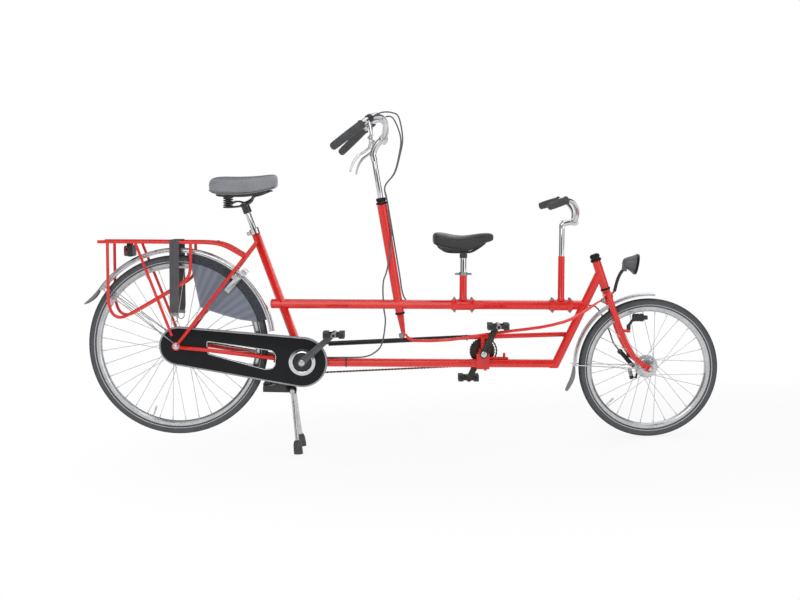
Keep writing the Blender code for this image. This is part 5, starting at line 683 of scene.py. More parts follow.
def wire(shape, route, radius, radii=None, fineness=4, closed=False):
    """A round wire or tube along a route, from a bevelled curve."""
    data = bpy.data.curves.new("route", "CURVE")
    data.dimensions = "3D"
    data.bevel_depth = radius
    data.bevel_resolution = fineness
    data.use_fill_caps = True
    line = data.splines.new("POLY")
    line.points.add(len(route) - 1)
    line.use_cyclic_u = closed
    for index, place in enumerate(route):
        line.points[index].co = (*place, 1.0)
        line.points[index].radius = radii[index] / radius if radii else 1.0
    holder = bpy.data.objects.new("route", data)
    mesh = bpy.data.meshes.new_from_object(holder)
    shape.from_mesh(mesh)
    bpy.data.objects.remove(holder)
    bpy.data.curves.remove(data)
    bpy.data.meshes.remove(mesh)


def ring(shape, places):
    """A closed loop of edges through places."""
    verts = [shape.verts.new(place) for place in places]
    return [shape.edges.new(pair) for pair in zip(verts, verts[1:] + verts[:1])]


def loft(shape, rings):
    """Closed rings of places, bridged one to the next and filled at both ends."""
    loops = [ring(shape, places) for places in rings]
    for first, second in zip(loops, loops[1:]):
        bmesh.ops.bridge_loops(shape, edges=first + second)
    for loop in (loops[0], loops[-1]):
        bmesh.ops.contextual_create(shape, geom=loop)


def frame_height(node):
    """The lowest and highest place of a node above the rear axle, in the bicycle's own frame."""
    upright = ONTO_STAND.transposed()
    heights = [(upright @ (vert.co - REAR_AXLE)).z for vert in frame["nodes"][node].data.vertices]
    return min(heights), max(heights)


def subdivided(piece, levels):
    """Adds a subdivision that is the same in the viewport and the render."""
    smooth = piece.modifiers.new("smooth", "SUBSURF")
    smooth.levels = levels
    smooth.render_levels = levels


def spread(places, side, steps=0):
    """Places given on the left as a line on either side, eased where there are steps."""
    line = [at(ahead, up, side * left) for ahead, up, left in places]
    return eased(line, steps) if steps else line


def both_sides(half):
    """A route given from the middle to the right, made whole with its mirror image on the left."""
    mirrored = [Vector((place.x, -place.y, place.z)) for place in reversed(half)]
    return mirrored + half[1:]


class Made:
    """What every operator of this script shares."""

    bl_options = {"REGISTER", "UNDO"}


# Frame


PAINTED = (
    "top_tube", "parent_head_tube", "lower_tube", "down_tube", "seat_tube", "right_chain_stay",
    "left_chain_stay", "right_seat_stay", "left_seat_stay", "mid_stay", "child_bottom_bracket",
    "steering_column", "steering_rod", "fork",
)
BLACK_ENAMELLED = ("stand_bracket",)
MOULDED = ("chain_tube", "dynamo")
ALLOY = ("ring_lock", "right_brake_lever", "left_brake_lever")
CHROMED = ("rear_axle", "seat_clamp")


class TANDEM_OT_frame(Made, bpy.types.Operator):
    """Gives the tubes, brackets and levers their enamel, plating and moulded finish"""

    bl_idname = "tandem.frame"
    bl_label = "Frame, brackets and levers"

    def execute(self, context):
        for nodes, finish_name in (
            (PAINTED, "red_stove_enamel"),
            (BLACK_ENAMELLED, "black_stove_enamel"),
            (MOULDED, "black_moulding"),
            (ALLOY, "polished_aluminium"),
            (CHROMED, "chromed_steel"),
        ):
            for node in nodes:
                dressed(node, finish_name)
        return {"FINISHED"}


class TANDEM_OT_headset(Made, bpy.types.Operator):
    """Black bearing cups and locknuts on both head tubes, and the front one's lid"""

    bl_idname = "tandem.headset"
    bl_label = "Bearing cups and locknuts"

    def execute(self, context):
        for name, node, place, top, low in (
            ("parent_locknut", "steering_column", on_column, 0.3930, -0.0315),
            ("fork_locknut", "fork", on_fork, 0.4595, 0.3485),
        ):
            axis = (place(1.0) - place(0.0)).normalized()
            shape = bmesh.new()
            knurled = [
                (top, 0.0140), (top, 0.0212), (top + 0.0022, 0.0216), (top + 0.0085, 0.0212),
                (top + 0.0105, 0.0190), (top + 0.0110, 0.0172), (top + 0.0145, 0.0172),
                (top + 0.0150, 0.0198), (top + 0.0240, 0.0194), (top + 0.0268, 0.0172),
                (top + 0.0268, 0.0130),
            ]
            lathe(shape, knurled, place(0.0), axis, 36)
            lathe(
                shape,
                [(low, 0.0140), (low, 0.0188), (low - 0.0020, 0.0194), (low - 0.0075, 0.0190),
                 (low - 0.0088, 0.0140)],
                place(0.0), axis, 36,
            )
            settle(shape, name, "black_gloss_moulding", node)
        # Nothing stands in the front head tube, so its locknut has a lid.
        shape = bmesh.new()
        lid = [(0.4857, 0.0), (0.4857, 0.0150), (0.4878, 0.0146), (0.4888, 0.0130), (0.4892, 0.0)]
        axis = (on_fork(1.0) - on_fork(0.0)).normalized()
        lathe(shape, lid, on_fork(0.0), axis, 36, closed=False)
        settle(shape, "fork_lid", "black_gloss_moulding", "fork")
        return {"FINISHED"}


# Wheels


def whole(half):
    """A profile given from its edge to its middle, made whole with its mirror image."""
    return [(-across, radius) for across, radius in half] + list(reversed(half[:-1]))


def tyre(name, axle, radius, node, finish_name):
    """A tyre with two tread grooves and a row of notches on each shoulder."""
    steps = sizes().wheel_steps
    seat = radius - TYRE_HEIGHT
    half = [
        (0.0130, seat), (0.0168, seat + 0.0040), (0.0192, seat + 0.0105), (0.0198, seat + 0.0170),
        (0.0182, radius - 0.0095), (0.0152, radius - 0.0052), (0.0112, radius - 0.0022),
        (0.0075, radius - 0.0009), (0.0070, radius - 0.0026), (0.0056, radius - 0.0026),
        (0.0051, radius - 0.0004), (0.0, radius),
    ]
    shape = bmesh.new()
    lathe(shape, whole(half), axle, steps=steps, near=Vector((0.0, 0.0, -1.0)))
    bmesh.ops.remove_doubles(shape, verts=shape.verts, dist=1e-6)
    bmesh.ops.recalc_face_normals(shape, faces=shape.faces)
    notched = []
    for face in shape.faces:
        out = face.calc_center_median() - axle
        distance = math.hypot(out.x, out.z)
        step = int(math.degrees(math.atan2(out.z, out.x)) % 360.0 / (360.0 / steps))
        on_shoulder = abs(out.y) > 0.0118 and radius - 0.0056 < distance < radius - 0.0024
        if on_shoulder and step % 3 == 0:
            notched.append(face)
    bmesh.ops.inset_individual(shape, faces=notched, thickness=0.0005, depth=-0.0016)
    placed(shape, name, finish_name, node, (node,), 32.0)


def rim(name, axle, radius, node):
    """A hollow-section rim with hooked edges and a brake-smooth side."""
    outer = radius - TYRE_HEIGHT - 0.0003
    half = [
        (0.0122, outer + 0.0002), (0.0130, outer + 0.0036), (0.0141, outer + 0.0034),
        (0.0139, outer - 0.0090), (0.0108, outer - 0.0135), (0.0062, outer - 0.0172),
        (0.0, outer - RIM_HEIGHT),
    ]
    shape = bmesh.new()
    lathe(shape, whole(half), axle, steps=sizes().wheel_steps)
    stand_in(shape, name, "polished_aluminium", node, 30.0)


def spoke_line(centre, reach, index, count):
    """The inner and outer end of one spoke: neighbours change flange and lean opposite ways."""
    side = -1 if index % 2 else 1
    lean = 1 if index % 4 < 2 else -1
    rim_degrees = 360.0 * (index + 0.5) / count
    hub_degrees = rim_degrees + lean * 360.0 * SPOKE_CROSS / count
    flange = side * (FLANGE_OFFSET + lean * 0.0019)
    start = round_axle(centre, hub_degrees, FLANGE_RADIUS - 0.004, flange)
    return start, round_axle(centre, rim_degrees, reach, side * 0.0035)


def spokes(name, centre, radius, node, count, valve_degrees):
    """Crossed spokes with their nipples at the rim, and the tube's valve."""
    reach = radius - TYRE_HEIGHT - RIM_HEIGHT - 0.0002
    shape = bmesh.new()
    for index in range(count):
        start, end = spoke_line(centre, reach, index, count)
        along = (end - start).normalized()
        rod(shape, start, end, sizes().spoke_radius, sides=8)
        rod(shape, end - along * 0.012, end, 0.0021, sides=8)
    valve = round_axle(centre, valve_degrees, reach)
    inward = (round_axle(centre, valve_degrees, 0.0) - valve).normalized()
    rod(shape, valve, valve + inward * 0.024, 0.0030, sides=16)
    rod(shape, valve + inward * 0.022, valve + inward * 0.040, 0.0042, 0.0036, 16, 0.001)
    settle(shape, name, "stainless_spoke", node)


def hub(name, axle, profile, node):
    """A turned hub shell with its two flanges."""
    shape = bmesh.new()
    lathe(shape, profile, axle, steps=56)
    stand_in(shape, name, "polished_aluminium", node, 30.0)


REAR_HUB = [
    (-0.058, 0.0053), (-0.058, 0.0090), (-0.050, 0.0110), (-0.046, 0.0150), (-0.0435, 0.0330),
    (-0.0405, 0.0330), (-0.0400, 0.0185), (-0.030, 0.0180), (-0.0285, 0.0225), (-0.0280, 0.0308),
    (-0.0270, 0.0316), (-0.0250, 0.0316), (-0.0240, 0.0305), (-0.0225, 0.0210), (-0.0150, 0.0178),
    (0.0150, 0.0178), (0.0225, 0.0210), (0.0240, 0.0305), (0.0250, 0.0316), (0.0270, 0.0316),
    (0.0282, 0.0300), (0.0400, 0.0290), (0.0470, 0.0265), (0.0490, 0.0110), (0.0560, 0.0092),
    (0.058, 0.0053),
]
FRONT_HUB = [
    (-0.0676, 0.0), (-0.0676, 0.0060), (-0.0640, 0.0088), (-0.0540, 0.0098), (-0.0536, 0.0050),
    (-0.0480, 0.0050), (-0.0480, 0.0098), (-0.0400, 0.0118), (-0.0300, 0.0150), (-0.0280, 0.0308),
    (-0.0270, 0.0316), (-0.0250, 0.0316), (-0.0240, 0.0300), (-0.0225, 0.0180), (-0.0150, 0.0152),
    (0.0150, 0.0152), (0.0225, 0.0180), (0.0240, 0.0300), (0.0250, 0.0316), (0.0280, 0.0318),
    (0.0284, 0.0445), (0.0300, 0.0452), (0.0400, 0.0450), (0.0440, 0.0430), (0.0458, 0.0200),
    (0.0470, 0.0098), (0.0480, 0.0098), (0.0480, 0.0050), (0.0536, 0.0050), (0.0540, 0.0098),
    (0.0640, 0.0088), (0.0676, 0.0060), (0.0676, 0.0),
]


class TANDEM_OT_wheels(Made, bpy.types.Operator):
    """Tyres, rims, hubs, crossed spokes and valves"""

    bl_idname = "tandem.wheels"
    bl_label = "Wheels"

    def execute(self, context):
        tyre("rear_tyre_tread", REAR_AXLE, REAR_RADIUS, "rear_tyre", "rear_tyre_rubber")
        tyre("front_tyre_tread", FRONT_AXLE, FRONT_RADIUS, "front_tyre", "front_tyre_rubber")
        rim("rear_rim_section", REAR_AXLE, REAR_RADIUS, "rear_rim")
        rim("front_rim_section", FRONT_AXLE, FRONT_RADIUS, "front_rim")
        hub("rear_hub_shell", REAR_AXLE, REAR_HUB, "rear_hub")
        hub("front_hub_shell", FRONT_AXLE, FRONT_HUB, "front_hub")
        spokes("rear_spokes", REAR, REAR_RADIUS, "rear_hub", sizes().rear_spokes, 250.0)
        spokes("front_spokes", FRONT, FRONT_RADIUS, "front_hub", sizes().front_spokes, 223.0)
        return {"FINISHED"}


# Mudguards, flaps and coat guards


REAR_GUARD = REAR_RADIUS + 0.0275 + GUARD_WALL
REAR_GUARD_ENDS = (8.7, 144.6)
FRONT_GUARD = FRONT_RADIUS + 0.021 + GUARD_WALL
FRONT_GUARD_ENDS = (86.0, 179.0)


def guard(shape, centre, radius, side, low_degrees, high_degrees, steps):
    """A rolled mudguard with a pressed rib along its middle and hemmed edges."""
    half = [
        (0.0240, -side), (0.0246, -side + 0.0012), (0.0238, -side * 0.45), (0.0216, -0.0046),
        (0.0170, -0.0018), (0.0100, -0.0008), (0.0050, -0.0007), (0.0035, 0.0), (0.0, 0.0001),
    ]
    outer = [(y, depth) for y, depth in half] + [(-y, depth) for y, depth in reversed(half[:-1])]
    inner = [(-y * 0.945, depth - GUARD_WALL) for y, depth in half[2:]]
    inner += [(y * 0.945, depth - GUARD_WALL) for y, depth in reversed(half[2:-1])]
    section = outer + [(-0.0226, -side)] + inner + [(0.0226, -side)]
    rings = []
    for step in range(steps + 1):
        degrees = low_degrees + (high_degrees - low_degrees) * step / steps
        rings.append([round_axle(centre, degrees, radius + depth, y) for y, depth in section])
    loft(shape, rings)


def rubber_flap(name, node, centre, radius, degrees, length, splay):
    """A moulded flap that widens below the mudguard, with turned-in walls and ribs on its face."""
    out = way(math.cos(math.radians(degrees)), math.sin(math.radians(degrees)))
    on = way(-math.sin(math.radians(degrees)), math.cos(math.radians(degrees)))
    start = round_axle(centre, degrees, radius - 0.003) + on * 0.0003
    shape = bmesh.new()
    rings = []
    for step, width, lift in (
        (0.0, 0.0165, 0.0), (0.06, 0.0185, 0.0), (0.25, 0.021, 0.04), (0.45, 0.024, 0.1),
        (0.65, 0.0262, 0.2), (0.8, 0.0268, 0.3), (0.93, 0.0255, 0.37), (0.99, 0.0215, 0.41),
        (1.0, 0.0180, 0.42),
    ):
        middle = start + on * length * step + out * splay * lift
        wall = 0.0105 * math.sin(math.pi * min(0.96, step * 0.90 + 0.06)) ** 0.6
        face = [
            (0.97, -wall), (1.0, -wall), (1.0, -0.0010), (0.95, 0.0006), (0.72, 0.0015),
            (0.66, 0.0009), (0.12, 0.0009), (0.07, 0.0016),
        ]
        back = [(-0.93, -0.0020), (-0.90, -0.0014), (0.90, -0.0014), (0.93, -0.0020)]
        section = face + [(-across, rise) for across, rise in reversed(face)] + back
        rings.append([middle + ACROSS * width * across + out * rise for across, rise in section])
    loft(shape, rings)
    stand_in(shape, name, "flap_rubber", node, 40.0)


class TANDEM_OT_mudguards(Made, bpy.types.Operator):
    """Rolled mudguards with wire stays, rubber flaps and the coat guards"""

    bl_idname = "tandem.mudguards"
    bl_label = "Mudguards and coat guards"

    def execute(self, context):
        shape = bmesh.new()
        guard(shape, REAR, REAR_GUARD, 0.018, *REAR_GUARD_ENDS, 96)
        stand_in(shape, "rear_mudguard_rolled", "polished_aluminium", "rear_mudguard", 40.0)
        shape = bmesh.new()
        guard(shape, FRONT, FRONT_GUARD, 0.012, *FRONT_GUARD_ENDS, 64)
        for side in (-1, 1):
            edge = round_axle(FRONT, 178.0, FRONT_GUARD - 0.006, side * 0.0245)
            end = at(FRONT[0] - 0.020, FRONT[1] + 0.001, side * 0.0592)
            bend = edge + ACROSS * side * 0.006 + AHEAD * 0.010
            wire(shape, eased([edge, bend, end], 3), 0.0020)
        stand_in(shape, "front_mudguard_rolled", "polished_aluminium", "front_mudguard", 40.0)
        shape = bmesh.new()
        for side in (-1, 1):
            for degrees in (141.0, 143.0):
                edge = round_axle(REAR, degrees, REAR_GUARD - 0.012, side * 0.0255)
                end = at(-0.010, 0.012, side * 0.0606)
                wire(shape, [edge, edge.lerp(end, 0.05) + ACROSS * side * 0.004, end], 0.0015)
        settle(shape, "rear_guard_stays", "galvanised_wire", "rear_mudguard")
        rubber_flap(
            "rear_flap_ribbed", "rear_mud_flap", REAR, REAR_GUARD, REAR_GUARD_ENDS[1], 0.082, 0.030
        )
        rubber_flap(
            "front_flap_ribbed", "front_mud_flap", FRONT, FRONT_GUARD, FRONT_GUARD_ENDS[1],
            0.098, 0.065,
        )
        for side in ("right", "left"):
            dressed(side + "_coat_guard", "coat_guard_sheet", side + "_coat_guard_sheet")
        return {"FINISHED"}


# Chaincase and chains


CASE_REAR = (0.008, 0.0)
CASE_REAR_RADIUS = 0.076
CASE_FRONT_RADIUS = 0.098
CASE_FACE = -0.057
CASE_BACK = -0.037
CASE_WALL = 0.0012
CASE_HOLE_RADIUS = 0.037
# (left of the middle, drawn in from the outline): round the rim from the outer face to the inner
# one, and round the pale strip on its outer rounding, which is a painted highlight of the glossy rim
CASE_RIM = (
    (-0.0570, 0.0110), (-0.0568, 0.0085), (-0.0561, 0.0058), (-0.0549, 0.0034), (-0.0530, 0.0015),
    (-0.0507, 0.0004), (-0.0485, 0.0), (-0.0475, 0.0), (-0.0472, 0.0008), (-0.0468, 0.0008),
    (-0.0465, 0.0), (-0.0440, 0.0), (-0.0415, 0.0006), (-0.0392, 0.0024), (-0.0377, 0.0052),
    (-0.0370, 0.0090),
)
CASE_RIM_HIGHLIGHT = (
    (-0.0566, 0.0066), (-0.0568, 0.0060), (-0.0556, 0.0034), (-0.0536, 0.0013), (-0.0512, 0.0),
    (-0.0507, 0.0005),
)
CASE_WINDOW = (
    (0.118, 0.020), (0.1195, -0.006), (0.122, -0.030), (0.200, -0.0510), (0.280, -0.0725),
    (0.345, -0.0895), (0.372, -0.086), (0.3837, -0.0715), (0.3832, -0.0533), (0.3863, -0.0354),
    (0.373, -0.016), (0.290, -0.0038), (0.200, 0.0089),
)


def case_rims(shape, section, closed=False):
    """Loops round the case, one for each (left, drawn in), bridged one to the next."""
    rims = []
    for left, inset in section:
        stations = belt(
            CASE_REAR, CASE_REAR_RADIUS - inset, PARENT_BB, CASE_FRONT_RADIUS - inset, 30
        )
        rims.append(ring(shape, [at(place.x, place.y, left) for place, _ in stations]))
    for first, second in zip(rims, rims[1:] + (rims[:1] if closed else [])):
        bmesh.ops.bridge_loops(shape, edges=first + second)
    return rims


class TANDEM_OT_chaincase(Made, bpy.types.Operator):
    """The moulded chaincase with its rolled rim, its window's trim and the ring at the crank"""

    bl_idname = "tandem.chaincase"
    bl_label = "Chaincase"

    def execute(self, context):
        shape = bmesh.new()
        rims = case_rims(shape, CASE_RIM)
        window = rounded([Vector(corner).to_3d() for corner in CASE_WINDOW], 0.007, 3, closed=True)
        tunnel = []
        for rim, left, crank, axle in (
            (rims[0], CASE_FACE, CASE_HOLE_RADIUS, 0.013), (rims[-1], CASE_BACK, 0.014, 0.023),
        ):
            tunnel.append(ring(shape, [at(place.x, place.y, left) for place in window]))
            edges = rim + tunnel[-1]
            for centre, radius in ((PARENT_BB, crank), (REAR, axle)):
                turns = range(0, 360, 6)
                edges += ring(shape, [round_axle(centre, turn, radius, left) for turn in turns])
            bmesh.ops.triangle_fill(shape, edges=edges, use_beauty=True, use_dissolve=True)
        bmesh.ops.bridge_loops(shape, edges=tunnel[0] + tunnel[1])
        bmesh.ops.recalc_face_normals(shape, faces=shape.faces)
        bmesh.ops.solidify(shape, geom=shape.faces[:], thickness=CASE_WALL)
        settle(
            shape, "chaincase_moulding", "black_gloss_moulding", "chaincase_outer",
            ("chaincase_outer", "chaincase_inner"), 35.0,
        )
        # A pale grey strip round the rim's outer rounding: a painted highlight where the glossy rim
        # catches the light.
        shape = bmesh.new()
        case_rims(shape, CASE_RIM_HIGHLIGHT, closed=True)
        settle(shape, "chaincase_edge", "case_edge", "chaincase_outer")
        shape = bmesh.new()
        wire(shape, [at(place.x, place.y, CASE_FACE) for place in window], 0.0016, closed=True)
        settle(shape, "chaincase_window_trim", "polished_aluminium", "chaincase_outer")
        shape = bmesh.new()
        section = [
            (CASE_FACE + out, CASE_HOLE_RADIUS + wide) for out, wide in (
                (0.0005, 0.0), (-0.0035, 0.0), (-0.0042, 0.0015), (-0.0032, 0.0035),
                (-0.0024, 0.0110), (-0.0016, 0.0145), (0.0005, 0.0150),
            )
        ]
        lathe(shape, section, at(*PARENT_BB), steps=72)
        settle(shape, "chaincase_crank_ring", "chromed_steel", "chaincase_outer")
        return {"FINISHED"}


def bolt(shape, place, facing, radius, height=0.0035):
    """A domed screw head on a washer."""
    lathe(
        shape,
        [(0.0, 0.0), (0.0, radius * 1.5), (0.0012, radius * 1.5), (0.0012, radius),
         (height * 0.75, radius), (height, radius * 0.7), (height, radius * 0.35),
         (height * 0.6, radius * 0.3), (height * 0.6, 0.0)],
        place, facing, 12, closed=False,
    )


def belt(first, first_radius, second, second_radius, arc_steps):
    """Places and outward directions round two toothed rings, in the bicycle's (forward, up)."""
    span = Vector(second) - Vector(first)
    along = span.normalized()
    above = Vector((-along.y, along.x))
    lean = (first_radius - second_radius) / span.length
    rise = math.sqrt(1.0 - lean * lean)
    upper, lower = along * lean + above * rise, along * lean - above * rise
    start, end = math.atan2(upper.y, upper.x), math.atan2(lower.y, lower.x)
    stations = [(Vector(first) + upper * first_radius, upper)]
    for step in range(arc_steps + 1):
        turn = start + (end - start) * step / arc_steps
        out = Vector((math.cos(turn), math.sin(turn)))
        stations.append((Vector(second) + out * second_radius, out))
    for step in range(arc_steps):
        turn = end - (math.tau - (start - end)) * step / arc_steps
        out = Vector((math.cos(turn), math.sin(turn)))
        stations.append((Vector(first) + out * first_radius, out))
    return stations


def chain_pins(stations):
    """Evenly spaced places of the chain's pins along a belt, an even number of them."""
    stretches = list(zip(stations, stations[1:] + stations[:1]))
    length = sum((end[0] - start[0]).length for start, end in stretches)
    links = 2 * round(length / CHAIN_PITCH / 2)
    pitch, gone, pins = length / links, 0.0, []
    for (start, _), (end, _) in stretches:
        stretch = (end - start).length
        while gone < stretch and len(pins) < links:
            pins.append(start.lerp(end, gone / stretch))
            gone += pitch
        gone -= stretch
    return pins


class TANDEM_OT_chains(Made, bpy.types.Operator):
    """The timing chain with its separate links, and the chain inside the case"""

    bl_idname = "tandem.chains"
    bl_label = "Chains"

    def execute(self, context):
        radius = CHAIN_PITCH / 2 / math.sin(math.pi / TIMING_TEETH)
        pins = chain_pins(belt(PARENT_BB, radius, CHILD_BB, radius, 56))
        shape = bmesh.new()
        for index, pin in enumerate(pins):
            after = pins[(index + 1) % len(pins)]
            outside = 0.0031 if index % 2 else 0.0022
            here, there = at(pin.x, pin.y, TIMING_LINE), at(after.x, after.y, TIMING_LINE)
            peg(shape, here, ACROSS, -0.0036, 0.0036, 0.0017, 8)
            peg(shape, here, ACROSS, -0.0018, 0.0018, 0.0036, 10)
            along = (there - here).normalized()
            waist = (CHAIN_PITCH * 0.6, 0.0008, 0.0052)
            for side in (-1, 1):
                low, high = side * outside - 0.0004, side * outside + 0.0004
                for end in (here, there):
                    peg(shape, end, ACROSS, low, high, 0.0040, 10)
                middle = (here + there) / 2 + ACROSS * side * outside
                box(shape, middle, waist, along, square_to(along, UPWARD), 0.0001)
        stand_in(shape, "timing_chain_links", "oiled_chain_steel", "timing_chain", 30.0)
        dressed("drive_chain", "oiled_chain_steel", "drive_chain_run")
        return {"FINISHED"}


# Saddles


PARENT_SADDLE = (
    (0.1290, 0.044, 0.608, 0.628, 0.004), (0.1320, 0.074, 0.596, 0.645, 0.009),
    (0.1500, 0.100, 0.5850, 0.6545, 0.013), (0.1850, 0.110, 0.5820, 0.6570, 0.015),
    (0.2200, 0.107, 0.5822, 0.6560, 0.016), (0.2550, 0.090, 0.5826, 0.6563, 0.016),
    (0.2900, 0.067, 0.5866, 0.6575, 0.014), (0.3250, 0.049, 0.5936, 0.6602, 0.012),
    (0.3550, 0.041, 0.6006, 0.6642, 0.011), (0.3800, 0.035, 0.6086, 0.6655, 0.011),
    (0.3905, 0.022, 0.6210, 0.6580, 0.008),
)
CHILD_SADDLE = (
    (0.9905, 0.036, 0.409, 0.427, 0.004), (0.9940, 0.058, 0.397, 0.441, 0.007),
    (1.0130, 0.072, 0.3876, 0.4455, 0.010), (1.0400, 0.0755, 0.3796, 0.4420, 0.011),
    (1.0680, 0.068, 0.3760, 0.4360, 0.011), (1.0980, 0.0515, 0.3740, 0.4318, 0.011),
    (1.1300, 0.035, 0.3760, 0.4338, 0.009), (1.1650, 0.025, 0.3896, 0.4398, 0.007),
    (1.2000, 0.020, 0.4036, 0.4428, 0.006), (1.2200, 0.0165, 0.4090, 0.4405, 0.005),
    (1.2275, 0.009, 0.4160, 0.4330, 0.004),
)


def saddle_section(ahead, half, low, high, crown):
    """One cross-section of a saddle, from the middle of its top round to the left."""
    rise = high - low
    side = [
        (0.0, high), (half * 0.35, high - crown * 0.12), (half * 0.66, high - crown * 0.45),
        (half * 0.88, high - crown), (half, high - crown - rise * 0.16),
        (half * 0.985, high - crown - rise * 0.34), (half * 0.88, low + rise * 0.10),
        (half * 0.76, low), (half * 0.30, low + rise * 0.12),
    ]
    whole = side + [(-left, up) for left, up in reversed(side) if left > 0.0]
    return [at(ahead, up, left) for left, up in whole]


class TANDEM_OT_saddles(Made, bpy.types.Operator):
    """The padded saddles, with a welt along the edge of each cover"""

    bl_idname = "tandem.saddles"
    bl_label = "Saddles"

    def execute(self, context):
        for node, stations, cover in (
            ("parent_saddle", PARENT_SADDLE, "parent_saddle_vinyl"),
            ("child_saddle", CHILD_SADDLE, "child_saddle_vinyl"),
        ):
            shape = bmesh.new()
            loft(shape, [saddle_section(*station) for station in stations])
            pad = stand_in(shape, node + "_padding", cover, node, 180.0)
            subdivided(pad, 3)
            shape = bmesh.new()
            base = [
                saddle_section(ahead, half * 0.80, low - 0.0065, low + 0.0120, 0.0020)
                for ahead, half, low, _, _ in stations[2:-2]
            ]
            loft(shape, base)
            tray = settle(shape, node + "_base", "black_moulding", node)
            subdivided(tray, 2)
            for side in (-1, 1):
                line = [
                    at(ahead, low + (high - low) * 0.115, side * (half * 0.888 + 0.0002))
                    for ahead, half, low, high, _ in stations[1:-1]
                ]
                shape = bmesh.new()
                wire(shape, eased(line, 6), 0.0013, fineness=2)
                end = "_welt_left" if side > 0 else "_welt_right"
                settle(shape, node + end, "grip_rubber", node)
        return {"FINISHED"}


# Handlebars and cables


PARENT_BAR = (
    (0.7990, 0.8010, 0.0), (0.8000, 0.8030, -0.030), (0.8080, 0.8300, -0.058),
    (0.8070, 0.8600, -0.078), (0.7900, 0.8820, -0.102), (0.7620, 0.8800, -0.135),
    (0.7340, 0.8610, -0.164), (0.7180, 0.8470, -0.180), (0.6220, 0.7630, -0.2866),
)
CHILD_BAR = (
    (1.5390, 0.4860, 0.0), (1.5390, 0.4890, -0.024), (1.5440, 0.5180, -0.045),
    (1.5360, 0.5430, -0.072), (1.5170, 0.5640, -0.100), (1.4930, 0.5690, -0.122),
    (1.4600, 0.5580, -0.146), (1.4250, 0.5458, -0.1685),
)
PARENT_CLAMP = PARENT_BAR[0][:2]
CHILD_CLAMP = CHILD_BAR[0][:2]
QUILL_TOP = 0.605
LEVER_PIVOT = (0.752, 0.800, -0.160)
LEVER_TIP = (0.683, 0.672, -0.260)
LEVER_CLAMP = (0.7480, 0.8710, -0.150)
# The straight of the bar that the hand holds: its shoulder, its inner end and its outer end
BAR_HOLD = ((0.762, 0.880, -0.135), (0.718, 0.847, -0.180), (0.619, 0.760, -0.290))
PARENT_GRIP = ((0.7210, 0.8496, -0.1767), (0.6196, 0.7605, -0.2893), 0.0150)
CHILD_GRIP = ((1.4945, 0.5697, -0.1208), (1.4236, 0.5452, -0.1696), 0.0142)


def grip(shape, inner, outer, radius):
    """A ribbed rubber grip with a flange at its inner end and a rounded outer end."""
    length = (outer - inner).length
    profile = [
        (0.0, radius * 0.80), (0.0, radius * 1.10), (0.0012, radius * 1.15),
        (0.0040, radius * 1.15), (0.0052, radius * 1.02),
    ]
    along, rib = 0.0080, 0.0052
    while along < length - 0.016:
        swell = 1.0 + 0.05 * math.sin(math.pi * along / length)
        profile += [
            (along, radius * 0.955 * swell), (along + rib * 0.18, radius * swell * 1.01),
            (along + rib * 0.62, radius * swell * 1.01),
            (along + rib * 0.80, radius * 0.955 * swell),
        ]
        along += rib
    profile += [
        (length - 0.012, radius * 0.98), (length - 0.004, radius), (length - 0.001, radius * 0.92),
        (length, radius * 0.75), (length, 0.0),
    ]
    lathe(shape, profile, inner, outer - inner, 28, closed=False)


def mirrored(place, side):
    """A place given on the right, or its mirror image where side is 1."""
    return Vector((place.x, -side * place.y, place.z))


def grips(name, measures, node):
    """A bar's two grips, from the right one's ends and its radius."""
    inner, outer, radius = measures
    shape = bmesh.new()
    for side in (-1, 1):
        grip(shape, mirrored(at(*inner), side), mirrored(at(*outer), side), radius)
    settle(shape, name, "grip_rubber", node)


def bent_bar(shape, places, radius):
    """A handlebar of bent tube, from the places of its right half."""
    route = eased([at(*place) for place in places], 6)
    wire(shape, both_sides([mirrored(place, -1) for place in route]), radius, fineness=6)


class TANDEM_OT_parent_bars(Made, bpy.types.Operator):
    """The parent's quill, stem, swept handlebar, grips and lever brackets"""

    bl_idname = "tandem.parent_bars"
    bl_label = "Parent's handlebar"

    def execute(self, context):
        shape, clamps = bmesh.new(), bmesh.new()
        quill = on_column(1.0) - on_column(0.0)
        rod(shape, on_column(0.3075), on_column(QUILL_TOP), 0.0110, sides=32, rounded=0.002)
        low, high = on_column(QUILL_TOP - 0.002), on_column(QUILL_TOP + 0.009)
        rod(shape, low, high, 0.0075, sides=6, rounded=0.0012)
        head = on_column(QUILL_TOP - 0.012)
        clamp = at(*PARENT_CLAMP)
        stem = eased([head - quill * 0.030, head, at(0.776, 0.783), clamp], 6)
        wire(shape, stem, 0.0132, fineness=6)
        peg(shape, clamp, ACROSS, -0.022, 0.022, 0.0182, 36, 0.002)
        bolt(shape, clamp + way(0.2, -1.0) * 0.0175, way(0.2, -1.0), 0.0045)
        bent_bar(shape, PARENT_BAR, 0.0122)
        for side in (-1, 1):
            pivot = mirrored(at(*LEVER_PIVOT), side)
            blade = mirrored(at(*LEVER_TIP), side) - pivot
            shoulder, bend, tip = (mirrored(at(*place), side) for place in BAR_HOLD)
            axis = blade.cross(tip - bend).normalized() * (-side)
            on_bar = mirrored(at(*LEVER_CLAMP), side)
            rod(shape, on_bar, pivot + axis * side * 0.0118, 0.0076, 0.0056, 24, 0.001)
            peg(clamps, on_bar, (bend - shoulder).normalized(), -0.009, 0.009, 0.0163, 32, 0.0012)
            peg(shape, pivot, axis, -0.0085, -0.0053, 0.0058, 20, 0.0008)
            peg(shape, pivot, axis, -0.0060, 0.0060, 0.0027, 12)
            peg(shape, pivot, axis, 0.0053, 0.0085, 0.0068, 20, 0.0008)
        stand_in(shape, "parent_handlebar_chrome", "chromed_steel", "parent_handlebar")
        settle(clamps, "parent_lever_clamps", "black_moulding", "parent_handlebar")
        grips("parent_grips", PARENT_GRIP, "parent_handlebar")
        return {"FINISHED"}


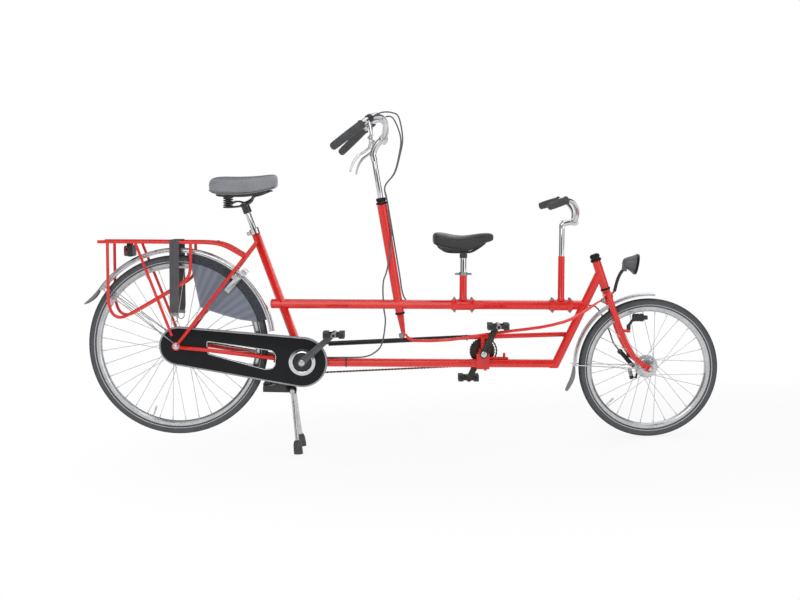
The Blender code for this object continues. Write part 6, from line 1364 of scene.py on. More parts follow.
class TANDEM_OT_child_bars(Made, bpy.types.Operator):
    """The child's post, stem, bar and grips"""

    bl_idname = "tandem.child_bars"
    bl_label = "Child's handlebar"

    def execute(self, context):
        foot = frame_height("child_handlebar")[0]
        shape = bmesh.new()
        post = at(CHILD_BAR_POST, foot), at(CHILD_BAR_POST, 0.478)
        rod(shape, *post, 0.01075, sides=32, rounded=0.001)
        clamp = at(*CHILD_CLAMP)
        stem = eased([at(CHILD_BAR_POST, 0.460), at(1.498, 0.478), clamp], 6)
        wire(shape, stem, 0.0114, fineness=6)
        peg(shape, clamp, ACROSS, -0.018, 0.018, 0.0152, 32, 0.002)
        bolt(shape, at(1.4935, 0.4880), way(-0.15, 1.0), 0.0045, 0.004)
        bolt(shape, clamp + way(1.0, -0.3) * 0.0148, way(1.0, -0.3), 0.0036)
        bent_bar(shape, CHILD_BAR, 0.0104)
        stand_in(shape, "child_handlebar_chrome", "chromed_steel", "child_handlebar")
        grips("child_grips", CHILD_GRIP, "child_handlebar")
        return {"FINISHED"}


CABLE_FROM_COLUMN = 0.0245
REAR_CABLE = [
    (0.7680, 0.8840, -0.150), (0.8000, 0.8960, -0.138), (0.8330, 0.8960, -0.112),
    (0.8580, 0.8810, -0.082), (0.8730, 0.8050, -0.033), (0.8620, 0.7370, -0.017),
    (0.8420, 0.6700, -0.010), (0.460, 20.0), (0.400, 20.0), (0.330, 30.0), (0.250, 55.0),
    (0.8150, 0.3000, -0.0225), (0.8010, 0.2560, -0.002), (0.7980, 0.2180, 0.016),
    (0.7990, 0.184, 0.0230), (0.8020, 0.140, 0.0230), (0.8080, 0.0900, 0.015),
    (0.7940, 0.0040, 0.001), (0.7620, -0.0310, 0.0), (0.7280, -0.0442, 0.0),
    (0.6900, -0.0471, 0.0), (0.6300, -0.0477, 0.0), (0.5750, -0.0477, 0.0),
    (0.5380, -0.0440, 0.008), (0.5120, -0.0390, 0.0185), (0.4900, -0.0370, 0.0225),
    (0.4350, -0.0435, 0.0245), (0.3760, -0.0375, 0.0285), (0.2150, -0.0147, 0.0550),
    (0.1350, -0.0035, 0.0665), (0.0700, 0.0030, 0.0668),
]
FRONT_CABLE = [
    (0.7680, 0.8840, 0.150), (0.8000, 0.8950, 0.136), (0.8340, 0.8890, 0.104),
    (0.8650, 0.8100, 0.040), (0.8580, 0.7370, 0.019), (0.8400, 0.6700, 0.010),
    (0.460, -20.0), (0.400, -20.0), (0.200, -20.0), (0.110, -20.0), (0.050, -26.0),
    (0.8870, 0.180, 0.0215), (0.9200, 0.164, 0.0260), (1.1600, 0.162, 0.0260),
    (1.3000, 0.162, 0.0260), (1.4400, 0.162, 0.0260), (1.5400, 0.162, 0.0260),
    (1.6000, 0.1600, 0.029), (1.6420, 0.1450, 0.037), (1.6880, 0.0600, 0.046),
    (1.7070, 0.0100, 0.050), (1.7360, -0.0260, 0.054),
]


def cable_place(place):
    """A cable's point: (forward, up, left), or (along the column, degrees from its front)."""
    if len(place) == 3:
        return at(*place)
    turn = math.radians(place[1])
    return on_column(
        place[0], CABLE_FROM_COLUMN * math.cos(turn), -CABLE_FROM_COLUMN * math.sin(turn)
    )


class TANDEM_OT_cables(Made, bpy.types.Operator):
    """The two brake cables, from the levers to the brakes"""

    bl_idname = "tandem.cables"
    bl_label = "Cables"

    def execute(self, context):
        route = eased([cable_place(place) for place in REAR_CABLE], 4)
        shape = bmesh.new()
        wire(shape, route, sizes().cable_radius)
        rear = stand_in(
            shape, "rear_brake_cable_sheath", "cable_sheath", "rear_brake_cable", rides=False
        )
        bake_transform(rear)
        # The front cable bends at the column and again at the fork, so it is two pieces that meet
        # on the top tube, where both follow the frame.
        route = eased([cable_place(place) for place in FRONT_CABLE], 4)
        meeting = at(1.30, 0.162).x
        split = next(index for index, place in enumerate(route) if place.x > meeting)
        shape = bmesh.new()
        wire(shape, route[: split + 1], sizes().cable_radius)
        front = stand_in(
            shape, "front_brake_cable_sheath", "cable_sheath", "front_brake_cable", rides=False
        )
        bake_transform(front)
        shape = bmesh.new()
        wire(shape, route[split:], sizes().cable_radius)
        fork_end = settle(
            shape, "front_brake_cable_fork_end", "cable_sheath", "front_brake_cable", rides=False
        )
        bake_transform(fork_end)
        return {"FINISHED"}


# Cranks and pedals


# Rider, bottom bracket, the right crank's angle, crank length, its inner face and its finish
CRANKS = (
    ("parent", PARENT_BB, 42.3, 0.172, 0.069, "grey_casting"),
    ("child", CHILD_BB, 66.0, 0.125, 0.060, "dark_steel"),
)
CRANK_SIDES = (("right", -1, 0.0), ("left", 1, 180.0))
CRANK_THICKNESS = 0.011
RING_FACE = 0.0460
PEDAL_WIDTH = 0.088
PEDAL_DEPTH = 0.082
PEDAL_HEIGHT = 0.026
PEDAL_RIBS = 9


class TANDEM_OT_cranks(Made, bpy.types.Operator):
    """Cranks with their toothed rings, cover discs and dust caps"""

    bl_idname = "tandem.cranks"
    bl_label = "Cranks"

    def execute(self, context):
        for rider, centre, degrees, length, inner, finish_name in CRANKS:
            node = rider + "_crankset"
            dressed(node, finish_name, node + "_arms", angle=35.0)
            shape = bmesh.new()
            face = inner + CRANK_THICKNESS
            for _, side, turned in CRANK_SIDES:
                lathe(
                    shape,
                    [(face - 0.002, 0.0), (face - 0.002, 0.0118), (face + 0.0008, 0.0118),
                     (face + 0.0022, 0.0105), (face + 0.0026, 0.0060), (face + 0.0022, 0.0)],
                    at(*centre), ACROSS * side, 36, closed=False,
                )
                end = round_axle(centre, degrees + turned, length, side * (inner + 0.0108))
                lathe(
                    shape,
                    [(-0.001, 0.0), (-0.001, 0.0072), (0.0008, 0.0068), (0.0010, 0.0030),
                     (0.0004, 0.0)],
                    end, ACROSS * side, 24, closed=False,
                )
            settle(shape, node + "_caps", "polished_aluminium", node)
        shape = bmesh.new()
        cover = disc_profile(0.0565, 0.0662, 0.0150, 0.0335)
        lathe(shape, cover, at(*PARENT_BB), ACROSS * -1.0, 64)
        settle(shape, "parent_crank_cover", "black_moulding", "parent_crankset")
        shape = bmesh.new()
        plate = [
            (RING_FACE + out, radius) for out, radius in (
                (0.0, 0.0160), (-0.0030, 0.0170), (-0.0034, 0.0300), (-0.0016, 0.0420),
                (-0.0022, 0.0455), (-0.0010, 0.0490), (0.0004, 0.0480), (0.0004, 0.0160),
            )
        ]
        lathe(shape, plate, at(*CHILD_BB), ACROSS, 72)
        settle(shape, "child_ring_plate", "dark_steel", "child_crankset")
        return {"FINISHED"}


def disc_profile(low, high, inner, outer):
    """A shallow dished disc with a rolled edge."""
    return [
        (high, inner), (high, inner * 1.25), (high - (high - low) * 0.12, outer * 0.55),
        (high - (high - low) * 0.30, outer * 0.90), (high - (high - low) * 0.55, outer),
        (high - (high - low) * 0.68, outer), (high - (high - low) * 0.62, outer * 0.90),
        (low + (high - low) * 0.55, outer * 0.55), (low + (high - low) * 0.60, inner),
    ]


def pedal(node, start, out):
    """A block pedal that stands out from the crank's face."""
    shape = bmesh.new()
    for flip in (-1, 1):
        pad = start + AHEAD * flip * (PEDAL_DEPTH / 2 - 0.0105)
        size = (0.0195, PEDAL_WIDTH - 0.010, PEDAL_HEIGHT - 0.0035)
        box(shape, pad + out * PEDAL_WIDTH / 2, size, rounded=0.0025)
        for index in range(PEDAL_RIBS):
            place = pad + out * (0.010 + index * (PEDAL_WIDTH - 0.020) / (PEDAL_RIBS - 1))
            box(shape, place, (0.0208, 0.0048, PEDAL_HEIGHT - 0.0008), rounded=0.0010)
    stand_in(shape, node + "_treads", "grip_rubber", node)
    shape = bmesh.new()
    barrel = [
        (0.0010, 0.0058), (0.0010, 0.0088), (0.006, 0.0105), (0.014, 0.0092),
        (PEDAL_WIDTH - 0.014, 0.0092), (PEDAL_WIDTH - 0.006, 0.0104),
        (PEDAL_WIDTH - 0.001, 0.0096), (PEDAL_WIDTH, 0.0060), (PEDAL_WIDTH - 0.003, 0.0058),
    ]
    lathe(shape, barrel, start, out, 28)
    settle(shape, node + "_barrel", "zinc_plate", node)
    shape = bmesh.new()
    for across in (0.0038, PEDAL_WIDTH - 0.0042):
        plate = (PEDAL_DEPTH - 0.010, 0.0022, PEDAL_HEIGHT - 0.011)
        box(shape, start + out * across, plate, rounded=0.0008)
    for flip in (-1, 1):
        for across in (0.0024, PEDAL_WIDTH - 0.0028):
            screw = start + out * across + AHEAD * flip * 0.0305
            peg(shape, screw, out, -0.0016, 0.0016, 0.0034, 16, 0.0005)
    settle(shape, node + "_plates", "black_moulding", node)


class TANDEM_OT_pedals(Made, bpy.types.Operator):
    """Block pedals with ribbed rubber treads, end plates and dust caps"""

    bl_idname = "tandem.pedals"
    bl_label = "Pedals"

    def execute(self, context):
        for rider, centre, degrees, length, inner, _ in CRANKS:
            for word, side, turned in CRANK_SIDES:
                face = side * (inner + CRANK_THICKNESS + 0.0003)
                start = round_axle(centre, degrees + turned, length, face)
                pedal(f"{rider}_{word}_pedal", start, ACROSS * side)
        return {"FINISHED"}


# Carrier, its strap and the rear lamp


RACK_HEIGHT = 0.403
RACK_SPREAD = 0.060
RACK_RADIUS = 0.0065
RACK_RAIL = (
    (-0.299, 0.0, 1.0), (-0.150, 0.0, 1.0), (0.120, -0.001, 1.0), (0.182, -0.008, 0.97),
    (0.262, -0.055, 0.833),
)
RACK_LOOP = (
    (-0.261, 0.401), (-0.261, 0.165), (-0.244, 0.119), (-0.208, 0.107), (-0.081, 0.181),
    (0.000, 0.229), (0.051, 0.264), (0.059, 0.310), (0.059, 0.401),
)
RACK_STAY = ((-0.154, 0.400, 0.060), (-0.018, 0.050, 0.0675), (-0.0145, 0.0410, 0.0675))
RACK_BARS = (-0.275, -0.187, -0.100, 0.059, 0.150)
STRAP_PLACE = -0.003
# Half of the strap, from the middle of the carrier out and down the left side: (left, up)
STRAP_HALF = (
    (0.0, 0.4098), (0.030, 0.4098), (0.058, 0.4096), (0.0648, 0.4068), (0.0668, 0.400),
    (0.0672, 0.360), (0.0685, 0.30), (0.0692, 0.25), (0.0705, 0.20), (0.0722, 0.150),
    (0.0728, 0.126),
)
# The three bands across the strap: (share of the half width, thickness there)
STRAP_BANDS = (
    (1.0, 0.0019), (0.94, 0.0026), (0.42, 0.0026), (0.36, 0.0019), (0.30, 0.0026),
    (-0.30, 0.0026), (-0.36, 0.0019), (-0.42, 0.0026), (-0.94, 0.0026), (-1.0, 0.0019),
)
STRAP_HOOK = (
    (-0.014, 0.124, 0.0735), (-0.014, 0.104, 0.0735), (STRAP_PLACE, 0.095, 0.0720),
    (0.008, 0.104, 0.0735), (0.008, 0.124, 0.0735),
)
REAR_LAMP = (-0.187, 0.3672)
REAR_LAMP_PRISMS = 9


class TANDEM_OT_rack(Made, bpy.types.Operator):
    """The rear carrier of bent tube: two rails, two side loops, stays and cross bars"""

    bl_idname = "tandem.rack"
    bl_label = "Carrier"

    def execute(self, context):
        shape = bmesh.new()
        for side in (-1, 1):
            y = side * RACK_SPREAD
            rail = [at(ahead, RACK_HEIGHT + rise, y * share) for ahead, rise, share in RACK_RAIL]
            wire(shape, rounded(rail, 0.040), RACK_RADIUS, fineness=5)
            loop = rounded([at(ahead, up, y) for ahead, up in RACK_LOOP], 0.035)
            wire(shape, loop, RACK_RADIUS * 0.92, fineness=5)
            wire(shape, spread(RACK_STAY, side), 0.0056, fineness=5)
        for ahead in RACK_BARS:
            right, left = (at(ahead, RACK_HEIGHT, end) for end in (-RACK_SPREAD, RACK_SPREAD))
            rod(shape, right, left, 0.0045, sides=20)
        stand_in(shape, "rear_rack_tubes", "red_stove_enamel", "rear_rack")
        return {"FINISHED"}


# Child's carriers and the posts


# Node, place along the top tube, sleeve radius, sleeve top, and whether it has a collar and lever
CARRIERS = (
    ("child_seat_carrier", CHILD_SEAT, 0.0146, 0.289, True),
    ("child_bar_carrier", CHILD_BAR_POST, 0.0129, 0.353, False),
)
CARRIER_HALF = 0.046
SPRING_TURNS = 4
SPRING_STEPS = 18
SPRING_PLACE = 0.197
CHILD_RAIL = (
    (1.008, 0.3990, 0.034), (1.016, 0.3850, 0.034), (1.045, 0.3690, 0.030), (1.085, 0.3660, 0.024),
    (1.135, 0.3670, 0.018), (1.165, 0.3810, 0.012), (1.195, 0.4020, 0.006),
)
PARENT_RAIL = (
    (SPRING_PLACE, 0.5370, 0.046), (0.222, 0.5385, 0.041), (0.2626, 0.5451, 0.026),
    (0.2850, 0.5590, 0.022), (0.2960, 0.5780, 0.020), (0.3200, 0.5850, 0.018),
    (0.3560, 0.5990, 0.013),
)
# The second wire of each rail, which stiffens the frame behind the clamp
PARENT_BRACE = (
    (0.205, 0.5500, 0.038), (0.232, 0.5600, 0.032), (0.262, 0.5560, 0.022), (0.288, 0.5690, 0.016),
)


class TANDEM_OT_carriers(Made, bpy.types.Operator):
    """The clamps on the top tube with their sleeves, bolts and nuts"""

    bl_idname = "tandem.carriers"
    bl_label = "Child's carriers"

    def execute(self, context):
        for node, forward, sleeve, top, collared in CARRIERS:
            shape = bmesh.new()
            clamp = [
                (-CARRIER_HALF, 0.0002), (-CARRIER_HALF, 0.0018), (-CARRIER_HALF + 0.0015, 0.0030),
                (CARRIER_HALF - 0.0015, 0.0030), (CARRIER_HALF, 0.0018), (CARRIER_HALF, 0.0002),
            ]
            lathe(
                shape, [(along, TOP_TUBE_RADIUS + wall) for along, wall in clamp],
                at(forward, TOP_TUBE_HEIGHT), AHEAD, 48,
            )
            foot = TOP_TUBE_HEIGHT + TOP_TUBE_RADIUS
            lathe(
                shape,
                [(foot, sleeve - 0.0018), (foot, sleeve + 0.0060),
                 (foot + 0.0035, sleeve + 0.0026), (foot + 0.0090, sleeve),
                 (top - 0.0010, sleeve), (top, sleeve - 0.0008), (top, sleeve - 0.0018)],
                at(forward, 0.0), UPWARD, 40,
            )
            nuts = bmesh.new()
            for side in (-1, 1):
                for ahead in (-0.034, 0.034):
                    middle = at(forward + ahead, TOP_TUBE_HEIGHT, side * 0.0185)
                    box(shape, middle, (0.020, 0.0072, 2 * TOP_TUBE_RADIUS + 0.004), rounded=0.003)
                    for out in (-UPWARD, UPWARD):
                        inner = middle + out * (TOP_TUBE_RADIUS + 0.0018)
                        peg(nuts, inner, out, 0.0, 0.0050, 0.0058, 6, 0.0006)
                        peg(nuts, inner, out, 0.0, 0.0090, 0.0030, 16, 0.0006)
            stand_in(shape, node + "_clamp", "red_stove_enamel", node, 35.0)
            if collared:
                collar = at(forward, top - 0.007)
                peg(nuts, collar, UPWARD, -0.006, 0.007, sleeve + 0.0026, 36, 0.001)
                shares = (-1.0, -0.8, -0.4, 0.4, 0.8, 1.0)
                wire(
                    nuts, [collar + AHEAD * share * 0.033 for share in shares], 0.0042,
                    radii=[0.0030, 0.0046, 0.0036, 0.0036, 0.0046, 0.0030], fineness=5,
                )
            settle(nuts, node + "_nuts", "zinc_plate", node, angle=35.0)
        return {"FINISHED"}


class TANDEM_OT_posts(Made, bpy.types.Operator):
    """The two seat posts, the parent's sprung saddle frame and the child's saddle rails"""

    bl_idname = "tandem.posts"
    bl_label = "Seat posts and saddle frames"

    def execute(self, context):
        shape = bmesh.new()
        rod(shape, on_seat(-0.130), on_seat(0.0918), POST_RADIUS, sides=40, rounded=0.001)
        stand_in(shape, "parent_seat_post_tube", "chromed_steel", "parent_seat_post")
        shape = bmesh.new()
        foot = frame_height("child_seat_post")[0]
        post = at(CHILD_SEAT, foot), at(CHILD_SEAT, 0.3560)
        rod(shape, *post, POST_RADIUS, sides=40, rounded=0.001)
        stand_in(shape, "child_seat_post_tube", "chromed_steel", "child_seat_post")
        shape = bmesh.new()
        clamp = at(CHILD_SEAT, 0.3440), at(CHILD_SEAT, 0.3600)
        rod(shape, *clamp, 0.0152, sides=36, rounded=0.0015)
        right, left = (at(CHILD_SEAT, 0.3640, end) for end in (-0.030, 0.030))
        rod(shape, right, left, 0.0118, sides=32, rounded=0.002)
        for side in (-1, 1):
            inner, outer = (at(CHILD_SEAT, 0.3640, side * end) for end in (0.029, 0.035))
            rod(shape, inner, outer, 0.0085, sides=6, rounded=0.0008)
            wire(shape, spread(CHILD_RAIL, side, 6), 0.0036)
        box(shape, at(1.062, 0.3740), (0.060, 0.052, 0.012), rounded=0.004)
        settle(shape, "child_saddle_rails", "black_stove_enamel", "child_seat_post")
        shape = bmesh.new()
        hub = on_seat(0.102)
        rod(shape, on_seat(0.070), on_seat(0.112), 0.0170, sides=40, rounded=0.002)
        peg(shape, hub, ACROSS, -0.034, 0.034, 0.0120, 32, 0.002)
        for side in (-1, 1):
            peg(shape, hub, ACROSS * side, 0.033, 0.0395, 0.0085, 6, 0.0008)
            foot, deck = (at(SPRING_PLACE, up, side * 0.046) for up in (0.538, 0.5775))
            coil = []
            last = SPRING_TURNS * SPRING_STEPS
            for step in range(last + 1):
                turn = math.tau * step / SPRING_STEPS
                round_about = AHEAD * 0.0115 * math.cos(turn) + ACROSS * 0.0115 * math.sin(turn)
                rise = 0.003 + (deck - foot).length * 0.86 * step / last
                coil.append(foot + round_about + UPWARD * rise)
            wire(shape, coil, 0.0024)
            peg(shape, foot, UPWARD, -0.004, 0.003, 0.0132, 32, 0.001)
            peg(shape, deck, UPWARD, -0.003, 0.002, 0.0140, 32, 0.001)
            wire(shape, spread(PARENT_RAIL, side, 8), 0.0038)
            wire(shape, spread(PARENT_BRACE, side, 6), 0.0030)
        for up, reach, radius in ((0.5785, 0.050, 0.0032), (0.5370, 0.046, 0.0034)):
            rod(shape, at(SPRING_PLACE, up, -reach), at(SPRING_PLACE, up, reach), radius, sides=16)
        box(shape, at(0.3620, 0.6005), (0.014, 0.034, 0.007), rounded=0.002)
        stand_in(shape, "parent_saddle_springs", "black_stove_enamel", "parent_saddle_frame")
        return {"FINISHED"}


class TANDEM_OT_strap(Made, bpy.types.Operator):
    """The luggage strap with its hooks, and the rear lamp"""

    bl_idname = "tandem.strap"
    bl_label = "Carrier strap and rear lamp"

    def execute(self, context):
        whole = [(-left, up) for left, up in reversed(STRAP_HALF)] + list(STRAP_HALF[1:])
        middles = [at(STRAP_PLACE, up, left) for left, up in whole]
        last = len(middles) - 1
        rings = []
        for index, middle in enumerate(middles):
            along = (middles[min(index + 1, last)] - middles[max(index - 1, 0)]).normalized()
            out = AHEAD.cross(along)
            if out.dot(middle - at(STRAP_PLACE, 0.25)) < 0.0:
                out = -out
            width = 0.0182 if 0 < index < last else 0.0150
            section = [middle + AHEAD * width * share + out * rise for share, rise in STRAP_BANDS]
            rings.append(section + [middle - AHEAD * width, middle + AHEAD * width])
        shape = bmesh.new()
        loft(shape, rings)
        stand_in(shape, "rack_strap_bands", "strap_rubber", "rack_strap", 40.0)
        shape = bmesh.new()
        for flip in (-1, 1):
            buckle = at(STRAP_PLACE, 0.1245, flip * 0.0738)
            box(shape, buckle, (0.033, 0.0042, 0.014), rounded=0.0015)
            wire(shape, spread(STRAP_HOOK, flip, 5), 0.0017)
        settle(shape, "rack_strap_hooks", "galvanised_wire", "rack_strap")
        lamp = at(*REAR_LAMP)
        shape = bmesh.new()
        box(shape, lamp + AHEAD * 0.0075, (0.019, 0.084, 0.044), rounded=0.004)
        box(shape, at(REAR_LAMP[0], 0.3922), (0.020, 0.030, 0.011), rounded=0.0015)
        stand_in(shape, "rear_lamp_housing", "black_moulding", "rear_lamp")
        shape = bmesh.new()
        box(shape, lamp - AHEAD * 0.0070, (0.0195, 0.081, 0.041), rounded=0.0060)
        for index in range(REAR_LAMP_PRISMS):
            place = lamp - AHEAD * 0.0162 + ACROSS * (index - REAR_LAMP_PRISMS // 2) * 0.0076
            peg(shape, place, UPWARD, -0.0135, 0.0135, 0.0012, 8)
        settle(shape, "rear_lamp_lens", "red_lens", "rear_lamp")
        return {"FINISHED"}


HEADLAMP_BACK = (1.7300, 0.3310)
HEADLAMP_PIVOT = (1.733, 0.303)
HEADLAMP_DIP = math.radians(-9.1)
HEADLAMP_BOWL = (
    (0.0, 0.0), (0.0, 0.0085), (0.0012, 0.0115), (0.0045, 0.0158), (0.012, 0.0208),
    (0.022, 0.0255), (0.034, 0.0312), (0.044, 0.0372), (0.0480, 0.0392), (0.0480, 0.0),
)
HEADLAMP_RIM = (
    (0.0470, 0.0385), (0.0470, 0.0400), (0.0492, 0.0406), (0.0560, 0.0406), (0.0576, 0.0396),
    (0.0570, 0.0366), (0.0540, 0.0362),
)
HEADLAMP_FLUTES = 18
STALK_SLEEVE = (
    (1.6995, 0.2165), (1.7020, 0.2265), (1.7080, 0.2520), (1.7180, 0.2800), (1.7300, 0.2985),
)


class TANDEM_OT_lamp(Made, bpy.types.Operator):
    """The headlamp with its rim, lens and bracket"""

    bl_idname = "tandem.lamp"
    bl_label = "Headlamp"

    def execute(self, context):
        facing = way(math.cos(HEADLAMP_DIP), math.sin(HEADLAMP_DIP))
        back = at(*HEADLAMP_BACK)
        pivot = at(*HEADLAMP_PIVOT)
        shape = bmesh.new()
        lathe(shape, HEADLAMP_BOWL, back, facing, 48, closed=False)
        for side in (-1, 1):
            ear = pivot + UPWARD * 0.009 + AHEAD * 0.004 + ACROSS * side * 0.0085
            box(shape, ear, (0.016, 0.0055, 0.034), rounded=0.0012)
            peg(shape, pivot, ACROSS * side, 0.0112, 0.0150, 0.0055, 6, 0.0006)
        box(shape, pivot + UPWARD * 0.019 + AHEAD * 0.006, (0.012, 0.022, 0.010), rounded=0.001)
        stand_in(shape, "headlamp_housing", "lamp_moulding", "headlamp")
        shape = bmesh.new()
        lathe(shape, HEADLAMP_RIM, back, facing, 56)
        settle(shape, "headlamp_rim", "black_gloss_moulding", "headlamp")
        shape = bmesh.new()
        fluted = [(0.0530, 0.0370)]
        for index in range(HEADLAMP_FLUTES):
            reach = 0.0365 - index * 0.0021
            rise = 0.0556 + 0.0052 * (1.0 - (reach / 0.0370) ** 2)
            fluted += [(rise, reach), (rise + 0.0005, max(reach - 0.0010, 0.0))]
        fluted.append((0.0613, 0.0))
        lathe(shape, fluted, back, facing, 48, closed=False)
        settle(shape, "headlamp_lens", "clear_lens", "headlamp")
        shape = bmesh.new()
        wire(shape, eased([at(*place) for place in STALK_SLEEVE], 6), 0.0064, fineness=5)
        settle(shape, "headlamp_stalk_sleeve", "black_moulding", "fork")
        return {"FINISHED"}


ARM_LEFT = 0.0625
ARM_TIP = (1.7360, -0.0262)
REACTION_ARM = (
    FRONT, (1.8020, -0.0900), (1.7780, -0.0720), (1.7480, -0.0380), ARM_TIP,
)
BRAKE_LEVER = ((1.8010, -0.0895), (1.8040, -0.1080), (1.8013, -0.1298))
BLADE_BAND = (
    (-0.0080, 0.0100), (-0.0080, 0.0122), (-0.0070, 0.0130), (0.0070, 0.0130),
    (0.0080, 0.0122), (0.0080, 0.0100),
)
# Straight bars beside the drum: start, end, radius, sides and rounding
BRAKE_RODS = (
    ((1.7815, -0.1225), (1.7850, -0.1345), 0.0088, 28, 0.0015),
    ((1.7840, -0.1290), (1.8030, -0.1290), 0.0036, 16, 0.0006),
)
ADJUSTER_RODS = (
    ((1.7740, -0.0960), (1.7815, -0.1225), 0.0080, 28, 0.0012),
    ((1.7725, -0.0905), (1.7740, -0.0960), 0.0052, 20, 0.0008),
)
# Where the steering rod's joints stand: by which axis, how far along it and how far behind it
ROD_JOINTS = ((on_column, -0.117, -0.0073), (on_fork, 0.311, -0.0256))
ROD_LEFT = -0.046
ROD_JOINT_RINGS = (
    (-0.0062, 0.0062, 0.0102), (0.0055, 0.0085, 0.0078), (-0.0100, -0.0055, 0.0066),
)


class TANDEM_OT_brake_arm(Made, bpy.types.Operator):
    """The front drum's reaction arm and brake lever, and the joints of the steering rod"""

    bl_idname = "tandem.brake_arm"
    bl_label = "Front brake arm and rod joints"

    def execute(self, context):
        shape = bmesh.new()
        line = eased([at(*place, ARM_LEFT) for place in REACTION_ARM], 6)
        for low, high in zip(line, line[1:]):
            along = (high - low).normalized()
            size = ((high - low).length * 1.2, 0.0034, 0.0170)
            box(shape, (low + high) / 2, size, along, square_to(along, UPWARD), 0.0006)
        inner, outer = (at(*FRONT, ARM_LEFT + reach) for reach in (-0.0014, 0.0014))
        rod(shape, inner, outer, 0.0125, sides=32, rounded=0.0006)
        wire(shape, eased([at(*place, ARM_LEFT) for place in BRAKE_LEVER], 5), 0.0040, fineness=4)
        inner, outer = (at(*ARM_TIP, ARM_LEFT + reach) for reach in (-0.007, 0.006))
        rod(shape, inner, outer, 0.0105, sides=24, rounded=0.001)
        # The band that holds the arm to the left blade, with its plate and bolt
        blade = at(FRONT[0] - 0.0615, FRONT[1] + 0.0455, 0.050)
        along = (at(-0.0925, 0.0955, -0.002) - at(-0.0615, 0.0455)).normalized()
        lathe(shape, BLADE_BAND, blade, along, 32)
        across = square_to(along, ACROSS)
        plate = square_to(across, along)
        forward = plate if plate.x > 0 else -plate
        middle = blade + ACROSS * 0.0128 - forward * 0.0060
        box(shape, middle, (0.050, 0.0030, 0.0150), forward, along, 0.0006)
        peg(shape, blade + forward * 0.0195, ACROSS, -0.010, 0.0165, 0.0040, 20, 0.0006)
        for start, end, radius, sides, bevel in BRAKE_RODS:
            rod(shape, at(*start, ARM_LEFT), at(*end, ARM_LEFT), radius, None, sides, bevel)
        settle(shape, "front_brake_arm", "black_moulding", "fork")
        shape = bmesh.new()
        for start, end, radius, sides, bevel in ADJUSTER_RODS:
            rod(shape, at(*start, ARM_LEFT), at(*end, ARM_LEFT), radius, None, sides, bevel)
        settle(shape, "front_brake_adjuster", "zinc_plate", "fork")
        shape = bmesh.new()
        for place, along, back in ROD_JOINTS:
            for low, high, radius in ROD_JOINT_RINGS:
                start, end = (place(along + reach, back, ROD_LEFT) for reach in (low, high))
                rod(shape, start, end, radius, sides=28, rounded=0.0009)
        settle(shape, "steering_rod_joints", "zinc_plate", "steering_rod")
        return {"FINISHED"}


STAND_FOOT = (
    (-0.052, 0.0), (-0.052, 0.0100), (-0.050, 0.0120), (-0.046, 0.0140), (-0.040, 0.0160),
    (-0.028, 0.0172), (-0.024, 0.0168), (-0.022, 0.0174), (0.0, 0.0178), (0.030, 0.0178),
    (0.030, 0.0),
)


class TANDEM_OT_stand(Made, bpy.types.Operator):
    """The double-leg stand with its rubber feet"""

    bl_idname = "tandem.stand"
    bl_label = "Stand"

    def execute(self, context):
        dressed("centre_stand", "polished_aluminium", "centre_stand_legs")
        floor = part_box("centre_stand")[0][2]
        for side, name in ((-1, "right_stand_foot"), (1, "left_stand_foot")):
            top = at(0.448, -0.178, side * 0.036)
            foot = at(0.475, -0.4138, side * 0.082)
            along = (foot - (top.lerp(foot, 0.45) - ACROSS * side * 0.004)).normalized()
            shape = bmesh.new()
            lathe(shape, STAND_FOOT, foot, along, 36, closed=False)
            bmesh.ops.recalc_face_normals(shape, faces=shape.faces)
            cut = bmesh.ops.bisect_plane(
                shape, geom=shape.verts[:] + shape.edges[:] + shape.faces[:],
                plane_co=Vector((0.0, 0.0, floor + 0.0001)), plane_no=Vector((0.0, 0.0, -1.0)),
                clear_outer=True,
            )
            rim = [item for item in cut["geom_cut"] if isinstance(item, bmesh.types.BMEdge)]
            bmesh.ops.contextual_create(shape, geom=rim)
            settle(shape, name, "grip_rubber", "centre_stand", angle=40.0)
        return {"FINISHED"}


class TANDEM_OT_fasteners(Made, bpy.types.Operator):
    """The band on the lower tube and the bolts at the ends of the rear axle"""

    bl_idname = "tandem.fasteners"
    bl_label = "Band and axle bolts"

    def execute(self, context):
        shape = bmesh.new()
        band = [
            (-0.0025, 0.0166), (-0.0025, 0.0176), (-0.0018, 0.0182), (0.0018, 0.0182),
            (0.0025, 0.0176), (0.0025, 0.0166),
        ]
        lathe(shape, band, at(0.6555, -0.0675), AHEAD, 40)
        settle(shape, "lower_tube_band", "black_moulding", "lower_tube")
        shape = bmesh.new()
        for side in (-1, 1):
            bolt(shape, REAR_AXLE + ACROSS * side * 0.0765, ACROSS * side, 0.0060, 0.004)
        settle(shape, "rear_axle_caps", "chromed_steel", "rear_axle")
        return {"FINISHED"}


# Stage


CAMERA_PLACE = (0.9048, 0.5655)
CAMERA_TARGET = (0.8658, 0.1755)
PHOTO_TURN = math.radians(0.23)
CAMERA_AWAY = 5.0
LENS = 57.87
SENSOR_WIDTH = 36.0
WHITE = (1.0, 1.0, 1.0, 1.0)
OBJECT_MIDDLE = 0.86
FLOOR_REACH = 30.0
ROOM_LIGHT = 0.42
SOFT_BOXES = 4
# Lamp, its place, its width and its power in watts
LAMPS = (
    ("key", (-0.6, -3.2, 2.9), 2.4, 46.0),
    ("fill", (3.4, -2.6, 1.6), 2.6, 20.0),
    ("top", (0.9, 0.4, 3.6), 3.2, 36.0),
    ("behind", (1.2, 3.2, 2.2), 2.6, 28.0),
)


def photo_place(ahead, up, left):
    """A place given square to the photograph, as a place in the model."""
    return by_axis(REAR, PHOTO_TURN, up, ahead, left)


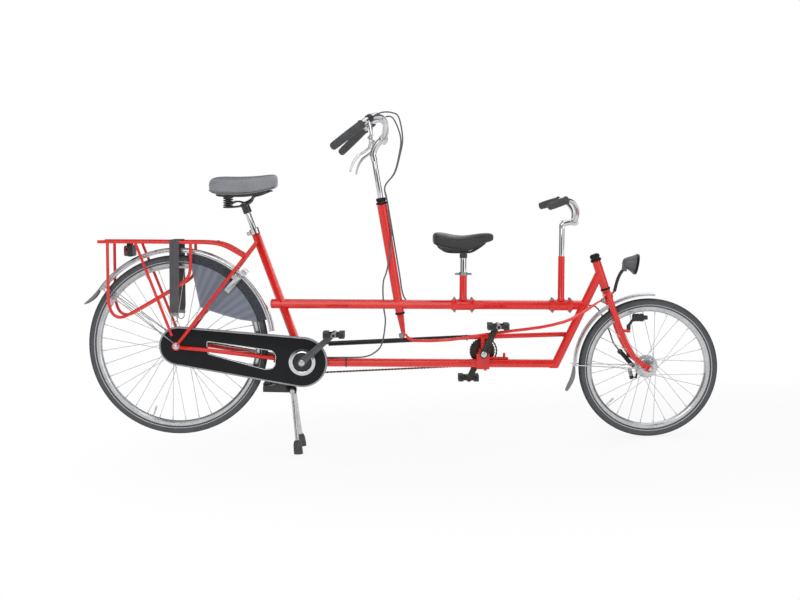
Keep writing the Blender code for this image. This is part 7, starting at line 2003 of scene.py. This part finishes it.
def studio_floor():
    """A pale studio floor that turns white away from the object and keeps its shadow."""
    made, tree, shader, place = begin("studio_floor", Base_Color=paint("#F4F4F3"), Roughness=0.7)
    # The gradient ends 1 from its middle: 2.4 m off along the bicycle and 1.7 m off across it.
    scale = (0.42, 0.60, 1.0)
    middle = add(
        tree, "ShaderNodeMapping",
        {"Vector": place, "Location": (-OBJECT_MIDDLE * scale[0], 0.0, 0.0), "Scale": scale},
    )
    reach = add(
        tree, "ShaderNodeTexGradient", {"Vector": middle.outputs["Vector"]},
        gradient_type="SPHERICAL",
    )
    share = add(
        tree, "ShaderNodeMapRange",
        {
            "Value": reach.outputs["Fac"], "From Min": 0.05, "From Max": 0.55,
            "To Min": 1.0, "To Max": 0.85,
        },
    )
    white = add(tree, "ShaderNodeEmission", {"Color": WHITE, "Strength": 1.0})
    mixed = add(
        tree, "ShaderNodeMixShader",
        {0: share.outputs["Result"], 1: shader.outputs["BSDF"], 2: white.outputs["Emission"]},
    )
    tree.links.new(mixed.outputs["Shader"], tree.nodes["Material Output"].inputs["Surface"])
    return made


def studio_world():
    """White to the camera; reflections see soft boxes round the studio, with gaps between them."""
    world = bpy.data.worlds.new("studio")
    world.use_nodes = True
    tree = world.node_tree
    rays = add(tree, "ShaderNodeLightPath")
    plain = tree.nodes["Background"]
    plain.inputs["Color"].default_value = WHITE
    plain.inputs["Strength"].default_value = ROOM_LIGHT
    direction = add(tree, "ShaderNodeTexCoord")
    round_about = add(
        tree, "ShaderNodeTexGradient", {"Vector": direction.outputs["Generated"]},
        gradient_type="RADIAL",
    )
    turn = add(
        tree, "ShaderNodeMath", {0: round_about.outputs["Fac"], 1: math.tau * SOFT_BOXES},
        operation="MULTIPLY",
    )
    wave = add(tree, "ShaderNodeMath", {0: turn.outputs["Value"]}, operation="COSINE")
    boxes = add(
        tree, "ShaderNodeMapRange",
        {
            "Value": wave.outputs["Value"], "From Min": -0.7, "From Max": 0.5,
            "To Min": 0.85, "To Max": 0.07,
        },
    )
    reflected = add(
        tree, "ShaderNodeBackground", {"Color": WHITE, "Strength": boxes.outputs["Result"]}
    )
    seen = add(tree, "ShaderNodeBackground", {"Color": WHITE, "Strength": 1.0})
    glossy = add(
        tree, "ShaderNodeMixShader",
        {
            0: rays.outputs["Is Glossy Ray"], 1: plain.outputs["Background"],
            2: reflected.outputs["Background"],
        },
    )
    direct = add(
        tree, "ShaderNodeMath",
        {0: rays.outputs["Is Camera Ray"], 1: rays.outputs["Is Transmission Ray"]},
        operation="MAXIMUM",
    )
    mixed = add(
        tree, "ShaderNodeMixShader",
        {0: direct.outputs["Value"], 1: glossy.outputs["Shader"], 2: seen.outputs["Background"]},
    )
    tree.links.new(mixed.outputs["Shader"], tree.nodes["World Output"].inputs["Surface"])
    return world


class TANDEM_OT_stage(Made, bpy.types.Operator):
    """The pale floor, the white surroundings and the soft lamps"""

    bl_idname = "tandem.stage"
    bl_label = "Stage"

    def execute(self, context):
        scene = bpy.context.scene
        scene.view_settings.view_transform = "Standard"
        shape = bmesh.new()
        bmesh.ops.create_grid(
            shape, x_segments=1, y_segments=1, size=FLOOR_REACH,
            matrix=Matrix.Translation((OBJECT_MIDDLE, 0.0, CAD_BOX[0][2])),
        )
        mesh = bpy.data.meshes.new("floor")
        shape.to_mesh(mesh)
        shape.free()
        mesh.materials.append(studio_floor())
        floor = bpy.data.objects.new("floor", mesh)
        scene.collection.objects.link(floor)
        scene.world = studio_world()
        middle = at(OBJECT_MIDDLE, 0.15)
        for name, place, size, power in LAMPS:
            data = bpy.data.lights.new(name, "AREA")
            data.shape = "SQUARE"
            data.size = size
            data.energy = power
            lamp = bpy.data.objects.new(name, data)
            lamp.location = place
            lamp.rotation_euler = (middle - Vector(place)).to_track_quat("-Z", "Y").to_euler()
            scene.collection.objects.link(lamp)
        data = bpy.data.cameras.new("photo")
        data.sensor_width = SENSOR_WIDTH
        data.lens = LENS
        data.clip_end = 60.0
        camera = bpy.data.objects.new("photo", data)
        place = photo_place(*CAMERA_PLACE, -CAMERA_AWAY)
        target = photo_place(*CAMERA_TARGET, 0.0)
        up = (photo_place(0.0, 1.0, 0.0) - photo_place(0.0, 0.0, 0.0)).normalized()
        back = (place - target).normalized()
        right = up.cross(back).normalized()
        turn = Matrix((right, back.cross(right), back)).transposed().to_4x4()
        camera.matrix_world = Matrix.Translation(place) @ turn
        scene.collection.objects.link(camera)
        scene.camera = camera
        return {"FINISHED"}


# Panel and registration


PIECES = (
    TANDEM_OT_stage, TANDEM_OT_cables, TANDEM_OT_frame, TANDEM_OT_headset, TANDEM_OT_wheels,
    TANDEM_OT_mudguards, TANDEM_OT_chaincase, TANDEM_OT_chains, TANDEM_OT_saddles,
    TANDEM_OT_parent_bars, TANDEM_OT_child_bars, TANDEM_OT_cranks, TANDEM_OT_pedals,
    TANDEM_OT_rack, TANDEM_OT_carriers, TANDEM_OT_posts, TANDEM_OT_strap, TANDEM_OT_lamp,
    TANDEM_OT_brake_arm, TANDEM_OT_stand, TANDEM_OT_fasteners,
)


class TANDEM_PT_panel(bpy.types.Panel):
    """Lists the sizes, the colours and every step of the build"""

    bl_label = "Parent-child tandem"
    bl_space_type = "VIEW_3D"
    bl_region_type = "UI"
    bl_category = "Tandem"

    def draw(self, context):
        for group in (context.scene.tandem_sizes, context.scene.tandem_colours):
            for name in group.bl_rna.properties.keys():
                if name not in ("rna_type", "name"):
                    self.layout.prop(group, name)
        for piece in PIECES:
            self.layout.operator(piece.bl_idname)


CLASSES = (TandemColours, TandemSizes, *PIECES, TANDEM_PT_panel)


def register():
    """Makes the settings, the steps and the panel known."""
    for made in CLASSES:
        bpy.utils.register_class(made)
    bpy.types.Scene.tandem_colours = bpy.props.PointerProperty(type=TandemColours)
    bpy.types.Scene.tandem_sizes = bpy.props.PointerProperty(type=TandemSizes)


def unregister():
    """Takes them away again."""
    del bpy.types.Scene.tandem_sizes
    del bpy.types.Scene.tandem_colours
    for made in reversed(CLASSES):
        bpy.utils.unregister_class(made)


def main():
    """Builds every step in order."""
    register()
    for piece in PIECES:
        group, name = piece.bl_idname.split(".")
        getattr(getattr(bpy.ops, group), name)()


if __name__ == "__main__":
    main()
